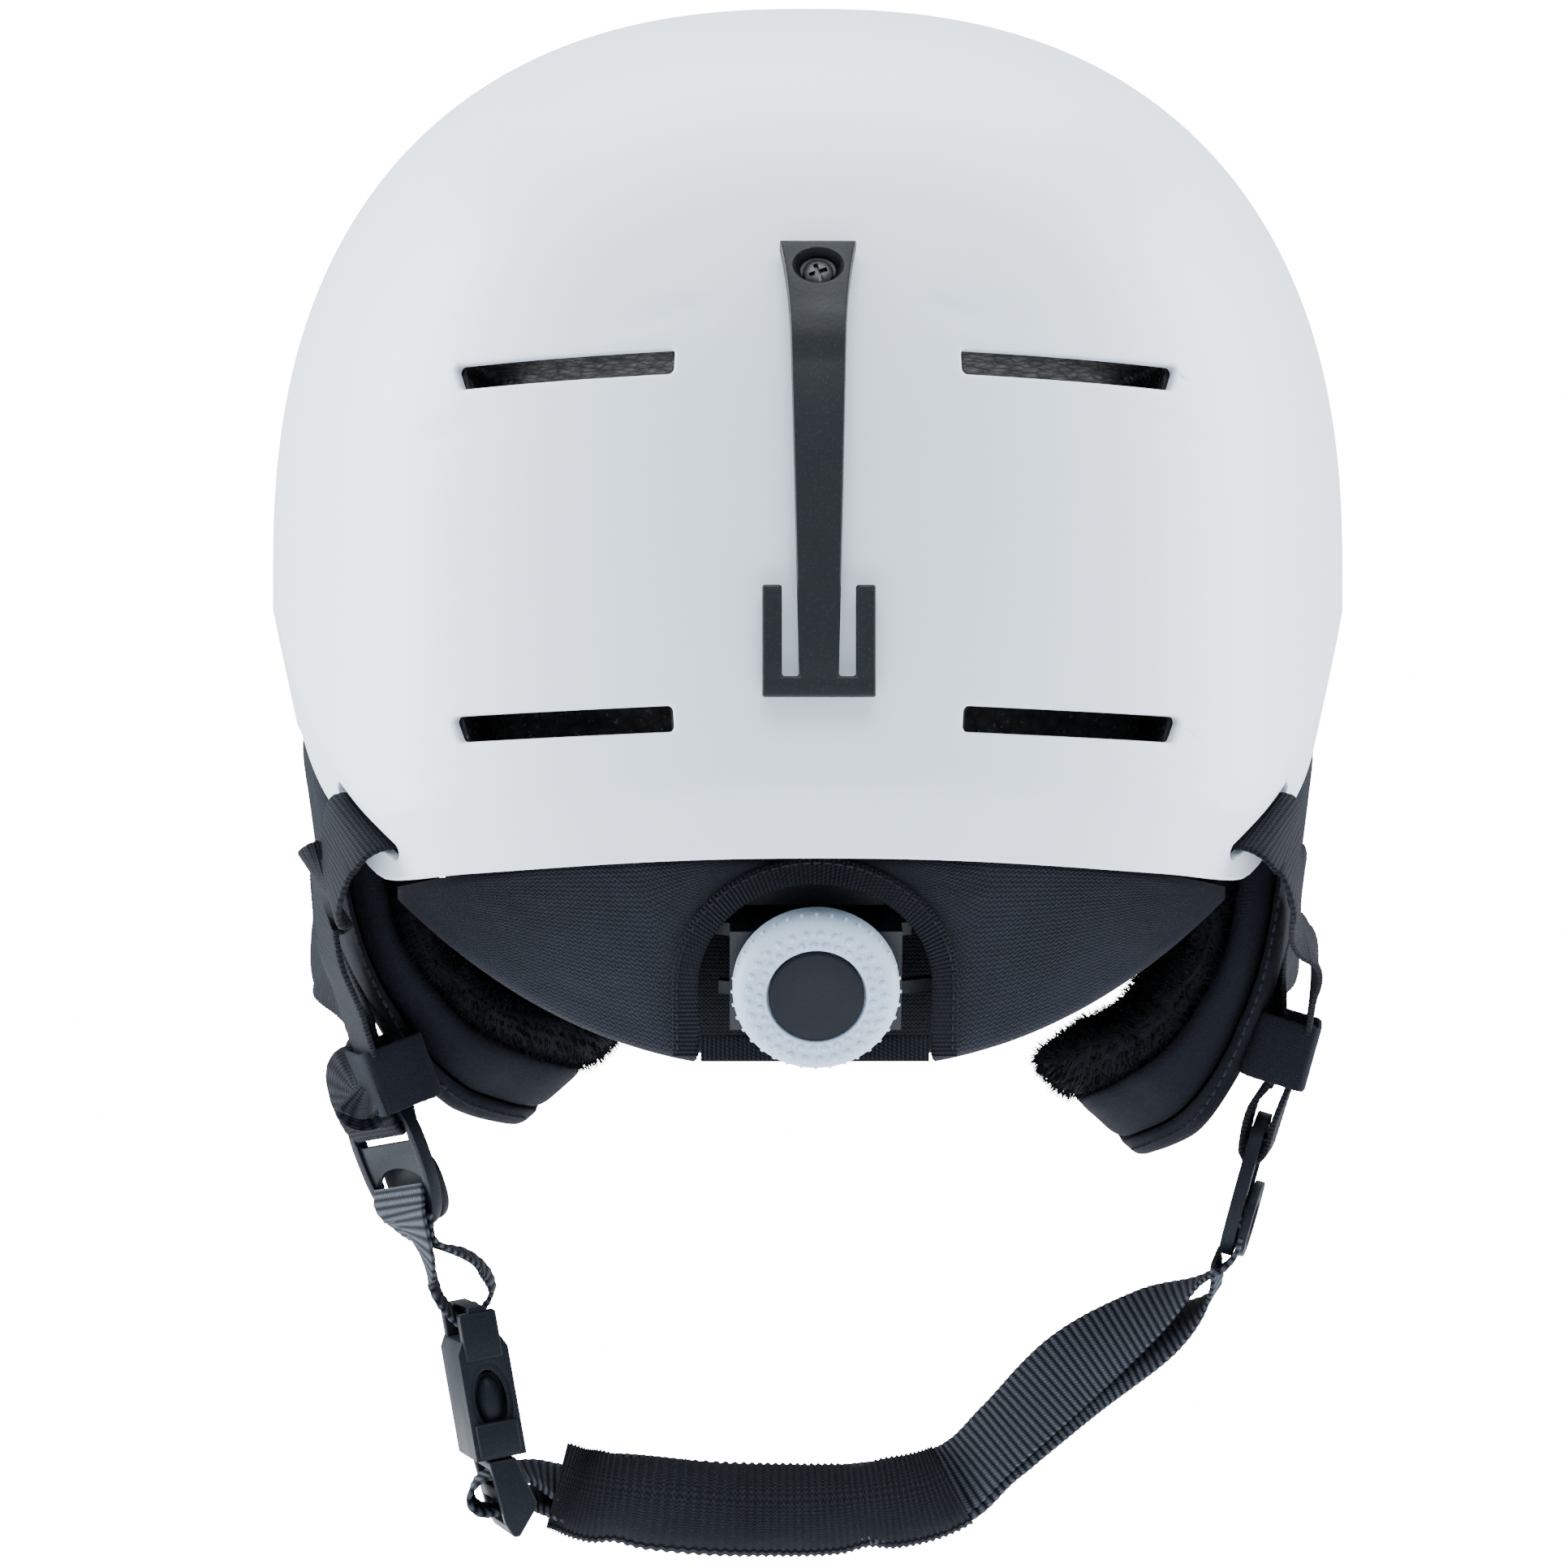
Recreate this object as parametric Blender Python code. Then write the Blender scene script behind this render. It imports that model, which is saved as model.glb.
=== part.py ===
"""Ski helmet: shell, foam liner, pads, fit dial, goggle retainer, ear pads, straps and buckle.

Frame: origin midway between the wearer's ear canals, +Y to the front, +X to the wearer's right,
+Z up.  Sizes are in millimetres and angles in degrees; new_mesh turns points into metres.
"""
import bisect
import math

import bmesh
import bpy
from mathutils import Matrix, Vector

MM = 0.001
GAP = 0.35                  # clearance between solids that touch on the real helmet

# ---- shell and liner ----
CROWN_Z = 156.0
WAIST_Z = 42.0              # height of the widest section
HALF_WIDTH = 108.0
REAR_DEPTH = 128.0
FRONT_DEPTH = 134.0
DOME_POWER = 2.4            # superellipse power of the dome's upright sections
PLAN_POWER = 2.4            # the same for its level sections
SHELL_WALL = 2.0
LINER_WALL = 20.0
LINER_LIFT = 1.5            # the liner's rim sits this much above the shell's
PANEL_SINK = 1.6            # how far the rear panel is flattened between its creases
SKIRT_TUCK = 0.20           # inward slope below the lower crease
# height against turn round the helmet, from the rear centre (0) to the front centre (180)
UPPER_CREASE = ((0, 104), (45, 94), (90, 88), (135, 98), (180, 108))
LOWER_CREASE = ((0, -0.5), (40, -4), (48, -3), (62, 14), (78, 34), (100, 37), (140, 47), (180, 62))
RIM_LINE = ((0, -14), (34, -17), (47, -18.5), (60, -4), (76, 10), (95, 13), (125, 20), (155, 40),
            (180, 48))
TURNS = 40                  # facets round the shell
BAND_ROWS = (7, 4, 2)       # rows above, between and below the creases

# ---- vents and slots in the shell ----
VENT_LENGTH = 46.0
VENT_HEIGHT = 4.8
VENT_X = 48.5
VENT_CUT = 12.0             # reach of a cut through the shell to each side of its surface
REAR_VENT_Z = (76.5, 10.8)
FRONT_VENT_Z = (112.0, 88.0)
LINER_VENT = (-3.0, 3.0)    # the liner's vents against the shell's: length and height
LINER_VENT_CUT = 45.0       # reach of a vent's cut through the liner
VENT_POCKET = 11.0          # depth of the liner's recess behind a lower rear vent
STRAP_SLOT = (23.0, 3.2)
STRAP_SLOT_TURN = 50.0
STRAP_SLOT_Z = -7.0
STRAP_SLOT_ALONG = (0.458, -0.677, -0.572)   # direction along the right slot, mirrored for the left
STRAP_POCKET = (26.0, 8.0, 17.0)    # the liner's pocket behind a slot: length, width, depth
ANCHOR_TURN = 126.0         # where a front strap leaves the liner's rim
ANCHOR_DEPTH = 10.0         # and how far inside the shell's wall
ANCHOR_POCKET = ((-12, -17, -3), (12, 9, 3))
REAR_ANCHOR = ((-12, -3, -15.5), (12, 3, -10))
FRONT_ANCHOR = ((-11, -14, -2), (11, -8, 2))

# ---- comfort pads ----
COMFORT_PAD = 6.0
COMFORT_GAP = 0.9

# ---- goggle retainer ----
CLIP_TOP_Z = 97.7
CLIP_BEND_Z = 86.0
CLIP_END_Z = 15.7
CLIP_BASE_WIDTH = 14.0
CLIP_ARM_WIDTH = 10.0
CLIP_ARM_TIP_WIDTH = 7.2
CLIP_BAR_WIDTH = 20.6
CLIP_BAR_HEIGHT = 3.8
CLIP_PRONG_WIDTH = 3.8
CLIP_PRONG_HEIGHT = 16.5
CLIP_THICKNESS = 3.0
CLIP_BASE_STAND = 0.7       # base above the shell
CLIP_ARM_STAND = 1.8        # arm above the shell
SCREW_Z = 92.3
SCREW_HEAD = 5.6
SCREW_SHANK = 3.0
SCREW_LENGTH = 11.0
SCREW_HEAD_HEIGHT = 2.0
SCREW_SINK = 1.9            # seat of the head below the base's face
INSERT_DIAMETER = 7.0
INSERT_LENGTH = 8.0
INSERT_SINK = 1.4           # insert's top below the shell's inner face

# ---- fit dial ----
DIAL_CENTRE = Vector((0, -99.4, -36))
DIAL_TILT = 22.0
KNOB_DIAMETER = 31.0
KNOB_THICKNESS = 7.0
KNOB_BACK = 2.2             # knob's back face above the dial's reference plane
CAP_DIAMETER = 17.8
CAP_THICKNESS = 1.2
SHAFT_DIAMETER = 6.0
HOUSING = (32.0, 20.0)
HOUSING_BACK = -12.8
HOUSING_FRONT = 1.8
RACK_PLANE = -7.5           # mid-thickness of the bands at the dial
PINION_TIP = 4.2
PINION_ROOT = 3.4
PINION_TEETH = 10
BAND_RADIUS = 74.0
BAND_THICKNESS = 1.6
RACK_INNER = 4.7            # rack edge nearest the pinion
RACK_OUTER = 7.3
RACK_OVERLAP = 14.0         # degrees that a rack runs past the pinion
BAND_WIDENS = 38.0
BAND_END = 74.0
CRADLE_HALF_WIDTH = 13.0
CRADLE_THICKNESS = 2.0
CRADLE_STAND = 1.7          # cradle in front of the nape pad

# ---- nape pad ----
NAPE_Y = -106.0
NAPE_SLOPE = 0.30
NAPE_ROUND = 150.0
NAPE_THICKNESS = 5.0
NAPE_HALF_WIDTH = 70.0
NAPE_TOP_Z = -13.4
NAPE_TOP_DROP = 6.5         # fall of the pad's top edge to its ends
NAPE_END_Z = -25.0          # lower corner of each end
NAPE_LOW_Z = -54.0          # lower edge at the middle
NAPE_POWER = 3.0            # fullness of the lower edge
ARCH_HALF_WIDTH = 22.0
ARCH_TOP_Z = -17.5
ARCH_RISE = 20.0            # height over which the arch closes
ARCH_POWER = 2.6
BINDING_WIDTH = 5.0
BINDING_THICKNESS = 1.6
BINDING_STAND = 2.1         # binding's inner face behind the pad's rear face
TAPE_HEIGHT = 5.0
TAPE_THICKNESS = 1.2
TAPE_STAND = 1.8            # tape's middle in front of the pad's rear face
LINING_WIDTH = 50.0
LINING_STAND = 17.0         # lining in front of the pad's rear face
LINING_THICKNESS = 3.0

# ---- ear pads ----
EAR_OUTER = ((102.5, 12), (98.5, -18), (94, -38), (86.5, -55), (76, -68), (64, -73))
EAR_INNER = ((85, 12), (82, -18), (77, -34), (68, -46), (56, -52), (46, -57))
EAR_TUCK = {"left": 6.5, "right": -3.0}     # how far each pad's lower edge hangs inwards
EAR_REAR_Y = -58.0
EAR_FRONT_Y = 40.0
EAR_REAR_TAPER = 28.0
EAR_FRONT_TAPER = 28.0
EAR_TAPER_POWER = 2.4
EAR_LAYERS = {"cover": (0.0, 0.20), "rim": (0.225, 0.70), "fleece": (0.725, 1.0)}
EAR_CLEAR = 1.6             # pad's top below the shell's rim

# ---- webbing, dividers ----
WEB_WIDTH = 18.0
WEB_THICKNESS = 1.3
HANG_POINT = {"left": Vector((-91.5, -42, -48)), "right": Vector((93.5, -42, -52))}
HANG_DIRECTION = {"left": Vector((0.34, 0.08, -0.93)), "right": Vector((-0.26, 0.08, -0.96))}
DIVIDER_TURN = {"left": 36.0, "right": 10.0}
KEEPER_TURN = {"left": 14.0, "right": 7.0}
DIVIDER_SIZE = (24.0, 29.0)
DIVIDER_THICKNESS = 2.6
DIVIDER_HOLE_HALF = 10.2    # half the width of its slot and window
DIVIDER_SLOT = (3.4, 8.6)   # lower and upper edge of the upper slot
DIVIDER_WINDOW = (-12.0, -1.6)
DIVIDER_DROP = 28.0         # divider centre below the hang point
LEVER_SIZE = (19.0, 15.0)
LEVER_THICKNESS = 1.8
LEVER_TOP = 1.0             # lever's hinged edge above the divider's middle
LEVER_FACE = {"left": -1, "right": 1}        # both dividers are the same part, not handed
KEEPER_HEIGHT = 8.0
KEEPER_WALL = 0.8
KEEPER_ROOM = (2.4, 2.1)    # keeper's opening beyond one webbing's width and thickness
REAR_LAY = 3.7              # rear strap's middle outside the run's centre plane
FRONT_LAY = -0.6            # and the front strap's
# the straps' free runs between their anchors and the keeper, for the right side
REAR_RUN = ((94.0, -65.5, -26.5), (98.0, -55, -35))
FRONT_RUN = ((97.5, 57, 1), (104.2, 38, -10), (103.0, 16, -23), (101.2, -6, -33),
             (97.5, -26, -39))

# ---- buckle and chin ----
BUCKLE_TOP = Vector((-68.0, -34.5, -103.0))
BUCKLE_LEAN = 10.0
BUCKLE_WIDTH = 25.0
BUCKLE_THICKNESS = 10.0
BUCKLE_LENGTH = 30.0
BUCKLE_WALL = 1.5
BUCKLE_CHEEK = 2.5
BUCKLE_TAB = 6.6            # webbing bar and slot above the socket
BUCKLE_BAR = 2.6
BUCKLE_TAB_THICKNESS = 3.2
BUCKLE_ROOF = 4.0           # solid between the webbing slot and the socket
BUCKLE_WINDOW = (2.6, -24.5, -13.5)     # half thickness, foot and head of a side window
PLUG_LENGTH = 15.6
PLUG_GAP = 0.4              # between the socket's mouth and the plug's shoulder
PLUG_HALF = (3.0, 5.2, 3.2)     # half thickness at its head, at its shoulder and at its tip
PLUG_SHOULDER = 3.5         # shoulder below the plug's head
PLUG_SLOT = 4.2
SPINE_HALF = 2.2
ARM_TOP = -13.0
ARM_THICKNESS = 3.6
ARM_GAP = 0.4               # between an arm and its cheek
ARM_HINGE_Y = 7.5
LOOP_WEB = (WEB_WIDTH - 0.6, 1.1)       # webbing where it is looped round the buckle's bars
CHIN_PATH = ((-50, -34, -138), (-40, -34, -140.5), (-12, -34, -143), (10, -34, -142.5),
             (27, -34, -139), (38, -34.5, -129.5), (52, -35, -116), (67, -36, -105),
             (77.5, -37, -98.5))
PAD_SPAN = (0.03, 0.46)    # the sleeve's stretch of the chin strap
PAD_SECTION = (23.0, 10.0)
PAD_BORE = (20.6, 3.2)


# ---------------------------------------------------------------- helpers

def material(name, colour, roughness, metallic=0.0):
    found = bpy.data.materials.get(name)
    if found:
        return found
    made = bpy.data.materials.new(name)
    made.use_nodes = True
    shader = made.node_tree.nodes["Principled BSDF"]
    shader.inputs["Base Color"].default_value = (*colour, 1)
    shader.inputs["Roughness"].default_value = roughness
    shader.inputs["Metallic"].default_value = metallic
    return made


def shell_white():
    return material("shell_white", (0.68, 0.73, 0.78), 0.45)


def liner_foam():
    return material("liner_foam", (0.02, 0.02, 0.022), 0.85)


def pad_fabric():
    return material("pad_fabric", (0.036, 0.042, 0.065), 0.9)


def fleece():
    return material("fleece", (0.010, 0.011, 0.018), 1.0)


def webbing():
    return material("webbing", (0.05, 0.06, 0.08), 0.8)


def moulded_black():
    return material("moulded_black", (0.035, 0.043, 0.056), 0.45)


def dial_rubber():
    return material("dial_rubber", (0.62, 0.70, 0.78), 0.5)


def screw_steel():
    return material("screw_steel", (0.03, 0.03, 0.035), 0.35, 1.0)


def new_mesh(name, points, faces, finish, origin=(0, 0, 0)):
    """One closed mesh from points in millimetres, with the object's origin at the given place."""
    origin = Vector(origin)
    mesh = bpy.data.meshes.new(name)
    mesh.from_pydata([(Vector(p) - origin) * MM for p in points], [], faces)
    work = bmesh.new()
    work.from_mesh(mesh)
    bmesh.ops.recalc_face_normals(work, faces=work.faces)
    work.to_mesh(mesh)
    work.free()
    made = bpy.data.objects.new(name, mesh)
    made.location = origin * MM
    made.data.materials.append(finish)
    bpy.context.scene.collection.objects.link(made)
    return made


def smooth(made, angle=35):
    made.data.shade_smooth()
    made.data.set_sharp_from_angle(angle=math.radians(angle))
    return made


def cut(made, *cutters, operation="DIFFERENCE"):
    """Take each cutter out of an object, or join it on."""
    for cutter in cutters:
        cutter.hide_render = True
        cutter.display_type = "WIRE"
        step = made.modifiers.new(cutter.name, "BOOLEAN")
        step.operation = operation
        step.solver = "EXACT"
        step.object = cutter
    return made


def block_points(frame, low, high):
    corners = [(x, y, z) for x in (low[0], high[0]) for y in (low[1], high[1])
               for z in (low[2], high[2])]
    return [frame @ Vector(c) for c in corners]


BLOCK_FACES = ((0, 1, 3, 2), (4, 6, 7, 5), (0, 4, 5, 1), (2, 3, 7, 6), (0, 2, 6, 4), (1, 5, 7, 3))


def block(name, frame, low, high, finish, origin=(0, 0, 0)):
    return new_mesh(name, block_points(frame, low, high), BLOCK_FACES, finish, origin)


def frame_at(point, x_axis, z_axis):
    """A local frame with its z along z_axis and its x as near x_axis as it can be."""
    z = Vector(z_axis).normalized()
    y = z.cross(Vector(x_axis)).normalized()
    x = y.cross(z)
    made = Matrix((x, y, z)).transposed().to_4x4()
    made.translation = Vector(point)
    return made


def turned(name, profile, frame, finish, steps=24, origin=(0, 0, 0), radius_at=None):
    """A solid of revolution about the frame's z from (radius, height) points, radius 0 at both
    ends or a closed outline clear of the axis."""
    points, rings = [], []
    for radius, height in profile:
        if radius == 0:
            rings.append([len(points)])
            points.append(frame @ Vector((0, 0, height)))
            continue
        ring = []
        for i in range(steps):
            angle = 2 * math.pi * i / steps
            r = radius_at(radius, i) if radius_at else radius
            ring.append(len(points))
            points.append(frame @ Vector((r * math.cos(angle), r * math.sin(angle), height)))
        rings.append(ring)
    closed = len(rings[0]) > 1
    pairs = list(zip(rings, rings[1:] + rings[:1])) if closed else list(zip(rings, rings[1:]))
    faces = []
    for a, b in pairs:
        for i in range(steps):
            j = (i + 1) % steps
            face = [a[i % len(a)], a[j % len(a)], b[j % len(b)], b[i % len(b)]]
            faces.append(list(dict.fromkeys(face)))
    return smooth(new_mesh(name, points, faces, finish, origin))


def spline(points, count):
    """Evenly stepped points on a smooth curve through the given ones."""
    points = [Vector(p) for p in points]
    ends = [2 * points[0] - points[1]] + points + [2 * points[-1] - points[-2]]
    made = []
    for k in range(count):
        t = k / (count - 1) * (len(points) - 1)
        i = min(int(t), len(points) - 2)
        t -= i
        a, b, c, d = ends[i:i + 4]
        made.append(0.5 * (2 * b + (c - a) * t + (2 * a - 5 * b + 4 * c - d) * t * t
                           + (3 * b - a - 3 * c + d) * t ** 3))
    return made


def value_on(line, at):
    """Smooth value at a place on a line of (place, value) points."""
    places = [p for p, _ in line]
    i = min(max(bisect.bisect_right(places, at) - 1, 0), len(line) - 2)
    (p0, v0), (p1, v1) = line[i], line[i + 1]
    slope = [0.0, 0.0]
    for side, k in enumerate((i, i + 1)):
        if 0 < k < len(line) - 1:
            left = (line[k][1] - line[k - 1][1]) / (line[k][0] - line[k - 1][0])
            right = (line[k + 1][1] - line[k][1]) / (line[k + 1][0] - line[k][0])
            slope[side] = 2 * left * right / (left + right) if left * right > 0 else 0.0
    span = p1 - p0
    t = min(max((at - p0) / span, 0), 1)
    return ((2 * t ** 3 - 3 * t ** 2 + 1) * v0 + (t ** 3 - 2 * t ** 2 + t) * span * slope[0]
            + (3 * t ** 2 - 2 * t ** 3) * v1 + (t ** 3 - t ** 2) * span * slope[1])


def ribbon(name, path, across, finish, width=WEB_WIDTH, thickness=WEB_THICKNESS, count=16,
           origin=(0, 0, 0), bore=None):
    """A flat strap along a smooth path; across is the width direction at the path's points.
    With a bore it is a sleeve, open at both ends."""
    points = spline(path, count)
    sides = spline(across, count)
    verts, faces = [], []
    sections = [(width, thickness)] + ([bore] if bore else [])
    for k, point in enumerate(points):
        along = (points[min(k + 1, count - 1)] - points[max(k - 1, 0)]).normalized()
        side = (sides[k] - along * sides[k].dot(along)).normalized()
        normal = along.cross(side)
        for w, t in sections:
            for a, b in ((-1, -1), (1, -1), (1, 1), (-1, 1)):
                verts.append(point + side * (a * w / 2) + normal * (b * t / 2))
    size = 4 * len(sections)
    for k in range(count - 1):
        here, there = k * size, (k + 1) * size
        for s in range(len(sections)):
            for i in range(4):
                j = (i + 1) % 4
                faces.append((here + 4 * s + i, here + 4 * s + j, there + 4 * s + j,
                              there + 4 * s + i))
    for end in (0, (count - 1) * size):
        if bore:
            for i in range(4):
                j = (i + 1) % 4
                faces.append((end + i, end + j, end + 4 + j, end + 4 + i))
        else:
            faces.append((end, end + 1, end + 2, end + 3))
    return new_mesh(name, verts, faces, finish, origin)


def plate(name, us, vs, filled, place, finish, origin=(0, 0, 0)):
    """A plate of cells; place(u, v, side) gives a corner on its back (0) or its front (1)."""
    verts, index, faces = [], {}, []

    def corner(i, j, side):
        if (i, j, side) not in index:
            index[i, j, side] = len(verts)
            verts.append(place(us[i], vs[j], side))
        return index[i, j, side]

    def solid(i, j):
        inside = 0 <= i < len(us) - 1 and 0 <= j < len(vs) - 1
        return inside and filled((us[i] + us[i + 1]) / 2, (vs[j] + vs[j + 1]) / 2)

    for i in range(len(us) - 1):
        for j in range(len(vs) - 1):
            if not solid(i, j):
                continue
            loop = ((i, j), (i + 1, j), (i + 1, j + 1), (i, j + 1))
            for side in (0, 1):
                faces.append([corner(*c, side) for c in loop])
            beyond = ((i, j - 1), (i + 1, j), (i, j + 1), (i - 1, j))
            for k in range(4):
                if not solid(*beyond[k]):
                    a, b = loop[k], loop[(k + 1) % 4]
                    faces.append([corner(*a, 0), corner(*b, 0), corner(*b, 1), corner(*a, 1)])
    return new_mesh(name, verts, faces, finish, origin)


def steps(low, high, count):
    return [low + (high - low) * k / count for k in range(count + 1)]


# ---------------------------------------------------------------- the shell's surface

def bow(share, power=DOME_POWER):
    return max(0.0, 1 - share ** power) ** (1 / power)


def half_width(z):
    if z >= WAIST_Z:
        return HALF_WIDTH * bow((z - WAIST_Z) / (CROWN_Z - WAIST_Z))
    return HALF_WIDTH - 1.0 * ((WAIST_Z - z) / 60) ** 2


def depth(z, full):
    if z >= WAIST_Z:
        return full * bow((z - WAIST_Z) / (CROWN_Z - WAIST_Z))
    return full - 4.0 * ((WAIST_Z - z) / 60) ** 2


def plain_point(turn, z):
    """Point of the plain dome; turn 0 is the rear centre and 90 the wearer's right."""
    angle = math.radians(turn)
    s, c = math.sin(angle), math.cos(angle)
    power = 2 / PLAN_POWER
    across = math.copysign(abs(s) ** power, s) * half_width(z)
    along = -math.copysign(abs(c) ** power, c) * depth(z, REAR_DEPTH if c > 0 else FRONT_DEPTH)
    return Vector((across, along, z))


def outward(turn, z):
    if z > CROWN_Z - 0.6:
        return Vector((0, 0, 1))
    step = 0.4
    low, high = max(z - step, -60), min(z + step, CROWN_Z - 0.05)
    up = plain_point(turn, high) - plain_point(turn, low)
    round_ = plain_point(turn + 0.8, z) - plain_point(turn - 0.8, z)
    return round_.cross(up).normalized()


def folded(turn):
    """A turn's distance from the rear centre, on either side."""
    return abs((turn + 180) % 360 - 180)


def rim_height(turn):
    return value_on(RIM_LINE, folded(turn))


def crease_offset(turn, z):
    """How far the styled surface stands off the plain dome."""
    t = folded(turn)
    upper, lower = value_on(UPPER_CREASE, t), value_on(LOWER_CREASE, t)
    if lower < z < upper:
        share = (z - lower) / (upper - lower)
        return -PANEL_SINK * 4 * share * (1 - share) * max(0.0, 1 - (t / 75) ** 2)
    if z <= lower:
        fade = 1.0 if t < 95 else max(0.3, 1 - (t - 95) / 60)
        return -SKIRT_TUCK * fade * (lower - z)
    return 0.0


def shell_point(turn, z, inset=0.0):
    return plain_point(turn, z) + outward(turn, z) * (crease_offset(turn, z) - inset)


def row_heights(turn, lift=0.0):
    """Heights of the mesh rows at a turn, from just under the crown to the rim."""
    t = folded(turn)
    marks = (CROWN_Z, value_on(UPPER_CREASE, t), value_on(LOWER_CREASE, t), rim_height(t) + lift)
    rows = []
    for band, count in enumerate(BAND_ROWS):
        for k in range(1, count + 1):
            share = (k / count) ** (2.2 if band == 0 else 1.0)
            rows.append(marks[band] + (marks[band + 1] - marks[band]) * share)
    return rows


def turn_at(x, z, front=False):
    """Turn of the surface point at a given x and height."""
    share = min(abs(x) / half_width(z), 1) ** (PLAN_POWER / 2)
    turn = math.degrees(math.asin(share))
    turn = 180 - turn if front else turn
    return math.copysign(turn, x)


def dome(name, outer, inner, lift, finish):
    """The dome between two insets of the styled surface, open at the rim."""
    verts, faces = [], []
    for inset in (outer, inner):
        start = len(verts)
        verts.append(Vector((0, 0, CROWN_Z - inset)))
        for i in range(TURNS):
            turn = 360 * i / TURNS
            verts += [shell_point(turn, z, inset) for z in row_heights(turn, lift)]
        rows = sum(BAND_ROWS)
        for i in range(TURNS):
            a, b = start + 1 + i * rows, start + 1 + (i + 1) % TURNS * rows
            faces.append((start, a, b))
            for k in range(rows - 1):
                faces.append((a + k, a + k + 1, b + k + 1))
                faces.append((a + k, b + k + 1, b + k))
    size = 1 + TURNS * rows
    for i in range(TURNS):
        a, b = (i + 1) * rows, ((i + 1) % TURNS + 1) * rows
        faces.append((a, b, size + b, size + a))
    return smooth(new_mesh(name, verts, faces, finish))


def surface_frame(turn, z):
    """Frame on the shell with z outwards and x level round the helmet."""
    out = outward(turn, z)
    return frame_at(shell_point(turn, z), Vector((0, 0, 1)).cross(out), out)


def vent_cutters(length, height, low, low_rear, high, tag):
    """Cutters for the eight vents; the lower rear pair reaches in to its own depth."""
    made = []
    for where, levels, front in (("rear", REAR_VENT_Z, False), ("front", FRONT_VENT_Z, True)):
        for row, z in enumerate(levels):
            reach = low_rear if where == "rear" and row == 1 else low
            for side, x in (("left", -VENT_X), ("right", VENT_X)):
                frame = surface_frame(turn_at(x, z, front), z)
                name = f"cutter_{tag}_{where}_{row}_{side}"
                made.append(block(name, frame, (-length / 2, -height / 2, reach),
                                  (length / 2, height / 2, high), liner_foam()))
    return made


def slot_frame(side):
    """Frame in a strap slot: x along the slot, y down the shell, z outwards."""
    sign = {"left": -1, "right": 1}[side]
    turn = sign * STRAP_SLOT_TURN
    out = outward(turn, STRAP_SLOT_Z)
    x, y, z = STRAP_SLOT_ALONG
    return frame_at(shell_point(turn, STRAP_SLOT_Z), Vector((-sign * x, y, z)), out)


def slot_cutter(name, side, width, height, low, high):
    return block(name, slot_frame(side), (-width / 2, -height / 2, low),
                 (width / 2, height / 2, high), liner_foam())


def front_anchor_place(side):
    """Where a front strap leaves the liner's rim."""
    sign = {"left": -1, "right": 1}[side]
    turn = sign * ANCHOR_TURN
    z = rim_height(turn) + LINER_LIFT
    out = outward(turn, z)
    out = Vector((out.x, out.y, 0)).normalized()
    point = shell_point(turn, z, SHELL_WALL + ANCHOR_DEPTH)
    return frame_at(point, out.cross(Vector((0, 0, 1))), out)


# ---------------------------------------------------------------- the pieces

def build_shell():
    made = dome("outer_shell", 0.0, SHELL_WALL, 0.0, shell_white())
    cutters = vent_cutters(VENT_LENGTH, VENT_HEIGHT, -VENT_CUT, -VENT_CUT, VENT_CUT,
                           "shell_vent")
    cutters += [slot_cutter(f"cutter_shell_slot_{s}", s, *STRAP_SLOT, -8, 8)
                for s in ("left", "right")]
    cutters.append(screw_bore("cutter_shell_screw", SCREW_SHANK + 1.0, -30, 20))
    return cut(made, *cutters)


def build_liner():
    top = SHELL_WALL + GAP
    made = dome("eps_liner", top, top + LINER_WALL, LINER_LIFT, liner_foam())
    longer, higher = LINER_VENT
    cutters = vent_cutters(VENT_LENGTH + longer, VENT_HEIGHT + higher, -LINER_VENT_CUT,
                           -VENT_POCKET, VENT_CUT, "liner_vent")
    width, height, pocket = STRAP_POCKET
    for side in ("left", "right"):
        cutters.append(slot_cutter(f"cutter_liner_slot_{side}", side, width, height, -pocket, 8))
        cutters.append(block(f"cutter_front_anchor_{side}", front_anchor_place(side),
                             *ANCHOR_POCKET, liner_foam()))
    back = -SHELL_WALL - INSERT_SINK - INSERT_LENGTH - 0.8
    cutters.append(screw_bore("cutter_liner_screw", INSERT_DIAMETER + 2 * GAP, back, 20))
    return cut(made, *cutters)


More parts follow.
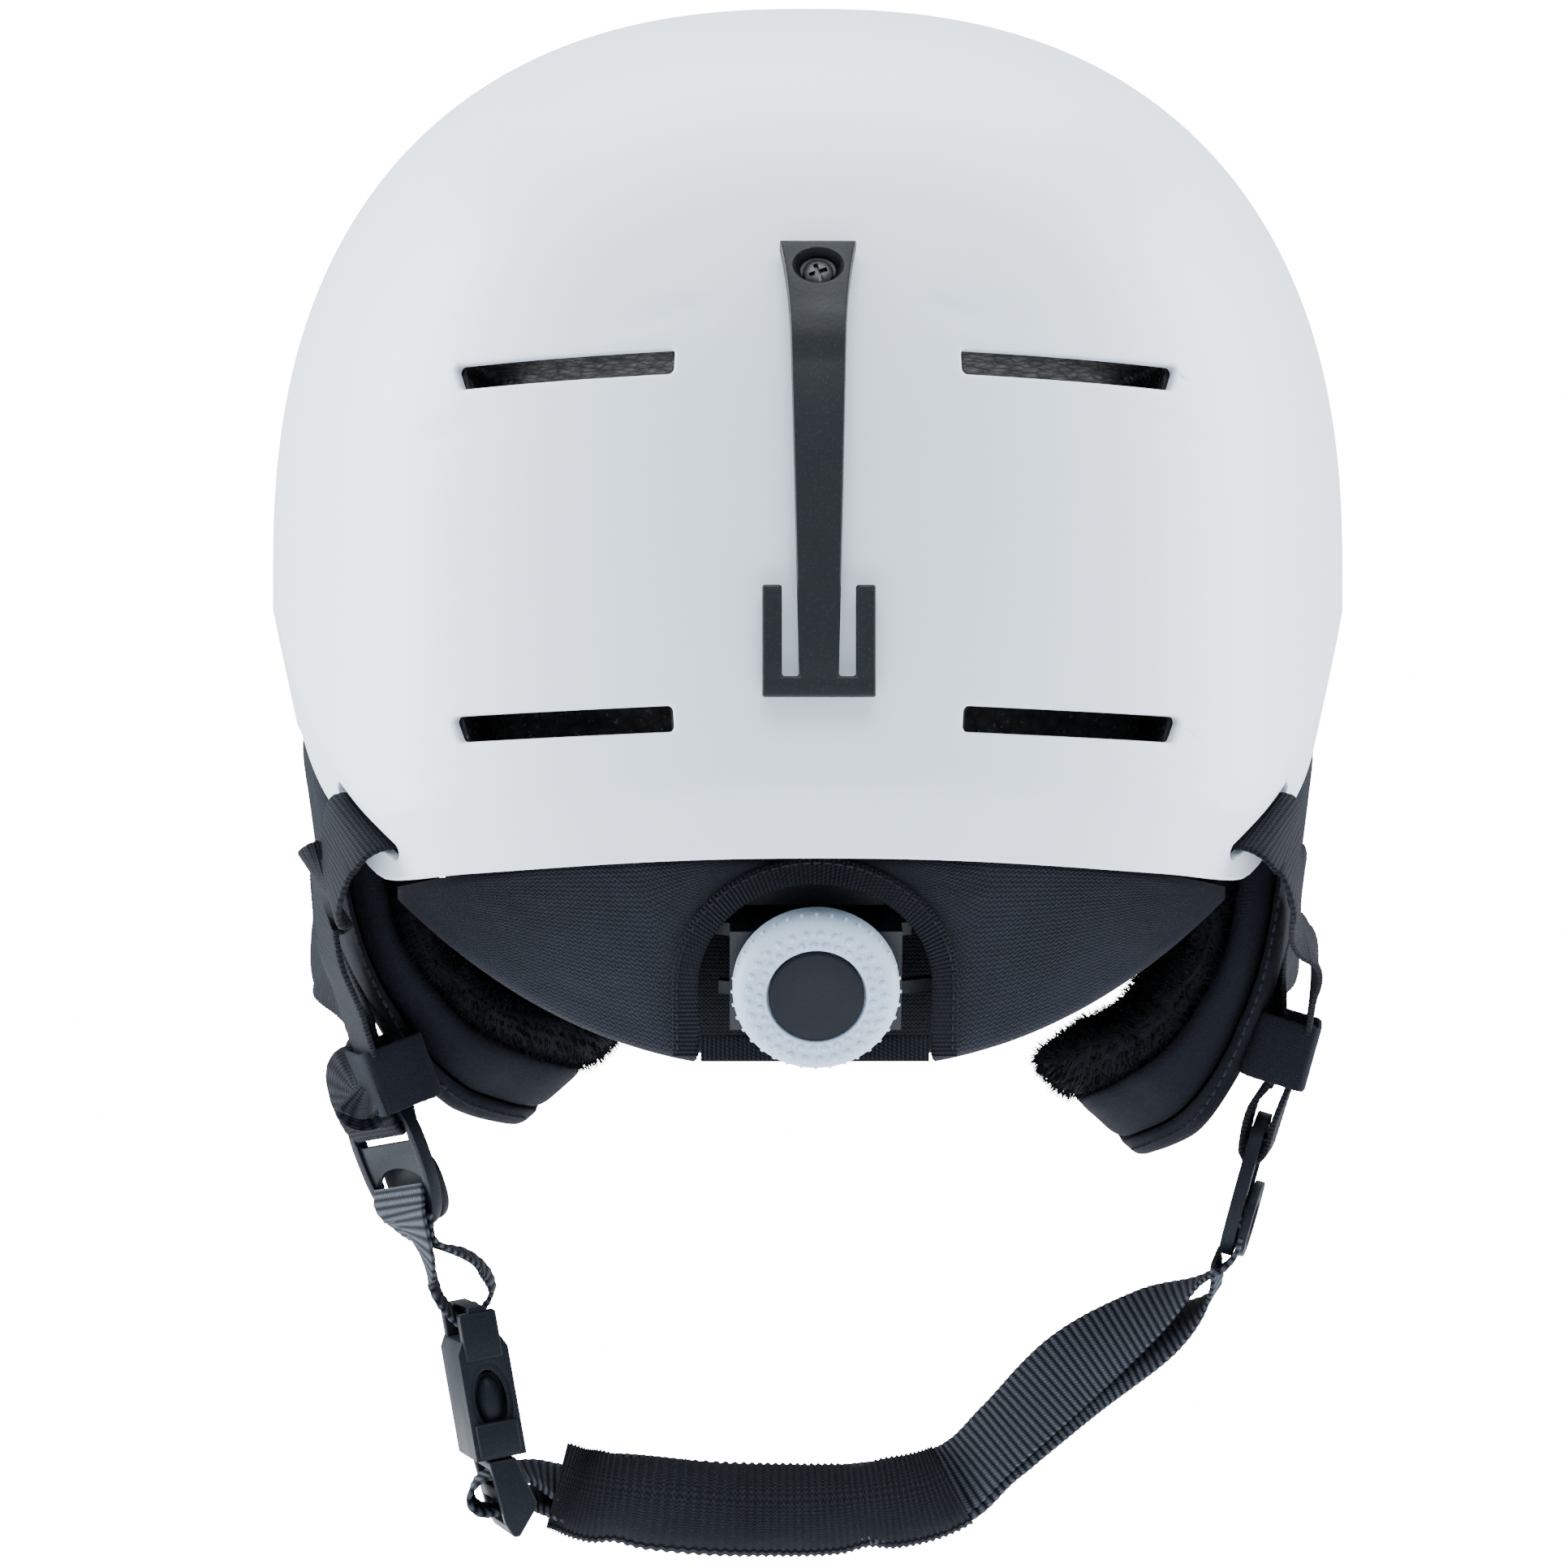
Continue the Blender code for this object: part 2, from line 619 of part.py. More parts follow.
def pad_patch(name, turns, bands, nu, nv, pole=False):
    """A comfort pad on the liner's inner face, over a range of turns and of row bands."""
    low = SHELL_WALL + GAP + LINER_WALL + COMFORT_GAP

    def height(turn, band):
        t = folded(turn)
        marks = (CROWN_Z, value_on(UPPER_CREASE, t), value_on(LOWER_CREASE, t), rim_height(t))
        i = min(int(band), 2)
        share = (band - i) ** (2.2 if i == 0 else 1.0)
        return marks[i] + (marks[i + 1] - marks[i]) * share

    def place(turn, band, side):
        return shell_point(turn, height(turn, band), low + side * COMFORT_PAD)

    if not pole:
        return plate(name, steps(*turns, nu), steps(*bands, nv), lambda u, v: True, place,
                     pad_fabric())
    verts = [Vector((0, 0, CROWN_Z - low - s * COMFORT_PAD)) for s in (0, 1)]
    faces = []
    rows = steps(0, bands[1], nv)[1:]
    for i in range(nu):
        for band in rows:
            verts += [place(360 * i / nu, band, s) for s in (0, 1)]
    at = {(i, k, s): 2 + ((i % nu) * len(rows) + k) * 2 + s for i in range(nu + 1)
          for k in range(len(rows)) for s in (0, 1)}
    for i in range(nu):
        for s in (0, 1):
            faces.append((s, at[i, 0, s], at[i + 1, 0, s]))
            for k in range(len(rows) - 1):
                faces.append((at[i, k, s], at[i, k + 1, s], at[i + 1, k + 1, s], at[i + 1, k, s]))
        k = len(rows) - 1
        faces.append((at[i, k, 0], at[i, k, 1], at[i + 1, k, 1], at[i + 1, k, 0]))
    return new_mesh(name, verts, faces, pad_fabric())


def build_comfort_pads():
    pad_patch("crown_pad", (0, 360), (0, 0.62), 20, 3, pole=True)
    pad_patch("brow_pad", (128, 232), (1.5, 2.7), 12, 3)
    pad_patch("side_pad_right", (66, 116), (1.45, 2.2), 6, 3)
    pad_patch("side_pad_left", (-116, -66), (1.45, 2.2), 6, 3)


def clip_frame(z):
    """Frame on the shell's rear centre line: x across it, z outwards."""
    up = (shell_point(0, z + 1) - shell_point(0, z - 1)).normalized()
    return frame_at(shell_point(0, z), (1, 0, 0), (0, -up.z, up.y))


def clip_shape(stand, x, z, side):
    """Corner of the retainer: it follows the shell's rear centre line."""
    return clip_frame(z) @ Vector((x, 0, stand + side * CLIP_THICKNESS))


def screw_bore(name, diameter, low, high):
    return turned(name, ((0, low), (diameter / 2, low), (diameter / 2, high), (0, high)),
                  clip_frame(SCREW_Z), liner_foam(), 16)


def build_goggle_retainer():
    half_base, half_arm = CLIP_BASE_WIDTH / 2, CLIP_ARM_WIDTH / 2

    def base_place(u, z, side):
        share = (z - CLIP_BEND_Z) / (CLIP_TOP_Z - CLIP_BEND_Z)
        return clip_shape(CLIP_BASE_STAND, u * (half_arm + (half_base - half_arm) * share), z,
                          side)

    base = plate("goggle_clip_base", (-1, 1), steps(CLIP_BEND_Z + GAP, CLIP_TOP_Z, 3),
                 lambda u, v: True, base_place, moulded_black())
    head = CLIP_BASE_STAND + CLIP_THICKNESS
    cut(base, screw_bore("cutter_base_shank", SCREW_SHANK + 2 * GAP, -5, 10),
        screw_bore("cutter_base_head", SCREW_HEAD + 2.4, head - SCREW_SINK, 12))

    bar_top = CLIP_END_Z + CLIP_BAR_HEIGHT
    prong_top = bar_top + CLIP_PRONG_HEIGHT
    half_bar = CLIP_BAR_WIDTH / 2
    inner = half_bar - CLIP_PRONG_WIDTH
    us = (-half_bar, -inner, -half_arm, half_arm, inner, half_bar)
    vs = [CLIP_END_Z, bar_top] + steps(bar_top, prong_top, 2)[1:]
    vs += steps(prong_top, CLIP_BEND_Z, 5)[1:]

    def arm_filled(u, v):
        if v < bar_top or abs(u) < half_arm:
            return True
        return abs(u) > inner and v < prong_top

    def arm_place(u, z, side):
        if abs(u) == half_arm:
            share = (z - bar_top) / (CLIP_BEND_Z - bar_top)
            tip = CLIP_ARM_TIP_WIDTH / 2
            u = math.copysign(tip + (half_arm - tip) * max(share, 0), u)
        lift = CLIP_ARM_STAND
        if z > CLIP_BEND_Z - 1:
            lift = CLIP_BASE_STAND
        return clip_shape(lift, u, z, side)

    hinge = clip_shape(CLIP_BASE_STAND, 0, CLIP_BEND_Z, 0.5)
    plate("goggle_clip_arm", us, vs, arm_filled, arm_place, moulded_black(), hinge)

    seat = head - SCREW_SINK + GAP
    crown = seat + SCREW_HEAD_HEIGHT
    frame = clip_frame(SCREW_Z)
    turned("goggle_clip_screw",
           ((0, seat - SCREW_LENGTH), (SCREW_SHANK / 2, seat - SCREW_LENGTH),
            (SCREW_SHANK / 2, seat), (SCREW_HEAD / 2, seat), (SCREW_HEAD / 2, crown - 0.7),
            (SCREW_HEAD / 2 - 0.9, crown), (0, crown)), frame, screw_steel(), 16)
    top = -SHELL_WALL - INSERT_SINK
    bore = SCREW_SHANK / 2 + GAP
    rim = INSERT_DIAMETER / 2
    turned("goggle_clip_insert", ((bore, top - INSERT_LENGTH), (rim, top - INSERT_LENGTH),
                                  (rim, top), (bore, top)), frame,
           material("insert_brass", (0.55, 0.40, 0.15), 0.35, 1.0), 16)


def dial_frame():
    """Frame on the dial's axis: z out of the dial, y up it."""
    tilt = math.radians(DIAL_TILT)
    out = Vector((0, -math.cos(tilt), -math.sin(tilt)))
    return frame_at(DIAL_CENTRE, (1, 0, 0), out)


def build_dial():
    frame = dial_frame()
    radius, back = KNOB_DIAMETER / 2, KNOB_BACK
    front = back + KNOB_THICKNESS
    cap = CAP_DIAMETER / 2
    recess = front - CAP_THICKNESS - GAP
    bore = SCREW_SHANK / 2 + GAP
    turned("dial_knob", ((bore, back), (radius - 1.5, back), (radius, back + 1.2),
                         (radius, front - 2), (radius - 2, front), (cap + GAP, front),
                         (cap + GAP, recess), (bore, recess)), frame, dial_rubber(), 32,
           DIAL_CENTRE)
    turned("dial_cap", ((0, recess + GAP), (cap, recess + GAP), (cap, front - 0.2),
                        (cap - 0.5, front), (0, front)), frame, moulded_black(), 32, DIAL_CENTRE)
    width, height = HOUSING
    housing = block("dial_housing", frame, (-width / 2, -height / 2, HOUSING_BACK),
                    (width / 2, height / 2, HOUSING_FRONT), moulded_black())
    channel = BAND_THICKNESS / 2 + 1.0
    sag = BAND_RADIUS - math.sqrt(BAND_RADIUS ** 2 - (width / 2) ** 2)
    cut(housing,
        block("cutter_band_channel", frame,
              (-width, -RACK_OUTER - 0.6, RACK_PLANE - channel - sag),
              (width, RACK_OUTER + 0.6, RACK_PLANE + channel), liner_foam()),
        turned("cutter_shaft", ((0, RACK_PLANE), (SHAFT_DIAMETER / 2 + GAP, RACK_PLANE),
                                (SHAFT_DIAMETER / 2 + GAP, 9), (0, 9)), frame, liner_foam()),
        turned("cutter_pinion_seat", ((0, RACK_PLANE - 4.2), (bore + 1.0, RACK_PLANE - 4.2),
                                      (bore + 1.0, RACK_PLANE + 1), (0, RACK_PLANE + 1)), frame,
               liner_foam()))

    def toothed(radius, i):
        return PINION_TIP if radius == PINION_ROOT and i % 4 < 2 else radius

    low, high = RACK_PLANE - channel + GAP, RACK_PLANE + channel - GAP
    shaft, shaft_top = SHAFT_DIAMETER / 2 - 0.05, back - GAP
    turned("dial_pinion", ((bore, low), (PINION_ROOT, low), (PINION_ROOT, high), (shaft, high),
                           (shaft, shaft_top), (bore, shaft_top)), frame, moulded_black(),
           4 * PINION_TEETH, DIAL_CENTRE, toothed)
    shank = SCREW_SHANK / 2
    turned("dial_screw", ((0, low + 0.2), (shank, low + 0.2), (shank, recess - GAP),
                          (0, recess - GAP)), frame, screw_steel(), 16, DIAL_CENTRE)


def build_bands():
    """Both bands slide round one arc, centred on the dial's axis inside the helmet."""
    frame = dial_frame()
    centre = frame @ Vector((0, 0, RACK_PLANE - BAND_RADIUS))
    turn = frame.to_3x3()
    for side, sign in (("right", 1), ("left", -1)):
        rack = (RACK_INNER, RACK_OUTER) if side == "left" else (-RACK_OUTER, -RACK_INNER)
        us = steps(-RACK_OVERLAP, BAND_WIDENS, 8) + steps(BAND_WIDENS, BAND_END, 6)[1:]
        vs = sorted({-RACK_OUTER, -RACK_INNER, RACK_INNER, RACK_OUTER})

        def filled(u, v, rack=rack):
            return u > BAND_WIDENS or rack[0] < v < rack[1]

        def place(u, v, face, sign=sign):
            radius = BAND_RADIUS + (face - 0.5) * BAND_THICKNESS
            angle = math.radians(u)
            local = Vector((sign * radius * math.sin(angle), v, radius * math.cos(angle)))
            return centre + turn @ local

        plate(f"fit_band_{side}", us, vs, filled, place, moulded_black(), centre)


def nape_rear(x, z):
    return NAPE_Y + NAPE_SLOPE * (ARCH_TOP_Z + 3.5 - z) + x * x / NAPE_ROUND


def nape_top(x):
    return NAPE_TOP_Z - NAPE_TOP_DROP * (abs(x) / NAPE_HALF_WIDTH) ** 3


def nape_bottom(x):
    share = min(abs(x) / NAPE_HALF_WIDTH, 1)
    return NAPE_LOW_Z + (NAPE_END_Z - NAPE_LOW_Z) * share ** NAPE_POWER


def arch_height(x):
    """Height of the arch's edge at x; its feet stand on the pad's lower edge."""
    share = min(abs(x) / ARCH_HALF_WIDTH, 1)
    return ARCH_TOP_Z - ARCH_RISE * (1 - math.sqrt(max(0.0, 1 - share ** ARCH_POWER)))


def build_nape():
    edge = ARCH_HALF_WIDTH
    xs = [-NAPE_HALF_WIDTH + k * (NAPE_HALF_WIDTH - edge) / 5 for k in range(6)]
    columns = [(x, nape_bottom(x)) for x in xs]
    columns += [(edge * math.sin(math.radians(a)), arch_height(edge * math.sin(math.radians(a))))
                for a in range(-75, 90, 15)]
    columns += [(-x, z) for x, z in reversed(columns[:6])]
    verts, faces = [], []
    for x, z in columns:
        for height in (nape_top(x), z):
            rear = nape_rear(x, height)
            verts += [Vector((x, rear, height)), Vector((x, rear + NAPE_THICKNESS, height))]
    for k in range(len(columns) - 1):
        a, b = 4 * k, 4 * k + 4
        faces += [(a, b, b + 2, a + 2), (a + 1, a + 3, b + 3, b + 1), (a, a + 1, b + 1, b),
                  (a + 2, b + 2, b + 3, a + 3)]
    last = 4 * (len(columns) - 1)
    faces += [(0, 2, 3, 1), (last, last + 1, last + 3, last + 2)]
    new_mesh("nape_pad", verts, faces, pad_fabric())

    middle = edge + BINDING_WIDTH / 2
    path, across = [], []
    foot = nape_bottom(middle) + 2
    for k in range(13):
        angle = math.pi * k / 12
        x = -middle * math.cos(angle)
        z = ARCH_TOP_Z - ARCH_RISE + (ARCH_RISE + BINDING_WIDTH / 2 - 1.0) * math.sin(angle)
        path.append((x, z))
        across.append(Vector((math.cos(angle), 0, -math.sin(angle))))
    low = [(-middle, foot), (-middle, (foot + path[0][1]) / 2)]
    path = low + path + [(-x, z) for x, z in reversed(low)]
    across = [Vector((1, 0, 0))] * 2 + across + [Vector((-1, 0, 0))] * 2
    lift = BINDING_THICKNESS / 2 + BINDING_STAND
    path = [Vector((x, nape_rear(abs(x) + BINDING_WIDTH / 2, z) - lift, z)) for x, z in path]
    ribbon("nape_binding", path, across, webbing(), BINDING_WIDTH, BINDING_THICKNESS, 25)

    tape_z = nape_bottom(edge) + TAPE_HEIGHT / 2 + 0.3
    reach = edge - 1.0
    tape = [Vector((x, nape_rear(0, tape_z) + TAPE_STAND, tape_z))
            for x in steps(-reach, reach, 4)]
    ribbon("nape_tape", tape, [Vector((0, 0, 1))] * 5, webbing(), TAPE_HEIGHT, TAPE_THICKNESS, 7)

    lining_low = nape_bottom(edge) + 1.0

    def lining(u, v, side):
        stand = LINING_STAND + side * LINING_THICKNESS
        return Vector((u, nape_rear(u, v) + stand, v))

    plate("nape_lining", steps(-LINING_WIDTH / 2, LINING_WIDTH / 2, 6),
          steps(lining_low, NAPE_TOP_Z - 3, 3), lambda u, v: True, lining, pad_fabric())

    frame = dial_frame()
    top = HOUSING[1] / 2 + GAP

    def hanger(x, z, side):
        stand = NAPE_THICKNESS + CRADLE_STAND + CRADLE_THICKNESS * side
        return Vector((x, nape_rear(0, z) + stand, z))

    low_z = (frame @ Vector((0, top, HOUSING_BACK / 2))).z + 1.4
    plate("fit_cradle", (-CRADLE_HALF_WIDTH, CRADLE_HALF_WIDTH),
          steps(low_z, NAPE_TOP_Z, 2), lambda u, v: True, hanger,
          moulded_black())


def ear_edge(y):
    """Height of the shell's rim above a place along the side."""
    full = REAR_DEPTH - 3 if y < 0 else FRONT_DEPTH - 3
    share = min(abs(y) / full, 1) ** (PLAN_POWER / 2)
    turn = math.degrees(math.acos(share))
    return rim_height(turn if y < 0 else 180 - turn)


def ear_point(side, y, v, layer):
    """Point of an ear pad: y along the side, v from its top to its bottom, layer from the
    outer face (0) to the inner face (1)."""
    sign = {"left": -1, "right": 1}[side]
    ends = []
    for line in (EAR_OUTER, EAR_INNER):
        marks = [(k / (len(line) - 1), p) for k, p in enumerate(line)]
        x = value_on([(t, p[0]) for t, p in marks], v)
        z = value_on([(t, p[1]) for t, p in marks], v)
        ends.append((x, z))
    x = ends[0][0] + (ends[1][0] - ends[0][0]) * layer
    z = ends[0][1] + (ends[1][1] - ends[0][1]) * layer
    top = ear_edge(y * (1 + 0.22 * layer)) - EAR_CLEAR
    z += (top - EAR_OUTER[0][1]) * max(0.0, 1 - v / 0.5)
    x -= EAR_TUCK[side] * v ** 1.5
    z += EAR_TUCK[side] * 0.7 * v ** 1.5
    plan = (1 - (abs(y) / (REAR_DEPTH - 3)) ** PLAN_POWER) ** (1 / PLAN_POWER)
    return Vector((sign * x * plan, y, z))


def ear_span(v):
    share = v ** EAR_TAPER_POWER
    return (EAR_REAR_Y + EAR_REAR_TAPER * share, EAR_FRONT_Y - EAR_FRONT_TAPER * share)


def build_ear_pads():
    finishes = {"cover": pad_fabric(), "rim": pad_fabric(), "fleece": fleece()}
    for side in ("left", "right"):
        for layer, (outer, inner) in EAR_LAYERS.items():
            def place(u, v, face, outer=outer, inner=inner, side=side):
                rear, front = ear_span(v)
                return ear_point(side, rear + (front - rear) * u, v,
                                 outer + (inner - outer) * face)

            plate(f"ear_{layer}_{side}", steps(0, 1, 6), steps(0, 1, 7), lambda u, v: True,
                  place, finishes[layer])


def hang_frame(side, drop=0.0, facing=DIVIDER_TURN):
    """Frame on a side's strap run: x across the webbing, y up it, z out from the head."""
    sign = {"left": -1, "right": 1}[side]
    down = HANG_DIRECTION[side].normalized()
    turn = math.radians(facing[side])
    out = Vector((sign * math.cos(turn), -math.sin(turn), 0))
    out = (out - down * out.dot(down)).normalized()
    return frame_at(HANG_POINT[side] + down * drop, out.cross(down), out)


def towards(direction, other):
    """A direction, turned about if it points away from the other."""
    return direction if direction.dot(other) > 0 else -direction


def build_straps():
    for side in ("left", "right"):
        mirror = Vector(({"left": -1, "right": 1}[side], 1, 1))
        slot = slot_frame(side)
        start, turn = slot.translation, slot.to_3x3()
        cross, out = turn @ Vector((1, 0, 0)), turn @ Vector((0, 0, 1))
        down = towards(turn @ Vector((0, 1, 0)), Vector((0, 0, -1)))
        drop = HANG_DIRECTION[side].normalized()
        keeper = hang_frame(side, facing=KEEPER_TURN)
        hang = keeper.translation
        flat = towards(keeper.to_3x3() @ Vector((1, 0, 0)), cross)
        divider = hang_frame(side, DIVIDER_DROP)
        into = divider.to_3x3()
        wide = towards(into @ Vector((1, 0, 0)), flat)
        top_edge = divider @ Vector((0, DIVIDER_SIZE[1] / 2, 0))
        slot_in = divider @ Vector((0, DIVIDER_SLOT[1] - 1.6, 0))
        slot_mid = divider @ Vector((0, DIVIDER_SLOT[1] - 3.2, 0))
        # the rear strap, out of its slot, over the shell's rim and down to the divider
        lay = keeper.to_3x3() @ Vector((0, 0, REAR_LAY))
        path = [start - out * 9, start - out * 2, start + out * 2.2 + down * 1.2,
                start + out * 3.4 + down * 6, start + out * 3.4 + down * 14,
                *(Vector(p) * mirror for p in REAR_RUN),
                hang + lay - drop * 8, hang + lay - drop * 4, hang + lay + drop * 5,
                top_edge + into @ Vector((0, 1, 2.7)), slot_in + into @ Vector((0, 0.8, 2.35)),
                slot_mid + into @ Vector((0, 0, 0.9))]
        across = [cross] * 5 + [(cross + flat * 0.6).normalized(),
                                (cross * 0.3 + flat).normalized()] + [flat] * 3 + [wide] * 3
        ribbon(f"strap_rear_{side}", path, across, webbing(), count=37)
        # the front strap, from the liner's rim in front of the ear, under the rear strap
        anchor = front_anchor_place(side)
        level = towards(anchor.to_3x3() @ Vector((1, 0, 0)), flat)
        lay = keeper.to_3x3() @ Vector((0, 0, FRONT_LAY))
        path = [anchor @ Vector((0, -7, 0)), anchor @ Vector((0, 0, 0)),
                anchor @ Vector((0, 9, 1.5)), *(Vector(p) * mirror for p in FRONT_RUN),
                hang + lay - drop, hang + lay + drop * 6,
                top_edge + into @ Vector((0, 1, -2.7)), slot_in + into @ Vector((0, 0.8, -2.35)),
                slot_mid + into @ Vector((0, 0, -0.9))]
        across = [level] * 3 + [(level + flat * 0.5).normalized()] + [flat] * 6 + [wide] * 3
        ribbon(f"strap_front_{side}", path, across, webbing(), count=37)


def build_anchors():
    for side in ("left", "right"):
        block(f"strap_anchor_rear_{side}", slot_frame(side), *REAR_ANCHOR, moulded_black())
        block(f"strap_anchor_front_{side}", front_anchor_place(side), *FRONT_ANCHOR,
              moulded_black())


def build_keepers():
    inner_w, inner_t = WEB_WIDTH + KEEPER_ROOM[0], WEB_THICKNESS + KEEPER_ROOM[1]
    wall, half, lift = KEEPER_WALL, KEEPER_HEIGHT / 2, REAR_LAY
    for side in ("left", "right"):
        frame = hang_frame(side, facing=KEEPER_TURN)
        us = (-inner_w / 2 - wall, -inner_w / 2, inner_w / 2, inner_w / 2 + wall)
        vs = (-inner_t / 2 - wall + lift, -inner_t / 2 + lift, inner_t / 2 + lift,
              inner_t / 2 + wall + lift)

        def place(u, v, face, frame=frame):
            return frame @ Vector((u, half * (2 * face - 1), v))

        plate(f"strap_keeper_{side}", us, vs,
              lambda u, v: abs(u) > inner_w / 2 or abs(v - lift) > inner_t / 2, place,
              pad_fabric())


def oval(u, v, width, height):
    """Round a rectangle's grid towards an oval."""
    x, y = u / (width / 2), v / (height / 2)
    return (u * (1 - 0.16 * y * y), v * (1 - 0.12 * x * x))


def build_dividers():
    width, height = DIVIDER_SIZE
    hole, window = DIVIDER_HOLE_HALF, DIVIDER_WINDOW
    for side in ("left", "right"):
        frame = hang_frame(side, DIVIDER_DROP)
        us = [-width / 2, -hole, -hole / 2, 0, hole / 2, hole, width / 2]
        vs = [-height / 2, window[0], sum(window) / 2, window[1], *DIVIDER_SLOT, 12.0, height / 2]

        def solid(u, v):
            in_hole = DIVIDER_SLOT[0] < v < DIVIDER_SLOT[1] or window[0] < v < window[1]
            return not (abs(u) < hole and in_hole)

        def place(u, v, face, frame=frame):
            x, y = oval(u, v, width, height)
            return frame @ Vector((x, y, (face - 0.5) * DIVIDER_THICKNESS))

        plate(f"divider_frame_{side}", us, vs, solid, place, moulded_black())
        lever_w, lever_h = LEVER_SIZE
        back = DIVIDER_THICKNESS / 2 + GAP + 0.15
        top = LEVER_TOP
        us = [-lever_w / 2, -6, 6, lever_w / 2]
        vs = [top - lever_h, top - lever_h + 4, top - 4, top]

        def lever_place(u, v, face, frame=frame, side=side):
            y = v - (top - lever_h / 2)
            x, y = oval(u, y, lever_w, lever_h)
            return frame @ Vector((x, y + top - lever_h / 2,
                                   LEVER_FACE[side] * (back + face * LEVER_THICKNESS)))

        hinge = frame @ Vector((0, top, LEVER_FACE[side] * (back + LEVER_THICKNESS / 2)))
        plate(f"divider_lever_{side}", us, vs, lambda u, v: True, lever_place, moulded_black(),
              hinge)


def buckle_frame():
    """Frame at the top of the buckle: x through its thickness, y its width, z up its length."""
    lean = math.radians(BUCKLE_LEAN)
    return frame_at(BUCKLE_TOP, (math.cos(lean), 0, math.sin(lean)),
                    (-math.sin(lean), 0, math.cos(lean)))


def profile_block(name, outline, frame, half, finish, origin=(0, 0, 0)):
    """An outline in the frame's x and z, drawn out along its y."""
    n = len(outline)
    verts = [frame @ Vector((x, y, z)) for y in (-half, half) for x, z in outline]
    faces = [list(range(n)), list(range(n, 2 * n))[::-1]]
    faces += [(i, (i + 1) % n, n + (i + 1) % n, n + i) for i in range(n)]
    return new_mesh(name, verts, faces, finish, origin)


def plug_ends():
    """Heights of the plug's head and foot in the buckle's frame."""
    top = -BUCKLE_LENGTH - PLUG_GAP
    return top, top - PLUG_LENGTH


def build_buckle():
    frame = buckle_frame()
    t, tab = BUCKLE_THICKNESS / 2, BUCKLE_TAB_THICKNESS / 2
    window, foot, head = BUCKLE_WINDOW
    half, cheek = BUCKLE_WIDTH / 2, BUCKLE_WIDTH / 2 - BUCKLE_CHEEK
    outline = ((-tab, 0), (tab, 0), (tab, -BUCKLE_TAB + 1), (t, -BUCKLE_TAB - 2),
               (t, -BUCKLE_LENGTH), (-t, -BUCKLE_LENGTH), (-t, -BUCKLE_TAB - 2),
               (-tab, -BUCKLE_TAB + 1))
    female = profile_block("buckle_female", outline, frame, half, moulded_black())
    room = t - BUCKLE_WALL
    cut(female,
        block("cutter_web_slot", frame, (-9, -cheek, -BUCKLE_TAB), (9, cheek, -BUCKLE_BAR),
              liner_foam()),
        block("cutter_socket", frame, (-room, -cheek, -BUCKLE_LENGTH - 2),
              (room, cheek, -BUCKLE_TAB - BUCKLE_ROOF), liner_foam()),
        block("cutter_windows", frame, (-window, -half - 2, foot), (window, half + 2, head),
              liner_foam()))

    top, end = plug_ends()
    waist, shoulder, tip = PLUG_HALF
    outline = ((-waist, top), (waist, top), (shoulder, top - PLUG_SHOULDER), (tip, end),
               (-tip, end), (-shoulder, top - PLUG_SHOULDER))
    male = profile_block("buckle_male", outline, frame, half, moulded_black())
    cut(male, block("cutter_plug_slot", frame, (-9, -cheek, end + BUCKLE_BAR),
                    (9, cheek, end + BUCKLE_BAR + PLUG_SLOT), liner_foam()))
    cut(male, block("cutter_spine", frame, (-SPINE_HALF, -SPINE_HALF, top - 1),
                    (SPINE_HALF, SPINE_HALF, head), liner_foam()), operation="UNION")
    # an arm is thinner than the window that its button shows in
    thick = window - GAP
    for place, sign in (("rear", -1), ("front", 1)):
        root = frame @ Vector((0, sign * ARM_HINGE_Y, top + GAP))
        low, high = sorted((sign * (cheek - ARM_THICKNESS - ARM_GAP), sign * (cheek - ARM_GAP)))
        block(f"buckle_arm_{place}", frame, (-thick, low, top + GAP), (thick, high, ARM_TOP),
              moulded_black(), root)


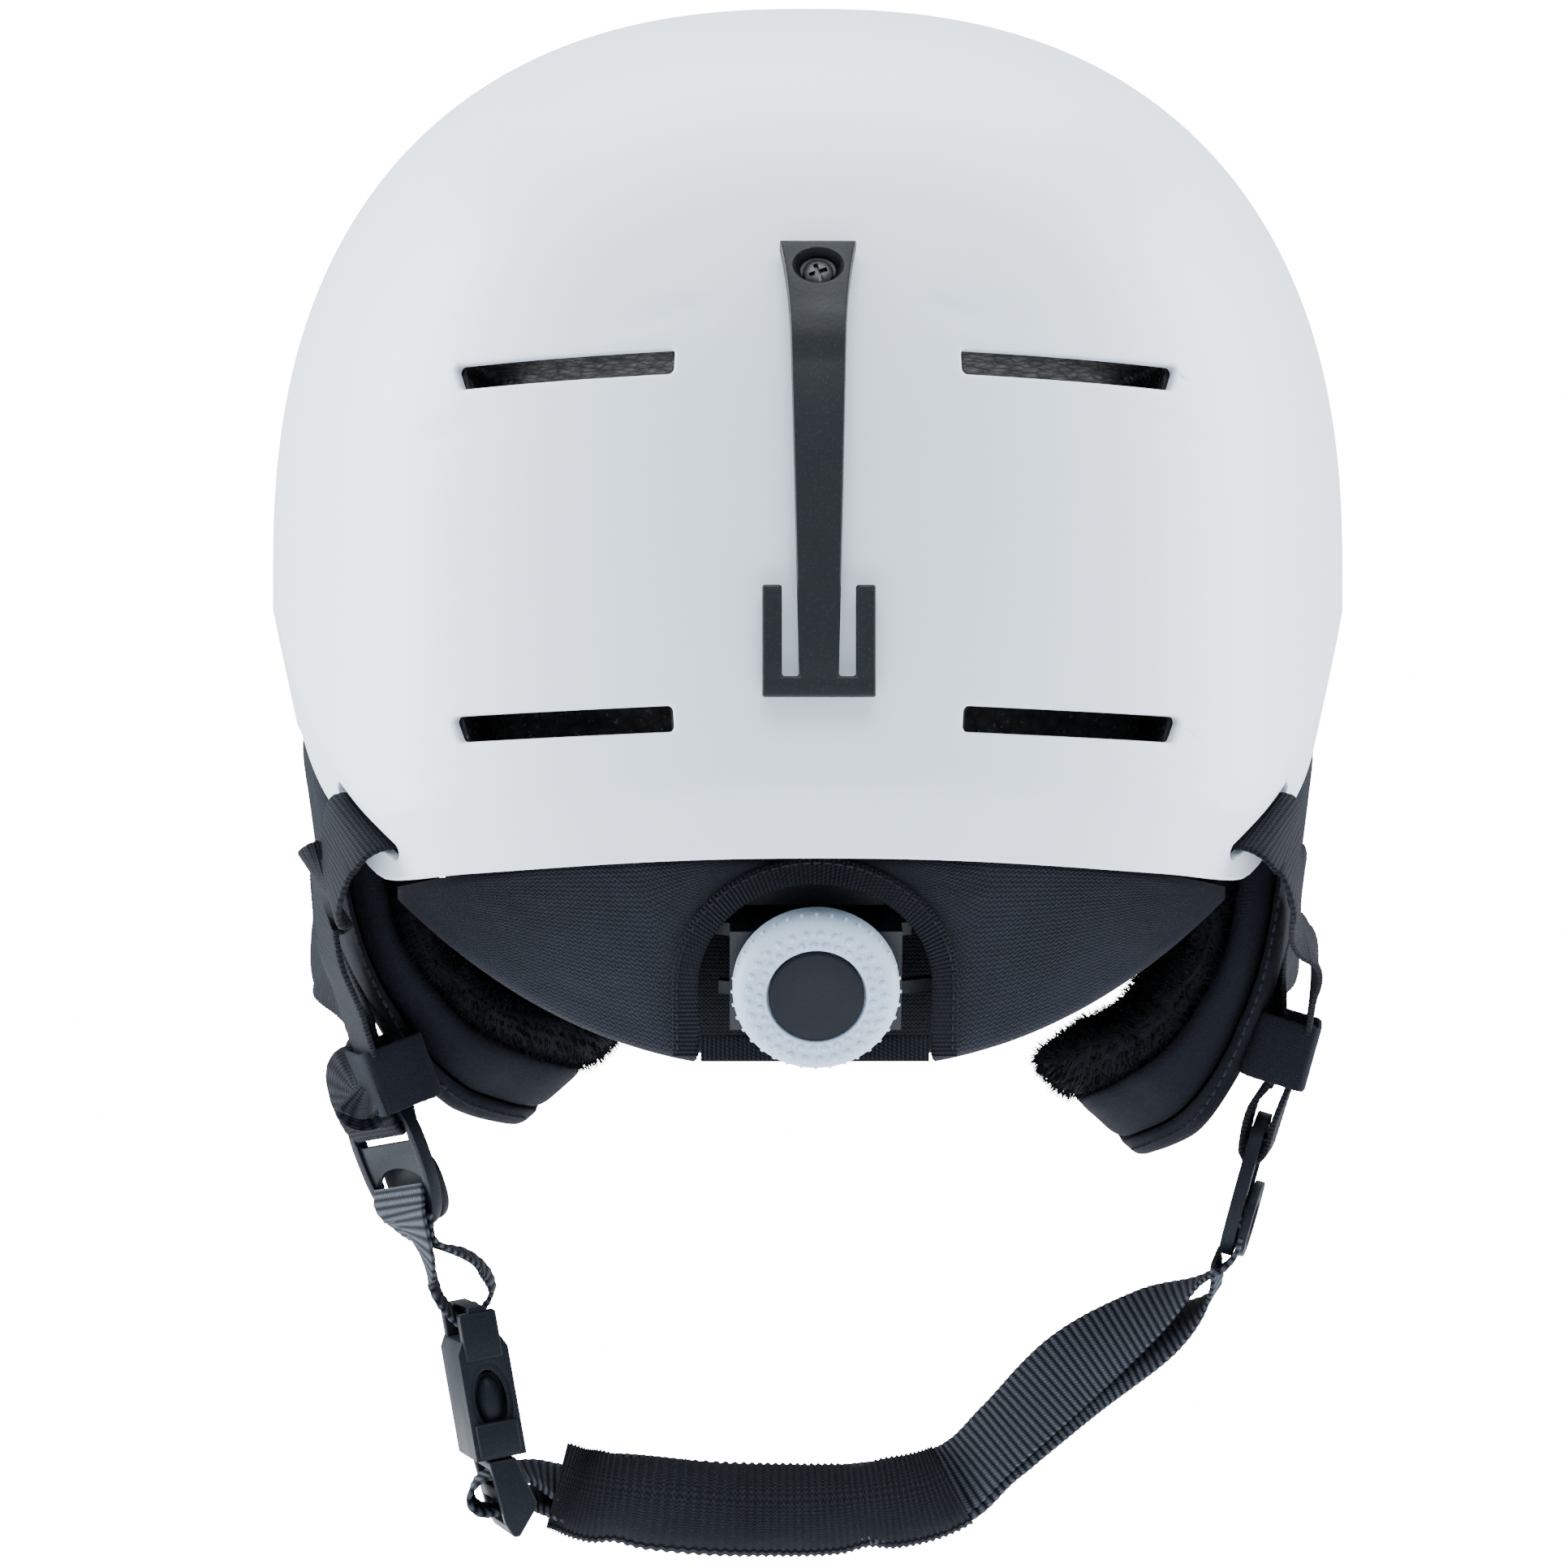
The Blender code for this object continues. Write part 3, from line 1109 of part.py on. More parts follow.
def build_chin():
    frame = buckle_frame()
    across = Vector((0, 1, 0))
    divider = hang_frame("left", DIVIDER_DROP)
    low_bar = divider @ Vector((0, -DIVIDER_SIZE[1] / 2 - 1.0, 0))
    out = divider.to_3x3() @ Vector((0, 0, 1))
    wide = towards(divider.to_3x3() @ Vector((1, 0, 0)), across)
    web, thin = LOOP_WEB
    bar = frame @ Vector((0, 0, -BUCKLE_BAR / 2))
    reach = BUCKLE_TAB_THICKNESS / 2 + GAP + WEB_THICKNESS / 2 + 0.2
    turn = frame.to_3x3()

    def by_bar(x, z):
        return bar + turn @ Vector((x, 0, z))

    down = HANG_DIRECTION["left"].normalized()
    path = [low_bar + out * 1.1, low_bar + down * 6 + out * 1.8,
            by_bar(-3.6, 8), by_bar(-reach, 0.8), by_bar(-reach * 0.75, -2.4),
            by_bar(0, -3.0), by_bar(reach * 0.75, -2.4), by_bar(reach, 0.8), by_bar(4.2, 8),
            low_bar + down * 6 - out * 1.8, low_bar - out * 1.1]
    sides = [wide, wide, across, across, across, across, across, across, across, wide, wide]
    ribbon("strap_lower_left", path, sides, webbing(), web, thin, count=34)

    bar = frame @ Vector((0, 0, plug_ends()[1] + BUCKLE_BAR / 2))
    reach = PLUG_HALF[2] + GAP + WEB_THICKNESS / 2 + 0.3
    path = [by_bar(-0.2, 3.4), by_bar(-reach, 3.2), by_bar(-reach - 0.9, 0),
            by_bar(-reach * 0.7, -2.7), by_bar(0, -3.2), by_bar(reach, -2.4),
            by_bar(reach + 1.6, 0.6)]
    ribbon("chin_strap_loop", path, [across] * 7, webbing(), web, thin, count=18)

    right = hang_frame("right", DIVIDER_DROP)
    wide = towards(right.to_3x3() @ Vector((1, 0, 0)), across)
    last = right @ Vector((0, -DIVIDER_SIZE[1] / 2 - 1.0, 0))
    path = [Vector(p) for p in CHIN_PATH] + [last]
    upright = Vector((0, 0.25, 1))
    sides = [upright] * 6 + [Vector((-0.4, 0.6, 0.65)), Vector((-0.2, 0.9, 0.4)), wide, wide]
    ribbon("strap_chin", path, sides, webbing(), web, 2 * thin, count=36)
    centres = spline(path, 121)
    low, high = (round(120 * s) for s in PAD_SPAN)
    sleeve = centres[low:high:8]
    ribbon("chin_pad", sleeve, [upright] * len(sleeve), fleece(), *PAD_SECTION, count=14,
           bore=PAD_BORE)


def clear_scene():
    for old in list(bpy.data.objects):
        bpy.data.objects.remove(old, do_unlink=True)


def main():
    clear_scene()
    build_shell()
    build_liner()
    build_comfort_pads()
    build_goggle_retainer()
    build_dial()
    build_bands()
    build_nape()
    build_ear_pads()
    build_straps()
    build_anchors()
    build_keepers()
    build_dividers()
    build_buckle()
    build_chin()


main()
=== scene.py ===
"""Looks of the ski helmet, laid out as a Blender add-on and run as a script.

Frame: origin midway between the wearer's ear canals, +Y to the front, +X to the wearer's right,
+Z up.  Sizes in the property groups are metres; the shape functions work in millimetres.
"""
import bisect
import math
import random

import bmesh
import bpy
from mathutils import Matrix, Vector, noise


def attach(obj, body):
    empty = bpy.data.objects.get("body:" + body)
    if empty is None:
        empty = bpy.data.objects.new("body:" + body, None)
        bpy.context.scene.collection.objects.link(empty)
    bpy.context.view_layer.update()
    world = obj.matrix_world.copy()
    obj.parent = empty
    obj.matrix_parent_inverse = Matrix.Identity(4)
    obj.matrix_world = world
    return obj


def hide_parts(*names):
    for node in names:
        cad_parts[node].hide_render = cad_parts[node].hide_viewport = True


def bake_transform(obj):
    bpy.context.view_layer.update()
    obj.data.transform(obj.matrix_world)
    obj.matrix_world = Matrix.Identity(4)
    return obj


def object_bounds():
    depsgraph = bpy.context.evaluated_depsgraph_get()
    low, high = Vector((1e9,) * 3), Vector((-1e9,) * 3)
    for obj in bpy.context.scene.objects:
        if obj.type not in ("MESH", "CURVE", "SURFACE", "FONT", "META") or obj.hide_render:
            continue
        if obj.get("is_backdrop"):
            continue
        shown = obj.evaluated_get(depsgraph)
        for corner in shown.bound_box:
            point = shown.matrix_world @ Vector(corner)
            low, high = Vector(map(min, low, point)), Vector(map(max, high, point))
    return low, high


bl_info = {
    "name": "Ski helmet",
    "version": (1, 0, 0),
    "blender": (4, 5, 0),
    "location": "3D View > Sidebar > Helmet",
    "description": "Builds a ski helmet with its pads, straps, buckle, dial and goggle retainer",
    "category": "Object",
}

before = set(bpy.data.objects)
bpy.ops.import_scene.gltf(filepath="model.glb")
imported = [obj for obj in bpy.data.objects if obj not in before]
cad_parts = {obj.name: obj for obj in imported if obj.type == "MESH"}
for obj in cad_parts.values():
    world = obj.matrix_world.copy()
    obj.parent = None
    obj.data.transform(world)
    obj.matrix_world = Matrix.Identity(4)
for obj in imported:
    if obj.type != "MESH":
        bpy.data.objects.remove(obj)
CAD_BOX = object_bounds()
MM = 0.001
GAP = 0.35                  # clearance between pieces that touch on the real helmet

# ---- shell and liner, as in the CAD model ----
CROWN_Z = 156.0
WAIST_Z = 42.0
HALF_WIDTH = 108.0
REAR_DEPTH = 128.0
FRONT_DEPTH = 134.0
DOME_POWER = 2.4
PLAN_POWER = 2.4
SHELL_WALL = 2.0
RIM_EDGE = 0.9              # height of the rounded edge at the rim
LINER_WALL = 20.0
LINER_LIFT = 1.5
PANEL_SINK = 1.6            # how deep the rear panel lies between its creases
SKIRT_TUCK = 0.20           # inward lean below the lower crease
UPPER_CREASE = ((0, 104), (45, 94), (90, 88), (135, 98), (180, 108))
LOWER_CREASE = ((0, -0.5), (40, -4), (48, -3), (62, 14), (78, 34), (100, 37), (140, 47), (180, 62))
RIM_LINE = ((0, -14), (34, -17), (47, -18.5), (60, -4), (76, 10), (95, 13), (125, 20), (155, 40),
            (180, 48))
VENT_X = 48.5
REAR_VENT_Z = (76.5, 10.8)
FRONT_VENT_Z = (112.0, 88.0)
VENT_POCKET = 11.0          # depth of the lower rear vents in the foam
VENT_ROUND = 1.7            # corner radius of a vent
VENT_SLANT = 2.6            # outer end of a vent: its top edge runs this much further
VENT_DROOP = 2.4            # degrees that a vent falls towards its outer end
STRAP_SLOT_TURN = 50.0
STRAP_SLOT_Z = -7.0
COMFORT_PAD = 6.0
COMFORT_GAP = 0.9

# ---- goggle retainer ----
CLIP_TOP_Z = 97.7
CLIP_BEND_Z = 86.0
CLIP_END_Z = 15.7
CLIP_THICKNESS = 3.0
CLIP_BAR_HEIGHT = 3.8
CLIP_BAR_HALF = 10.3        # half width over the prongs
CLIP_PRONG_WIDTH = 3.6
CLIP_PRONG_HEIGHT = 16.5
CLIP_TIP_HALF = 3.6         # half width of the arm at its lower end
CLIP_ARM_SPREAD = 1.6       # half width that the arm gains up to its bend
CLIP_HEAD_SPREAD = 1.9      # half width that the base gains above it
CLIP_HEAD_RISE = 0.9        # the base is this much thicker
CLIP_ARM_THIN = 0.5         # the arm between bar and bend is this much thinner
CLIP_STEP = 1.6             # reach of the step between arm and base
CUP_DEPTH = 2.5             # depth of the screw's seat below the base's face
CLIP_BASE_STAND = 0.7
CLIP_ARM_STAND = 1.8
SCREW_Z = 92.3

# ---- fit dial ----
DIAL_CENTRE = Vector((0, -99.4, -36))
DIAL_TILT = 22.0
KNOB_BACK = 2.2
KNOB_ROUND = 3.0            # radius of the knob's front edge
CAP_RECESS = 1.5            # depth of the cap's seat
RIB_COUNT = 36
BEAD_COUNT = 29
BEAD_RADIUS = 0.74
BEAD_RINGS = ((2.9, 0.0), (5.0, 0.5))       # distance inside the rim, and turn in steps

# ---- nape pad ----
NAPE_Y = -106.0
NAPE_SLOPE = 0.30
NAPE_ROUND = 165.0
NAPE_THICKNESS = 5.0
NAPE_HALF_WIDTH = 80.0
NAPE_TOP_Z = -13.4
NAPE_TOP_DROP = 6.5
NAPE_END_Z = -22.3
NAPE_LOW_Z = -54.0
NAPE_POWER = 2.34
ARCH_HALF_WIDTH = 22.0
ARCH_TOP_Z = -17.5
ARCH_RISE = 20.0
ARCH_POWER = 2.6
BINDING_WIDTH = 5.0
BINDING_THICKNESS = 1.5
BOTTOM_TAPE = (5.0, 1.1)    # width and thickness
LINING_HALF_WIDTH = 25.0
LINING_STAND = 17.0         # lining in front of the pad's rear face
LINING_THICKNESS = 3.0

# ---- ear pads ----
EAR_OUTER = ((102.5, 12), (98.5, -18), (94, -38), (86.5, -55), (76, -68), (64, -73))
EAR_INNER = ((85, 12), (82, -18), (77, -34), (68, -46), (56, -52), (46, -57))
EAR_TUCK = {"left": 6.5, "right": -3.0}
EAR_REAR_Y = -58.0
EAR_FRONT_Y = 40.0
EAR_REAR_TAPER = 28.0
EAR_FRONT_TAPER = 28.0
EAR_CLEAR = 1.6
EAR_LAYERS = (("cover", 0.0, 0.20, "smooth_knit", 0.9), ("rim", 0.225, 0.70, "smooth_knit", 1.2),
              ("fleece", 0.725, 1.16, "fleece", 0.8))   # layer, its span, look and swell
PILE_FIBRES = 15000
SEAM_LAYER = 0.10

# ---- webbing, dividers, buckle and chin ----
HANG_POINT = {"left": Vector((-91.5, -42, -48)), "right": Vector((93.5, -42, -52))}
HANG_DIRECTION = {"left": Vector((0.34, 0.08, -0.93)), "right": Vector((-0.26, 0.08, -0.96))}
DIVIDER_TURN = {"left": 36.0, "right": 10.0}
KEEPER_TURN = {"left": 14.0, "right": 7.0}
KEEPER_SHIFT = {"left": Vector((9.5, -6, -8.5)), "right": Vector((0, 0, 0))}
KEEPER_REACH = 10.5         # how far a keeper reaches towards the ear pad
KEEPER_HEIGHT = 13.0
KEEPER_THICKNESS = 0.8
WEB_THICKNESS = 1.3
LOOP_THICKNESS = 1.1
CHIN_THICKNESS = 1.15
LOWER_WEB_LESS = 0.6        # the webbing below the dividers is this much narrower
FRONT_INSET = {"left": 4.2, "right": 2.0}
DIVIDER_SIZE = (24.0, 29.0)
DIVIDER_THICKNESS = 2.6
DIVIDER_SLOT = (3.4, 8.6)
DIVIDER_WINDOW = (-12.0, -1.6)
DIVIDER_DISH = 0.6          # depth of the hollow on both faces
SLOT_HALF_WIDTH = 9.6
NOTCH_X = 7.4
DIVIDER_DROP = 28.0
LEVER_SIZE = (19.0, 15.0)
LEVER_THICKNESS = 1.8
LEVER_TOP = 1.0
LEVER_FACE = {"left": -1, "right": 1}
REAR_LAY = 3.7
FRONT_LAY = -0.6
REAR_RUN = {"left": ((93.5, -70, -22), (92.5, -65, -33), (89.5, -58, -43)),
            "right": ((94.0, -65.5, -26.5), (98.0, -55, -35))}
FRONT_RUN = ((97.5, 57, 1), (104.2, 38, -10), (103.0, 16, -23), (101.2, -6, -33),
             (97.5, -26, -39))
BUCKLE_TOP = Vector((-68.0, -34.5, -103.0))
BUCKLE_LEAN = 10.0
BUCKLE_WIDTH = 25.0
BUCKLE_THICKNESS = 10.0
BUCKLE_LENGTH = 30.0
BUCKLE_CHEEK = 2.5
BUCKLE_TAB = 6.6
BUCKLE_TAB_HALF = 1.6       # half thickness of the tab at the top
BUCKLE_WALL = 1.5
SIDE_WINDOW_Z = -18.6
SIDE_WINDOW_STEPS = ((3.1, 6.0, 5.0), (4.0, 7.6, 1.1))  # half width, half length, depth
COLLARS = ((3.7, -10.5, -1.0), (4.2, -29.7, -22.8))     # half thickness, lower and upper end
BUTTON_Z = -19.0
BUTTON_SIZE = (2.55, 2.3, 5.3)
SPINE_TOP_Z = -13.5
ARM_TOP_Z = -13.0
BUCKLE_BAR = 2.6
PLUG_GAP = 0.4
PLUG_SIDE = ((-2.7, 0), (2.7, 0), (5.4, -9.6), (4.9, -10.8), (0.8, -15.6), (-0.4, -15.4),
             (-1.6, -12.5))     # outline of the plug from its top edge, seen from its side
PLUG_SLOTS = ((-2.0, -5.4), (-8.6, -13.0))      # heights of its two slots
BUCKLE_YAW = 11.0           # degrees that the buckle turns its outer face to the rear
CHIN_PATH = ((-50, -34, -138), (-40, -34, -140.5), (-12, -34, -143), (10, -34, -142.5),
             (27, -34, -139), (38, -34.5, -129.5), (52, -35, -116), (67, -36, -105),
             (77.5, -37, -98.5))
CHIN_LOOP = ((21, -12.8), (14, -9.6), (7.5, -5.4), (1.5, -3.7), (-3.4, -4.4), (-5.9, -7.2),
             (-4.4, -9.9), (0, -10.8), (7, -10.2))      # round the plug's bar, in its x and z
SLEEVE_SPAN = (-51, 28.5)   # from its left to its right end, as x
SLEEVE_LOW_Z = -136
SLEEVE_DROP = 1.0           # the sleeve's middle lies this much below the path
SLEEVE_HALF_WIDTH = 4.3
SLEEVE_HALF_HEIGHT = 8.9
SLEEVE_WALL = 1.5
SLEEVE_LEAN = Vector((0, 0.75, 1))          # direction of its height, leaning to the front
SLEEVE_PINCHES = ((0.11, 0.27, 0.035), (0.12, 0.74, 0.04))      # depth, place and length
SIDES = (("left", -1), ("right", 1))

# ---- stage ----
COOL_WHITE = (0.93, 0.97, 1.0)
LIGHTS = (("key_light", (0.0, -1.5, 1.7), (0, 0, 0.02), (1.8, 1.0), 48),
          ("top_light", (0.0, 0.3, 1.6), (0, 0, 0.05), (1.6, 1.0), 52),
          ("left_rim", (-1.3, 0.1, 0.35), (0, 0, 0.03), (0.7, 1.5), 64),
          ("right_rim", (1.3, 0.1, 0.35), (0, 0, 0.03), (0.7, 1.5), 50))
AMBIENT_STRENGTH = 0.66
BACKDROP_STRENGTH = 16.0
FLOOR_SIZE = 1.7
FLOOR_Z = -0.30
CAMERA_ANGLE = 16.62
CAMERA_AIM = Vector((-0.0045, 0.0, 0.0))
CAMERA_PLACE = (-0.0045 - 0.0154, -1.1, 0.0)


# ---------------------------------------------------------------- sizes and colours

def length(label, description, value):
    return bpy.props.FloatProperty(name=label, description=description, default=value * MM,
                                   unit="LENGTH", min=0.0)


def colour(label, description, value):
    return bpy.props.FloatVectorProperty(name=label, description=description, default=value,
                                         subtype="COLOR", size=3, min=0.0, max=1.0)


class HelmetSizes(bpy.types.PropertyGroup):
    """Sizes of the fine detail, over the fixed frame of the model."""
    vent_length: length("Vent length", "Length of each vent in the shell", 46.0)
    vent_height: length("Vent height", "Height of each vent in the shell", 4.8)
    lip: length("Vent lip", "Width of the rounded lip round each vent", 0.6)
    slot_length: length("Strap slot length", "Length of each strap slot", 23.0)
    slot_height: length("Strap slot height", "Height of each strap slot", 3.2)
    knob: length("Knob diameter", "Diameter of the fit dial's rubber knob", 31.0)
    knob_depth: length("Knob thickness", "Thickness of the fit dial's knob", 7.0)
    cap: length("Cap diameter", "Diameter of the black cap in the knob", 17.8)
    webbing: length("Webbing width", "Width of the straps", 18.0)
    rib: length("Webbing rib", "Distance from rib to rib along the webbing", 1.5)
    pile: length("Fleece pile", "Length of the plush fleece's fibres", 2.6)
    cord_rib: length("Sleeve rib", "Distance between the ribs of the chin sleeve", 2.0)


class HelmetColours(bpy.types.PropertyGroup):
    """Colours of the finishes, as linear values."""
    shell: colour("Shell", "Satin white shell", (0.70, 0.79, 0.88))
    moulded: colour("Moulded plastic", "Gunmetal-black retainer and cap", (0.0045, 0.0065, 0.010))
    buckle: colour("Buckle plastic", "Buckle and strap dividers", (0.0065, 0.009, 0.0135))
    knob: colour("Knob rubber", "Pale rubber of the fit dial", (0.50, 0.64, 0.80))
    knit: colour("Pad knit", "Knit cover of the pads", (0.0040, 0.0052, 0.0100))
    fleece: colour("Fleece", "Plush inside the ear pads", (0.0012, 0.0016, 0.0026))
    sleeve: colour("Chin sleeve", "Ribbed cloth of the chin sleeve", (0.0022, 0.0030, 0.0054))
    webbing: colour("Webbing", "Straps and binding", (0.0075, 0.011, 0.018))
    foam: colour("Foam", "Moulded foam liner", (0.006, 0.006, 0.007))


def sizes():
    return bpy.context.scene.helmet_sizes


def colours():
    return bpy.context.scene.helmet_colours


def mm(value):
    """A size from the property groups, in millimetres."""
    return value / MM


# ---------------------------------------------------------------- node groups and materials

def link(tree, a, b):
    tree.links.new(a, b)


def new_group(name, inputs, outputs):
    """An empty node group with named float or colour sockets."""
    group = bpy.data.node_groups.new(name, "ShaderNodeTree")
    for label, kind, value in inputs:
        made = group.interface.new_socket(label, in_out="INPUT", socket_type=kind)
        if value is not None:
            made.default_value = value
    for label, kind in outputs:
        group.interface.new_socket(label, in_out="OUTPUT", socket_type=kind)
    start = group.nodes.new("NodeGroupInput")
    end = group.nodes.new("NodeGroupOutput")
    return group, start, end


def maths(tree, operation, a, b=None, c=None):
    node = tree.nodes.new("ShaderNodeMath")
    node.operation = operation
    for k, value in enumerate((a, b, c)):
        if value is None:
            continue
        if isinstance(value, (int, float)):
            node.inputs[k].default_value = value
        else:
            link(tree, value, node.inputs[k])
    return node.outputs[0]


def noise_field(tree, vector, scale, detail=3.0, rough=0.5):
    node = tree.nodes.new("ShaderNodeTexNoise")
    link(tree, vector, node.inputs["Vector"])
    if isinstance(scale, (int, float)):
        node.inputs["Scale"].default_value = scale
    else:
        link(tree, scale, node.inputs["Scale"])
    node.inputs["Detail"].default_value = detail
    node.inputs["Roughness"].default_value = rough
    return node.outputs["Fac"]


def cells(tree, vector, scale, feature="F1"):
    node = tree.nodes.new("ShaderNodeTexVoronoi")
    node.feature = feature
    link(tree, vector, node.inputs["Vector"])
    if isinstance(scale, (int, float)):
        node.inputs["Scale"].default_value = scale
    else:
        link(tree, scale, node.inputs["Scale"])
    return node.outputs["Distance"]


def mix_colour(tree, factor, a, b, blend="MIX"):
    node = tree.nodes.new("ShaderNodeMix")
    node.data_type = "RGBA"
    node.blend_type = blend
    for socket, value in ((node.inputs[0], factor), (node.inputs[6], a), (node.inputs[7], b)):
        if isinstance(value, (int, float)):
            socket.default_value = value
        elif isinstance(value, tuple):
            socket.default_value = (*value, 1) if len(value) == 3 else value
        else:
            link(tree, value, socket)
    return node.outputs[2]


def grain_group():
    """Fine moulded grain with bright specks."""
    group, start, end = new_group(
        "moulded_grain",
        (("Vector", "NodeSocketVector", None), ("Colour", "NodeSocketColor", None),
         ("Fleck", "NodeSocketColor", None), ("Scale", "NodeSocketFloat", 1400.0),
         ("Amount", "NodeSocketFloat", 0.35)),
        (("Colour", "NodeSocketColor"), ("Roughness", "NodeSocketFloat"),
         ("Height", "NodeSocketFloat")))
    t = group
    fine = cells(t, start.outputs["Vector"], start.outputs["Scale"])
    flecks = maths(t, "MULTIPLY", maths(t, "GREATER_THAN", maths(
        t, "SUBTRACT", 1.0, fine), 0.74), start.outputs["Amount"])
    broad = noise_field(t, start.outputs["Vector"], 90.0, 4.0)
    tone = mix_colour(t, maths(t, "MULTIPLY", broad, 0.35), start.outputs["Colour"],
                      (0.0, 0.0, 0.0))
    link(t, mix_colour(t, flecks, tone, start.outputs["Fleck"]), end.inputs["Colour"])
    link(t, maths(t, "MULTIPLY_ADD", broad, 0.22, 0.36), end.inputs["Roughness"])
    link(t, maths(t, "MULTIPLY_ADD", fine, -0.6, maths(t, "MULTIPLY", broad, 0.3)),
         end.inputs["Height"])
    return group


def knit_group():
    """Small interlocking stitches in rows, with brushed fibres over them."""
    group, start, end = new_group(
        "knit_stitch",
        (("Vector", "NodeSocketVector", None), ("Colour", "NodeSocketColor", None),
         ("Lift", "NodeSocketColor", None), ("Pitch", "NodeSocketFloat", 0.0009),
         ("Fuzz", "NodeSocketFloat", 0.5)),
        (("Colour", "NodeSocketColor"), ("Roughness", "NodeSocketFloat"),
         ("Height", "NodeSocketFloat")))
    t = group
    split = t.nodes.new("ShaderNodeSeparateXYZ")
    link(t, start.outputs["Vector"], split.inputs[0])
    turn = maths(t, "DIVIDE", 2 * math.pi, start.outputs["Pitch"])
    across = maths(t, "SINE", maths(t, "MULTIPLY", split.outputs[0], turn))
    half = maths(t, "MULTIPLY", across, 0.9)
    up = maths(t, "SINE", maths(t, "ADD", maths(t, "MULTIPLY", split.outputs[1], turn), half))
    stitch = maths(t, "MULTIPLY_ADD", maths(t, "MULTIPLY", across, up), 0.5, 0.5)
    fuzz = noise_field(t, start.outputs["Vector"], 2600.0, 2.0, 0.6)
    cloud = noise_field(t, start.outputs["Vector"], 60.0, 4.0)
    height = maths(t, "ADD", stitch, maths(t, "MULTIPLY", fuzz, start.outputs["Fuzz"]))
    # Painted highlight: the colour goes paler where the stitches and fibres stand highest and
    # darker between them as painted shade; the cloud adds a random paler tone.
    tone = maths(t, "MULTIPLY", maths(t, "MULTIPLY", stitch, fuzz), 1.6)
    tone = maths(t, "ADD", maths(t, "MULTIPLY", tone, 0.8), maths(t, "MULTIPLY", cloud, 0.35))
    link(t, mix_colour(t, tone, start.outputs["Colour"], start.outputs["Lift"]),
         end.inputs["Colour"])
    link(t, maths(t, "MULTIPLY_ADD", fuzz, 0.2, 0.75), end.inputs["Roughness"])
    link(t, height, end.inputs["Height"])
    return group


def weave_group():
    """Plain weave of ribbed webbing: yarns across the ribs and dark lines between them."""
    group, start, end = new_group(
        "web_weave",
        (("Vector", "NodeSocketVector", None), ("Colour", "NodeSocketColor", None),
         ("Lift", "NodeSocketColor", None), ("Rib", "NodeSocketFloat", 0.0015)),
        (("Colour", "NodeSocketColor"), ("Height", "NodeSocketFloat")))
    t = group
    split = t.nodes.new("ShaderNodeSeparateXYZ")
    link(t, start.outputs["Vector"], split.inputs[0])
    turn = maths(t, "DIVIDE", 2 * math.pi, start.outputs["Rib"])
    ribs = maths(t, "MULTIPLY_ADD", maths(t, "COSINE", maths(
        t, "MULTIPLY", split.outputs[0], turn)), 0.5, 0.5)
    slant = maths(t, "ADD", split.outputs[1], maths(t, "MULTIPLY", split.outputs[0], 0.45))
    yarn = maths(t, "MULTIPLY_ADD", maths(t, "SINE", maths(
        t, "MULTIPLY", slant, 2 * math.pi / 0.0007)), 0.5, 0.5)
    fibre = noise_field(t, start.outputs["Vector"], 1800.0, 2.0)
    # Painted light: the colour goes pale where the ribs and yarns stand highest and dark in the
    # grooves, following the same ribs and yarns as the height; the fibre noise adds a random tone.
    tone = maths(t, "MULTIPLY", maths(t, "MULTIPLY_ADD", yarn, 0.45, 0.55),
                 maths(t, "MULTIPLY", ribs, maths(t, "ADD", fibre, 0.35)))
    link(t, mix_colour(t, tone, start.outputs["Colour"], start.outputs["Lift"]),
         end.inputs["Colour"])
    link(t, maths(t, "ADD", maths(t, "MULTIPLY", ribs, 0.5), maths(t, "MULTIPLY", yarn, 0.5)),
         end.inputs["Height"])
    return group


GROUPS = {}


def group_named(name, maker):
    if name not in GROUPS:
        GROUPS[name] = maker()
    return GROUPS[name]


def start_material(name, rough, metal=0.0):
    made = bpy.data.materials.new(name)
    made.use_nodes = True
    tree = made.node_tree
    shader = tree.nodes["Principled BSDF"]
    shader.inputs["Roughness"].default_value = rough
    shader.inputs["Metallic"].default_value = metal
    coords = tree.nodes.new("ShaderNodeTexCoord")
    return made, tree, shader, coords


def bump(tree, shader, height, strength, distance):
    node = tree.nodes.new("ShaderNodeBump")
    node.inputs["Strength"].default_value = strength
    node.inputs["Distance"].default_value = distance
    link(tree, height, node.inputs["Height"])
    link(tree, node.outputs["Normal"], shader.inputs["Normal"])


def paler(value, share, target=(0.6, 0.66, 0.8)):
    """A colour moved a share of the way to a pale one."""
    return tuple(v + (t - v) * share for v, t in zip(value, target))


def shell_finish():
    made, tree, shader, coords = start_material("shell_satin", 0.42)
    where = coords.outputs["Object"]
    peel = noise_field(tree, where, 900.0, 2.0)
    broad = noise_field(tree, where, 14.0, 3.0)
    base = tuple(colours().shell)
    tone = mix_colour(tree, maths(tree, "MULTIPLY", broad, 0.5), base,
                      paler(base, 0.22, (0.66, 0.7, 0.74)))
    link(tree, tone, shader.inputs["Base Color"])
    link(tree, maths(tree, "MULTIPLY_ADD", peel, 0.12, 0.36), shader.inputs["Roughness"])
    shader.inputs["Coat Roughness"].default_value = 0.3
    shader.inputs["Coat Weight"].default_value = 0.12
    bump(tree, shader, peel, 0.10, 0.0001)
    return made


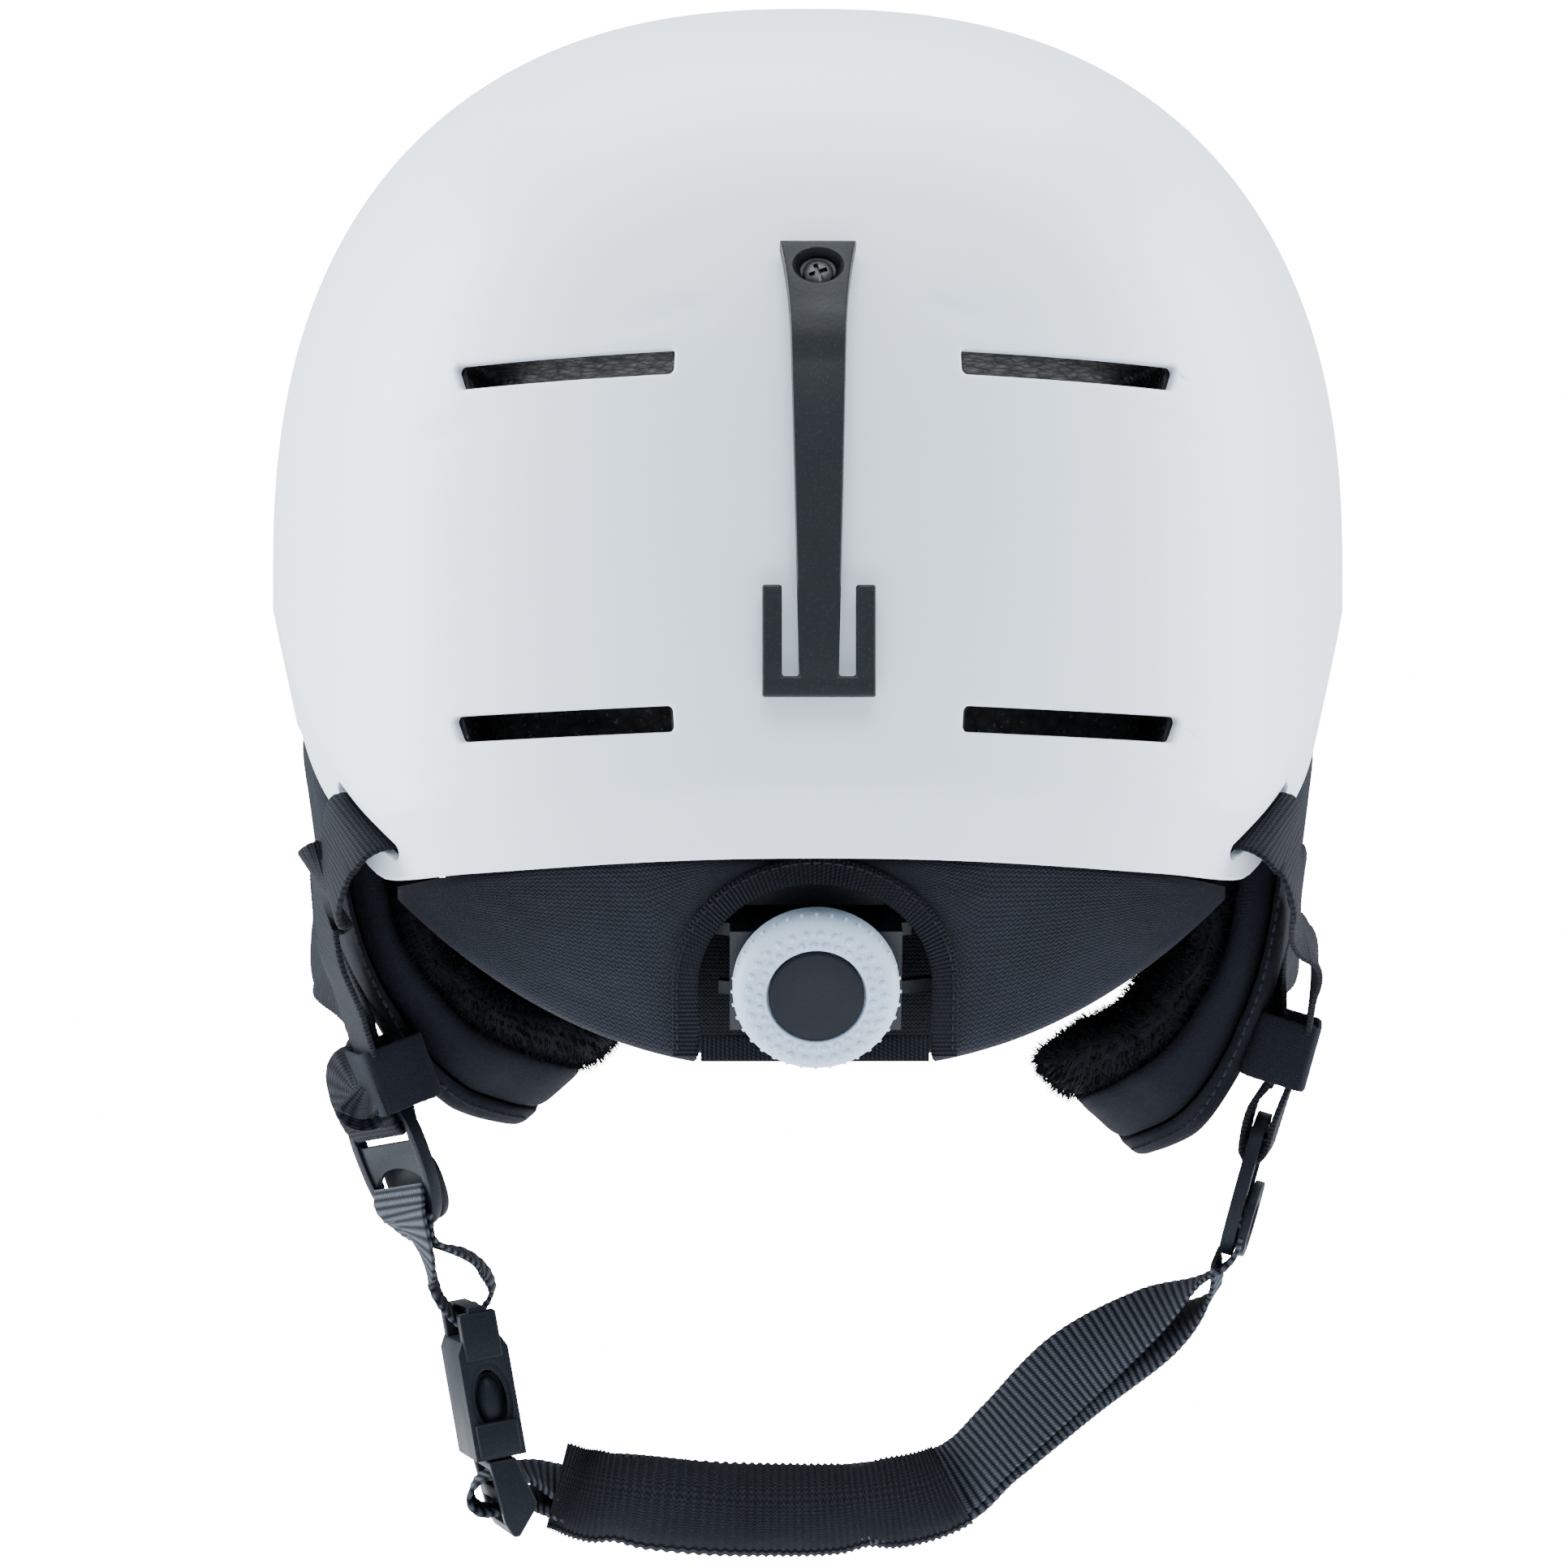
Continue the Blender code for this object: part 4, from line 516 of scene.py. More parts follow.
def grain_finish(name, base, fleck, amount, scale=1400.0, gloss=0.32):
    made, tree, shader, coords = start_material(name, 0.42)
    node = tree.nodes.new("ShaderNodeGroup")
    node.node_tree = group_named("moulded_grain", grain_group)
    link(tree, coords.outputs["Object"], node.inputs["Vector"])
    node.inputs["Colour"].default_value = (*base, 1)
    node.inputs["Fleck"].default_value = (*fleck, 1)
    node.inputs["Amount"].default_value = amount
    node.inputs["Scale"].default_value = scale
    link(tree, node.outputs["Colour"], shader.inputs["Base Color"])
    link(tree, node.outputs["Roughness"], shader.inputs["Roughness"])
    shader.inputs["Specular IOR Level"].default_value = gloss
    bump(tree, shader, node.outputs["Height"], 0.25, 0.00012)
    return made


def knit_finish(name, base, pitch=0.0009, fuzz=0.5, lift=0.10, coordinate="UV", strength=0.7):
    made, tree, shader, coords = start_material(name, 0.9)
    node = tree.nodes.new("ShaderNodeGroup")
    node.node_tree = group_named("knit_stitch", knit_group)
    link(tree, coords.outputs[coordinate], node.inputs["Vector"])
    # The stitches' base is the colour darkened; lift is the share towards a pale colour that is
    # painted on the raised stitches as a highlight.
    node.inputs["Colour"].default_value = (*paler(base, 0.55, (0, 0, 0)), 1)
    node.inputs["Lift"].default_value = (*paler(base, lift), 1)
    node.inputs["Pitch"].default_value = pitch
    node.inputs["Fuzz"].default_value = fuzz
    link(tree, node.outputs["Colour"], shader.inputs["Base Color"])
    link(tree, node.outputs["Roughness"], shader.inputs["Roughness"])
    shader.inputs["Specular IOR Level"].default_value = 0.08
    shader.inputs["Sheen Weight"].default_value = 0.01
    shader.inputs["Sheen Roughness"].default_value = 0.5
    bump(tree, shader, node.outputs["Height"], strength, 0.0003)
    return made


def web_finish(name, base, rib, lift=0.12):
    made, tree, shader, coords = start_material(name, 0.72)
    node = tree.nodes.new("ShaderNodeGroup")
    node.node_tree = group_named("web_weave", weave_group)
    link(tree, coords.outputs["UV"], node.inputs["Vector"])
    # The webbing's base is the colour darkened; lift is the share towards a pale colour that is
    # painted on the raised ribs and yarns as a highlight.
    node.inputs["Colour"].default_value = (*paler(base, 0.7, (0, 0, 0)), 1)
    node.inputs["Lift"].default_value = (*paler(base, lift), 1)
    node.inputs["Rib"].default_value = rib
    link(tree, node.outputs["Colour"], shader.inputs["Base Color"])
    shader.inputs["Specular IOR Level"].default_value = 0.1
    bump(tree, shader, node.outputs["Height"], 0.55, 0.00025)
    return made


def fleece_finish():
    made, tree, shader, coords = start_material("plush_fleece", 1.0)
    where = coords.outputs["Object"]
    clumps = noise_field(tree, where, 260.0, 4.0, 0.65)
    hairs = noise_field(tree, where, 2400.0, 2.0, 0.7)
    base = tuple(colours().fleece)
    tone = mix_colour(tree, maths(tree, "MULTIPLY", clumps, hairs), paler(base, 0.5, (0, 0, 0)),
                      paler(base, 0.03))
    link(tree, tone, shader.inputs["Base Color"])
    shader.inputs["Specular IOR Level"].default_value = 0.06
    bump(tree, shader, maths(tree, "ADD", clumps, hairs), 0.8, 0.0006)
    return made


def foam_finish():
    made, tree, shader, coords = start_material("foam_beads", 0.8)
    where = coords.outputs["Object"]
    beads = cells(tree, where, 420.0)
    edge = cells(tree, where, 420.0, "DISTANCE_TO_EDGE")
    base = tuple(colours().foam)
    glint = maths(tree, "GREATER_THAN", noise_field(tree, where, 900.0, 2.0), 0.66)
    tone = mix_colour(tree, maths(tree, "MULTIPLY", glint, 0.5), base, paler(base, 0.2))
    link(tree, tone, shader.inputs["Base Color"])
    link(tree, maths(tree, "MULTIPLY_ADD", beads, 0.3, 0.55), shader.inputs["Roughness"])
    bump(tree, shader, maths(tree, "MINIMUM", edge, 0.25), 0.6, 0.0008)
    return made


def steel_finish():
    made, tree, shader, coords = start_material("black_steel", 0.34, 0.9)
    wear = noise_field(tree, coords.outputs["Object"], 700.0, 4.0)
    tone = mix_colour(tree, maths(tree, "MULTIPLY", wear, 0.4), (0.02, 0.021, 0.024),
                      (0.16, 0.16, 0.17))
    link(tree, tone, shader.inputs["Base Color"])
    link(tree, maths(tree, "MULTIPLY_ADD", wear, 0.25, 0.25), shader.inputs["Roughness"])
    bump(tree, shader, wear, 0.1, 0.0001)
    return made


def brass_finish():
    made, tree, shader, coords = start_material("turned_brass", 0.35, 1.0)
    wear = noise_field(tree, coords.outputs["Object"], 900.0, 3.0)
    tone = mix_colour(tree, wear, (0.55, 0.38, 0.14), (0.68, 0.50, 0.22))
    link(tree, tone, shader.inputs["Base Color"])
    bump(tree, shader, wear, 0.1, 0.0001)
    return made


FINISHES = {}


def finish(name):
    """A material by name, made the first time that it is asked for."""
    if name in FINISHES:
        return FINISHES[name]
    c = colours()
    rib = sizes().rib
    # Each knit and webbing finish below is given a lift: its share of painted highlight on the
    # raised yarns.
    makers = {
        "shell": shell_finish,
        "moulded": lambda: grain_finish("gunmetal_grain", tuple(c.moulded), (0.05, 0.065, 0.09),
                                        0.10),
        "cap": lambda: grain_finish("cap_black", paler(tuple(c.moulded), 0.25, (0.02, 0.02, 0.03)),
                                    (0.03, 0.035, 0.05), 0.05,
                                    gloss=0.12),
        "buckle": lambda: grain_finish("buckle_satin", tuple(c.buckle), (0.05, 0.06, 0.08), 0.08,
                                       1800.0, 0.10),
        "knob": lambda: grain_finish("knob_rubber", tuple(c.knob), (0.9, 0.92, 0.95), 0.15,
                                     1600.0),
        "knit": lambda: knit_finish("pad_knit", tuple(c.knit), 0.00095, 0.5, 0.036),
        "smooth_knit": lambda: knit_finish("smooth_knit", tuple(c.knit), 0.00045, 0.35, 0.014,
                                           strength=0.35),
        "lining": lambda: knit_finish("lining_knit", tuple(c.fleece), 0.0008, 0.6, 0.02),
        "fleece": fleece_finish,
        "sleeve": lambda: knit_finish("ribbed_sleeve", tuple(c.sleeve), 0.0007, 1.0, 0.040),
        "webbing": lambda: web_finish("ribbed_webbing", tuple(c.webbing), rib),
        "fine_webbing": lambda: web_finish("fine_webbing", paler(tuple(c.webbing), 0.4, (0, 0, 0)),
                                           rib * 0.55, 0.018),
        "foam": foam_finish,
        "steel": steel_finish,
        "brass": brass_finish,
    }
    FINISHES[name] = makers[name]()
    return FINISHES[name]


# ---------------------------------------------------------------- helpers for pieces

def deselect():
    bpy.ops.object.select_all(action="DESELECT")


def activate(piece):
    deselect()
    piece.select_set(True)
    bpy.context.view_layer.objects.active = piece


def new_piece(name, points, faces, uv=None, edges=()):
    """A mesh object from points in millimetres, with UVs in metres when they are given."""
    mesh = bpy.data.meshes.new(name)
    mesh.from_pydata([Vector(p) * MM for p in points], list(edges), faces)
    made = bpy.data.objects.new(name, mesh)
    bpy.context.scene.collection.objects.link(made)
    if uv:
        layer = mesh.uv_layers.new(name="UVMap")
        for loop in mesh.loops:
            u, v = uv[loop.vertex_index]
            layer.data[loop.index].uv = (u * MM, v * MM)
    return made


def close_up(piece, merge=0.00001):
    """Merge doubled points and turn every face outwards."""
    work = bmesh.new()
    work.from_mesh(piece.data)
    bmesh.ops.remove_doubles(work, verts=work.verts, dist=merge)
    bmesh.ops.dissolve_degenerate(work, edges=work.edges, dist=merge / 10)
    bmesh.ops.recalc_face_normals(work, faces=work.faces)
    work.to_mesh(piece.data)
    work.free()
    return piece


def smooth(piece, angle=40):
    activate(piece)
    bpy.ops.object.shade_smooth_by_angle(angle=math.radians(angle))
    return piece


def applied(piece, kind, **settings):
    """Add a modifier and apply it at once."""
    activate(piece)
    step = piece.modifiers.new(kind.lower(), kind)
    for key, value in settings.items():
        setattr(step, key, value)
    bpy.ops.object.modifier_apply(modifier=step.name)
    return piece


def bevelled(piece, width, segments=3, angle=30):
    return applied(piece, "BEVEL", width=width * MM, segments=segments, limit_method="ANGLE",
                   angle_limit=math.radians(angle), harden_normals=False)


def cut_by(piece, *cutters, operation="DIFFERENCE"):
    for cutter in cutters:
        applied(piece, "BOOLEAN", operation=operation, solver="EXACT", object=cutter)
        bpy.data.objects.remove(cutter, do_unlink=True)
    return piece


def metres(place):
    made = place.copy()
    made.translation = place.translation * MM
    return made


def put(piece, place):
    piece.data.transform(metres(place))
    return piece


def joined(pieces, name):
    """Several objects as one."""
    deselect()
    for piece in pieces:
        piece.select_set(True)
    bpy.context.view_layer.objects.active = pieces[0]
    bpy.ops.object.join()
    pieces[0].name = name
    return pieces[0]


def give(piece, finish_name, body="root", replaces=()):
    """Finish a piece: its material, the record's slot, its body and the nodes that it replaces."""
    piece.data.materials.clear()
    piece.data.materials.append(finish(finish_name))
    if body:
        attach(piece, body)
    if replaces:
        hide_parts(*replaces)
    return piece


def lathe(name, profile, place, steps=96):
    """An outline of (radius, height) points turned about the place's z."""
    made = new_piece(name, [(r, 0, h) for r, h in profile], [],
                     edges=[(k, k + 1) for k in range(len(profile) - 1)])
    activate(made)
    bpy.ops.object.mode_set(mode="EDIT")
    bpy.ops.mesh.select_all(action="SELECT")
    bpy.ops.mesh.spin(steps=steps, angle=2 * math.pi, center=(0, 0, 0), axis=(0, 0, 1))
    bpy.ops.mesh.select_all(action="SELECT")
    bpy.ops.mesh.remove_doubles(threshold=0.000001)
    bpy.ops.mesh.normals_make_consistent(inside=False)
    bpy.ops.object.mode_set(mode="OBJECT")
    return smooth(put(made, place), 35)


def box_piece(name, place, low, high):
    """A box between two corners of a place, from a cube primitive."""
    deselect()
    bpy.ops.mesh.primitive_cube_add(size=1, location=(0, 0, 0))
    made = bpy.context.object
    made.name = name
    size = [high[k] - low[k] for k in range(3)]
    middle = [(high[k] + low[k]) / 2 for k in range(3)]
    local = Matrix.Translation(middle) @ Matrix.Diagonal((*size, 1))
    for vert in made.data.vertices:
        vert.co = (place @ (local @ vert.co)) * MM
    return close_up(made, 0.0000001)


def prism(name, outline, place, low, high):
    """An outline of (x, y) points drawn from low to high along the place's z."""
    n = len(outline)
    points = [place @ Vector((x, y, z)) for z in (low, high) for x, y in outline]
    faces = [list(range(n)), list(range(2 * n - 1, n - 1, -1))]
    faces += [(i, (i + 1) % n, n + (i + 1) % n, n + i) for i in range(n)]
    return close_up(new_piece(name, points, faces), 0.0000001)


def frame_at(point, x_axis, z_axis):
    """A local frame with its z along z_axis and its x as near x_axis as it can be."""
    z = Vector(z_axis).normalized()
    y = z.cross(Vector(x_axis)).normalized()
    made = Matrix((y.cross(z), y, z)).transposed().to_4x4()
    made.translation = Vector(point)
    return made


def spline(points, count):
    """Evenly stepped points on a smooth curve through the given ones."""
    points = [Vector(p) for p in points]
    ends = [2 * points[0] - points[1]] + points + [2 * points[-1] - points[-2]]
    made = []
    for k in range(count):
        t = k / (count - 1) * (len(points) - 1)
        i = min(int(t), len(points) - 2)
        t -= i
        a, b, c, d = ends[i:i + 4]
        made.append(0.5 * (2 * b + (c - a) * t + (2 * a - 5 * b + 4 * c - d) * t * t
                           + (3 * b - a - 3 * c + d) * t ** 3))
    return made


def value_on(line, at):
    """Smooth value at a place on a line of (place, value) points."""
    places = [p for p, _ in line]
    i = min(max(bisect.bisect_right(places, at) - 1, 0), len(line) - 2)
    (p0, v0), (p1, v1) = line[i], line[i + 1]
    slope = [0.0, 0.0]
    for side, k in enumerate((i, i + 1)):
        if 0 < k < len(line) - 1:
            left = (line[k][1] - line[k - 1][1]) / (line[k][0] - line[k - 1][0])
            right = (line[k + 1][1] - line[k][1]) / (line[k + 1][0] - line[k][0])
            slope[side] = 2 * left * right / (left + right) if left * right > 0 else 0.0
    span = p1 - p0
    t = min(max((at - p0) / span, 0), 1)
    return ((2 * t ** 3 - 3 * t ** 2 + 1) * v0 + (t ** 3 - 2 * t ** 2 + t) * span * slope[0]
            + (3 * t ** 2 - 2 * t ** 3) * v1 + (t ** 3 - t ** 2) * span * slope[1])


def wave(point, size, seed=0.0):
    """Smooth random value from -1 to 1 at a place, over lumps of a given size."""
    return noise.noise(Vector(point) / size + Vector((seed, seed * 1.7, -seed)))


def steps(low, high, count):
    return [low + (high - low) * k / count for k in range(count + 1)]


def eased(count):
    """Steps from 0 to 1, closer together at both ends."""
    return [0.45 * k / count + 0.55 * (0.5 - 0.5 * math.cos(math.pi * k / count))
            for k in range(count + 1)]


ROWS_PER_RIB = 4
STRAP_SECTION = ((-1, 0), (-0.985, 0.75), (-0.93, 1), (-0.55, 1), (-0.18, 1), (0.18, 1),
                 (0.55, 1), (0.93, 1), (0.985, 0.75), (1, 0), (0.985, -0.75), (0.93, -1),
                 (0.55, -1), (0.18, -1), (-0.18, -1), (-0.55, -1), (-0.93, -1), (-0.985, -0.75))


def strap(name, path, across, width, thickness, rib=None, depth=0.14):
    """Ribbed webbing along a smooth path; across is its width direction at the path's points."""
    rib = rib or mm(sizes().rib)
    fine, sides = spline(path, 500), spline(across, 500)
    reach = [0.0]
    for a, b in zip(fine, fine[1:]):
        reach.append(reach[-1] + (b - a).length)
    rows = max(8, round(reach[-1] / rib * ROWS_PER_RIB))
    points, uv, faces = [], [], []
    n = len(STRAP_SECTION)
    k = 0
    for row in range(rows + 1):
        s = reach[-1] * row / rows
        while k < len(reach) - 2 and reach[k + 1] < s:
            k += 1
        t = (s - reach[k]) / max(reach[k + 1] - reach[k], 1e-9)
        centre = fine[k].lerp(fine[k + 1], t)
        along = (fine[min(k + 2, 499)] - fine[max(k - 1, 0)]).normalized()
        side = sides[k].lerp(sides[k + 1], t)
        side = (side - along * side.dot(along)).normalized()
        normal = along.cross(side)
        swell = 1 - depth * (1 - math.cos(2 * math.pi * s / rib))
        ragged = 1 + 0.006 * math.sin(2 * math.pi * s / rib + 1.0)
        for a, b in STRAP_SECTION:
            points.append(centre + side * (a * ragged * width / 2)
                          + normal * (b * swell * thickness / 2))
            uv.append((s, a * width / 2 + (0 if b >= 0 else 40)))
        if row:
            for i in range(n):
                j = (i + 1) % n
                a0, b0 = (row - 1) * n, row * n
                faces.append((a0 + i, a0 + j, b0 + j, b0 + i))
    faces += [tuple(range(n)), tuple(range(rows * n, rows * n + n))[::-1]]
    made = new_piece(name, points, faces, uv)
    return smooth(close_up(made, 0.0000005), 60)


def pillow(name, us, vs, place, uv_size, round_u=0.1, round_v=0.1):
    """A closed soft pad; place(u, v, side) gives its faces for a side from -1 to 1, and the
    thickness closes over a rounded edge."""
    def closing(t, reach):
        share = min(min(t, 1 - t) / reach, 1.0)
        return math.sqrt(max(0.0, 1 - (1 - share) ** 2))

    points, uv, index = [], [], {}
    for side in (1, -1):
        for i, u in enumerate(us):
            for j, v in enumerate(vs):
                ends = round_v(u) if callable(round_v) else round_v
                edge = closing(u, round_u) * closing(v, ends)
                if edge == 0 and (i, j, 1) in index:
                    index[i, j, side] = index[i, j, 1]
                    continue
                index[i, j, side] = len(points)
                points.append(place(u, v, side * edge))
                uv.append((u * uv_size[0], v * uv_size[1] + (0 if side > 0 else uv_size[1] * 2)))
    faces = []
    for i in range(len(us) - 1):
        for j in range(len(vs) - 1):
            for side in (1, -1):
                face = [index[i, j, side], index[i + 1, j, side], index[i + 1, j + 1, side],
                        index[i, j + 1, side]]
                face = list(dict.fromkeys(face if side > 0 else face[::-1]))
                if len(face) > 2:
                    faces.append(face)
    made = new_piece(name, points, faces, uv)
    return smooth(close_up(made), 75)


# ---------------------------------------------------------------- the shell's surface

def bow(share):
    return max(0.0, 1 - share ** DOME_POWER) ** (1 / DOME_POWER)


def half_width(z):
    if z >= WAIST_Z:
        return HALF_WIDTH * bow((z - WAIST_Z) / (CROWN_Z - WAIST_Z))
    return HALF_WIDTH - 1.0 * ((WAIST_Z - z) / 60) ** 2


def depth_at(z, full):
    if z >= WAIST_Z:
        return full * bow((z - WAIST_Z) / (CROWN_Z - WAIST_Z))
    return full - 4.0 * ((WAIST_Z - z) / 60) ** 2


def plain_point(turn, z):
    """Point of the plain dome; turn 0 is the rear centre and 90 the wearer's right."""
    angle = math.radians(turn)
    s, c = math.sin(angle), math.cos(angle)
    power = 2 / PLAN_POWER
    across = math.copysign(abs(s) ** power, s) * half_width(z)
    along = -math.copysign(abs(c) ** power, c) * depth_at(z, REAR_DEPTH if c > 0 else FRONT_DEPTH)
    return Vector((across, along, z))


def outward(turn, z):
    if z > CROWN_Z - 0.6:
        return Vector((0, 0, 1))
    low, high = max(z - 0.4, -60), min(z + 0.4, CROWN_Z - 0.05)
    up = plain_point(turn, high) - plain_point(turn, low)
    round_ = plain_point(turn + 0.8, z) - plain_point(turn - 0.8, z)
    return round_.cross(up).normalized()


def folded(turn):
    return abs((turn + 180) % 360 - 180)


def rim_height(turn):
    return value_on(RIM_LINE, folded(turn))


def crease_offset(turn, z):
    """How far the styled surface stands off the plain dome."""
    t = folded(turn)
    upper, lower = value_on(UPPER_CREASE, t), value_on(LOWER_CREASE, t)
    if lower < z < upper:
        share = (z - lower) / (upper - lower)
        return -PANEL_SINK * 4 * share * (1 - share) * max(0.0, 1 - (t / 75) ** 2)
    if z <= lower:
        fade = 1.0 if t < 95 else max(0.3, 1 - (t - 95) / 60)
        return -SKIRT_TUCK * fade * (lower - z)
    return 0.0


def shell_point(turn, z, inset=0.0):
    return plain_point(turn, z) + outward(turn, z) * (crease_offset(turn, z) - inset)


def turn_of(point, z):
    """Turn of a point seen from the dome's axis, at a height."""
    depth = depth_at(z, REAR_DEPTH if point.y < 0 else FRONT_DEPTH)
    s = (abs(point.x) / half_width(z)) ** (PLAN_POWER / 2)
    c = (abs(point.y) / depth) ** (PLAN_POWER / 2)
    turn = math.degrees(math.atan2(s, c))
    turn = turn if point.y < 0 else 180 - turn
    return math.copysign(turn, point.x)


def on_surface(point, inset=0.0):
    """The point of the styled surface over or under a place close to it."""
    z = point.z
    for _ in range(3):
        made = shell_point(turn_of(point, z), z, inset)
        z += point.z - made.z
    return shell_point(turn_of(point, z), z, inset)


def turn_at(x, z, front=False):
    share = min(abs(x) / half_width(z), 1) ** (PLAN_POWER / 2)
    turn = math.degrees(math.asin(share))
    return math.copysign(180 - turn if front else turn, x)


def surface_frame(turn, z):
    """Frame on the shell with z outwards and x level round the helmet."""
    out = outward(turn, z)
    return frame_at(shell_point(turn, z), Vector((0, 0, 1)).cross(out), out)


def slot_frame(side):
    """Frame in a strap slot: x along the slot, z outwards."""
    sign = dict(SIDES)[side]
    turn = sign * STRAP_SLOT_TURN
    out = outward(turn, STRAP_SLOT_Z)
    return frame_at(shell_point(turn, STRAP_SLOT_Z), (-sign * 0.458, -0.677, -0.572), out)


def front_anchor_place(side):
    """Where a front strap leaves the liner's rim."""
    turn = dict(SIDES)[side] * 126
    z = rim_height(turn) + LINER_LIFT
    out = outward(turn, z)
    out = Vector((out.x, out.y, 0)).normalized()
    return frame_at(shell_point(turn, z, SHELL_WALL + 10), out.cross(Vector((0, 0, 1))), out)


def rounded_outline(corners, radius, arc=6, gap=0.9):
    """(point, outward normal) samples round a convex outline, counter-clockwise."""
    made = []
    n = len(corners)
    for k in range(n):
        a, b, c = (Vector(corners[(k + s) % n]) for s in (-1, 0, 1))
        back, ahead = (a - b).normalized(), (c - b).normalized()
        half = back.angle(ahead) / 2
        centre = b + (back + ahead).normalized() * radius / math.sin(half)
        first = Vector((back.y, -back.x))
        first = first if first.dot(b - centre) > 0 else -first
        last = Vector((ahead.y, -ahead.x))
        last = last if last.dot(b - centre) > 0 else -last
        for i in range(arc + 1):
            normal = first.slerp(last, i / arc).normalized()
            made.append((centre + normal * radius, normal))
        end = centre + last * radius
        after = b + ahead * ((c - b).length - radius / math.tan(half))
        count = max(1, round((after - end).length / gap))
        made += [(end.lerp(after, i / count), last) for i in range(1, count)]
    return made


def zipped(outer, inner, points, slot):
    """Triangles between two closed loops of point indices that run the same way round an
    opening, matched by their turn about its centre."""
    back = slot.place.inverted()

    def turns(loop):
        made = []
        for i in loop:
            p = back @ points[i]
            made.append(math.atan2(p.y / slot.half[1], p.x / slot.half[0]))
        return made

    def unwound(values, first):
        made = [values[0] - first]
        for v in values[1:] + values[:1]:
            made.append(made[-1] + (v - first - made[-1] + math.pi) % (2 * math.pi) - math.pi)
        return made

    n, m = len(outer), len(inner)
    ends, other = turns(outer), turns(inner)
    start = min(range(m), key=lambda j: abs((other[j] - ends[0] + math.pi) % (2 * math.pi)
                                            - math.pi))
    other = other[start:] + other[:start]
    a_turns = unwound(ends, ends[0])
    b_turns = unwound(other, ends[0])
    shift = round(b_turns[0] / (2 * math.pi)) * 2 * math.pi
    i = j = 0
    faces = []
    while i < n or j < m:
        a, b = outer[i % n], inner[(start + j) % m]
        if j >= m or (i < n and a_turns[i + 1] < b_turns[j + 1] - shift):
            faces.append((a, outer[(i + 1) % n], b))
            i += 1
        else:
            faces.append((a, inner[(start + j + 1) % m], b))
            j += 1
    return faces


class Slot:
    """One opening: its frame, outline, depth (None where it goes through) and lip."""

    def __init__(self, place, corners, radius, lip=0.0, depth=None, margin=4.0):
        self.place, self.lip, self.depth, self.margin = place, lip, depth, margin
        self.outline = rounded_outline(corners, radius)
        self.half = [max(abs(c[k]) for c in corners) + margin for k in (0, 1)]


def vent_slots(length_mm, height_mm, radius, lip, pocket=None):
    """The eight vents; the lower rear pair is as deep as pocket when that is given."""
    made = []
    for levels, front in ((REAR_VENT_Z, False), (FRONT_VENT_Z, True)):
        for row, z in enumerate(levels):
            for _, sign in SIDES:
                x = sign * VENT_X
                outer = -sign if front else sign
                place = surface_frame(turn_at(x, z, front), z)
                if not front:
                    place = place @ Matrix.Rotation(-outer * math.radians(VENT_DROOP), 4, "Z")
                a, b = length_mm / 2 + lip, height_mm / 2 + lip
                corners = ((-a, -b), (a - VENT_SLANT, -b), (a, b), (-a, b))
                if outer < 0:
                    corners = ((-a + VENT_SLANT, -b), (a, -b), (a, b), (-a, b))
                deep = pocket if (row == 1 and not front) else None
                made.append(Slot(place, corners, radius, lip, deep))
    return made


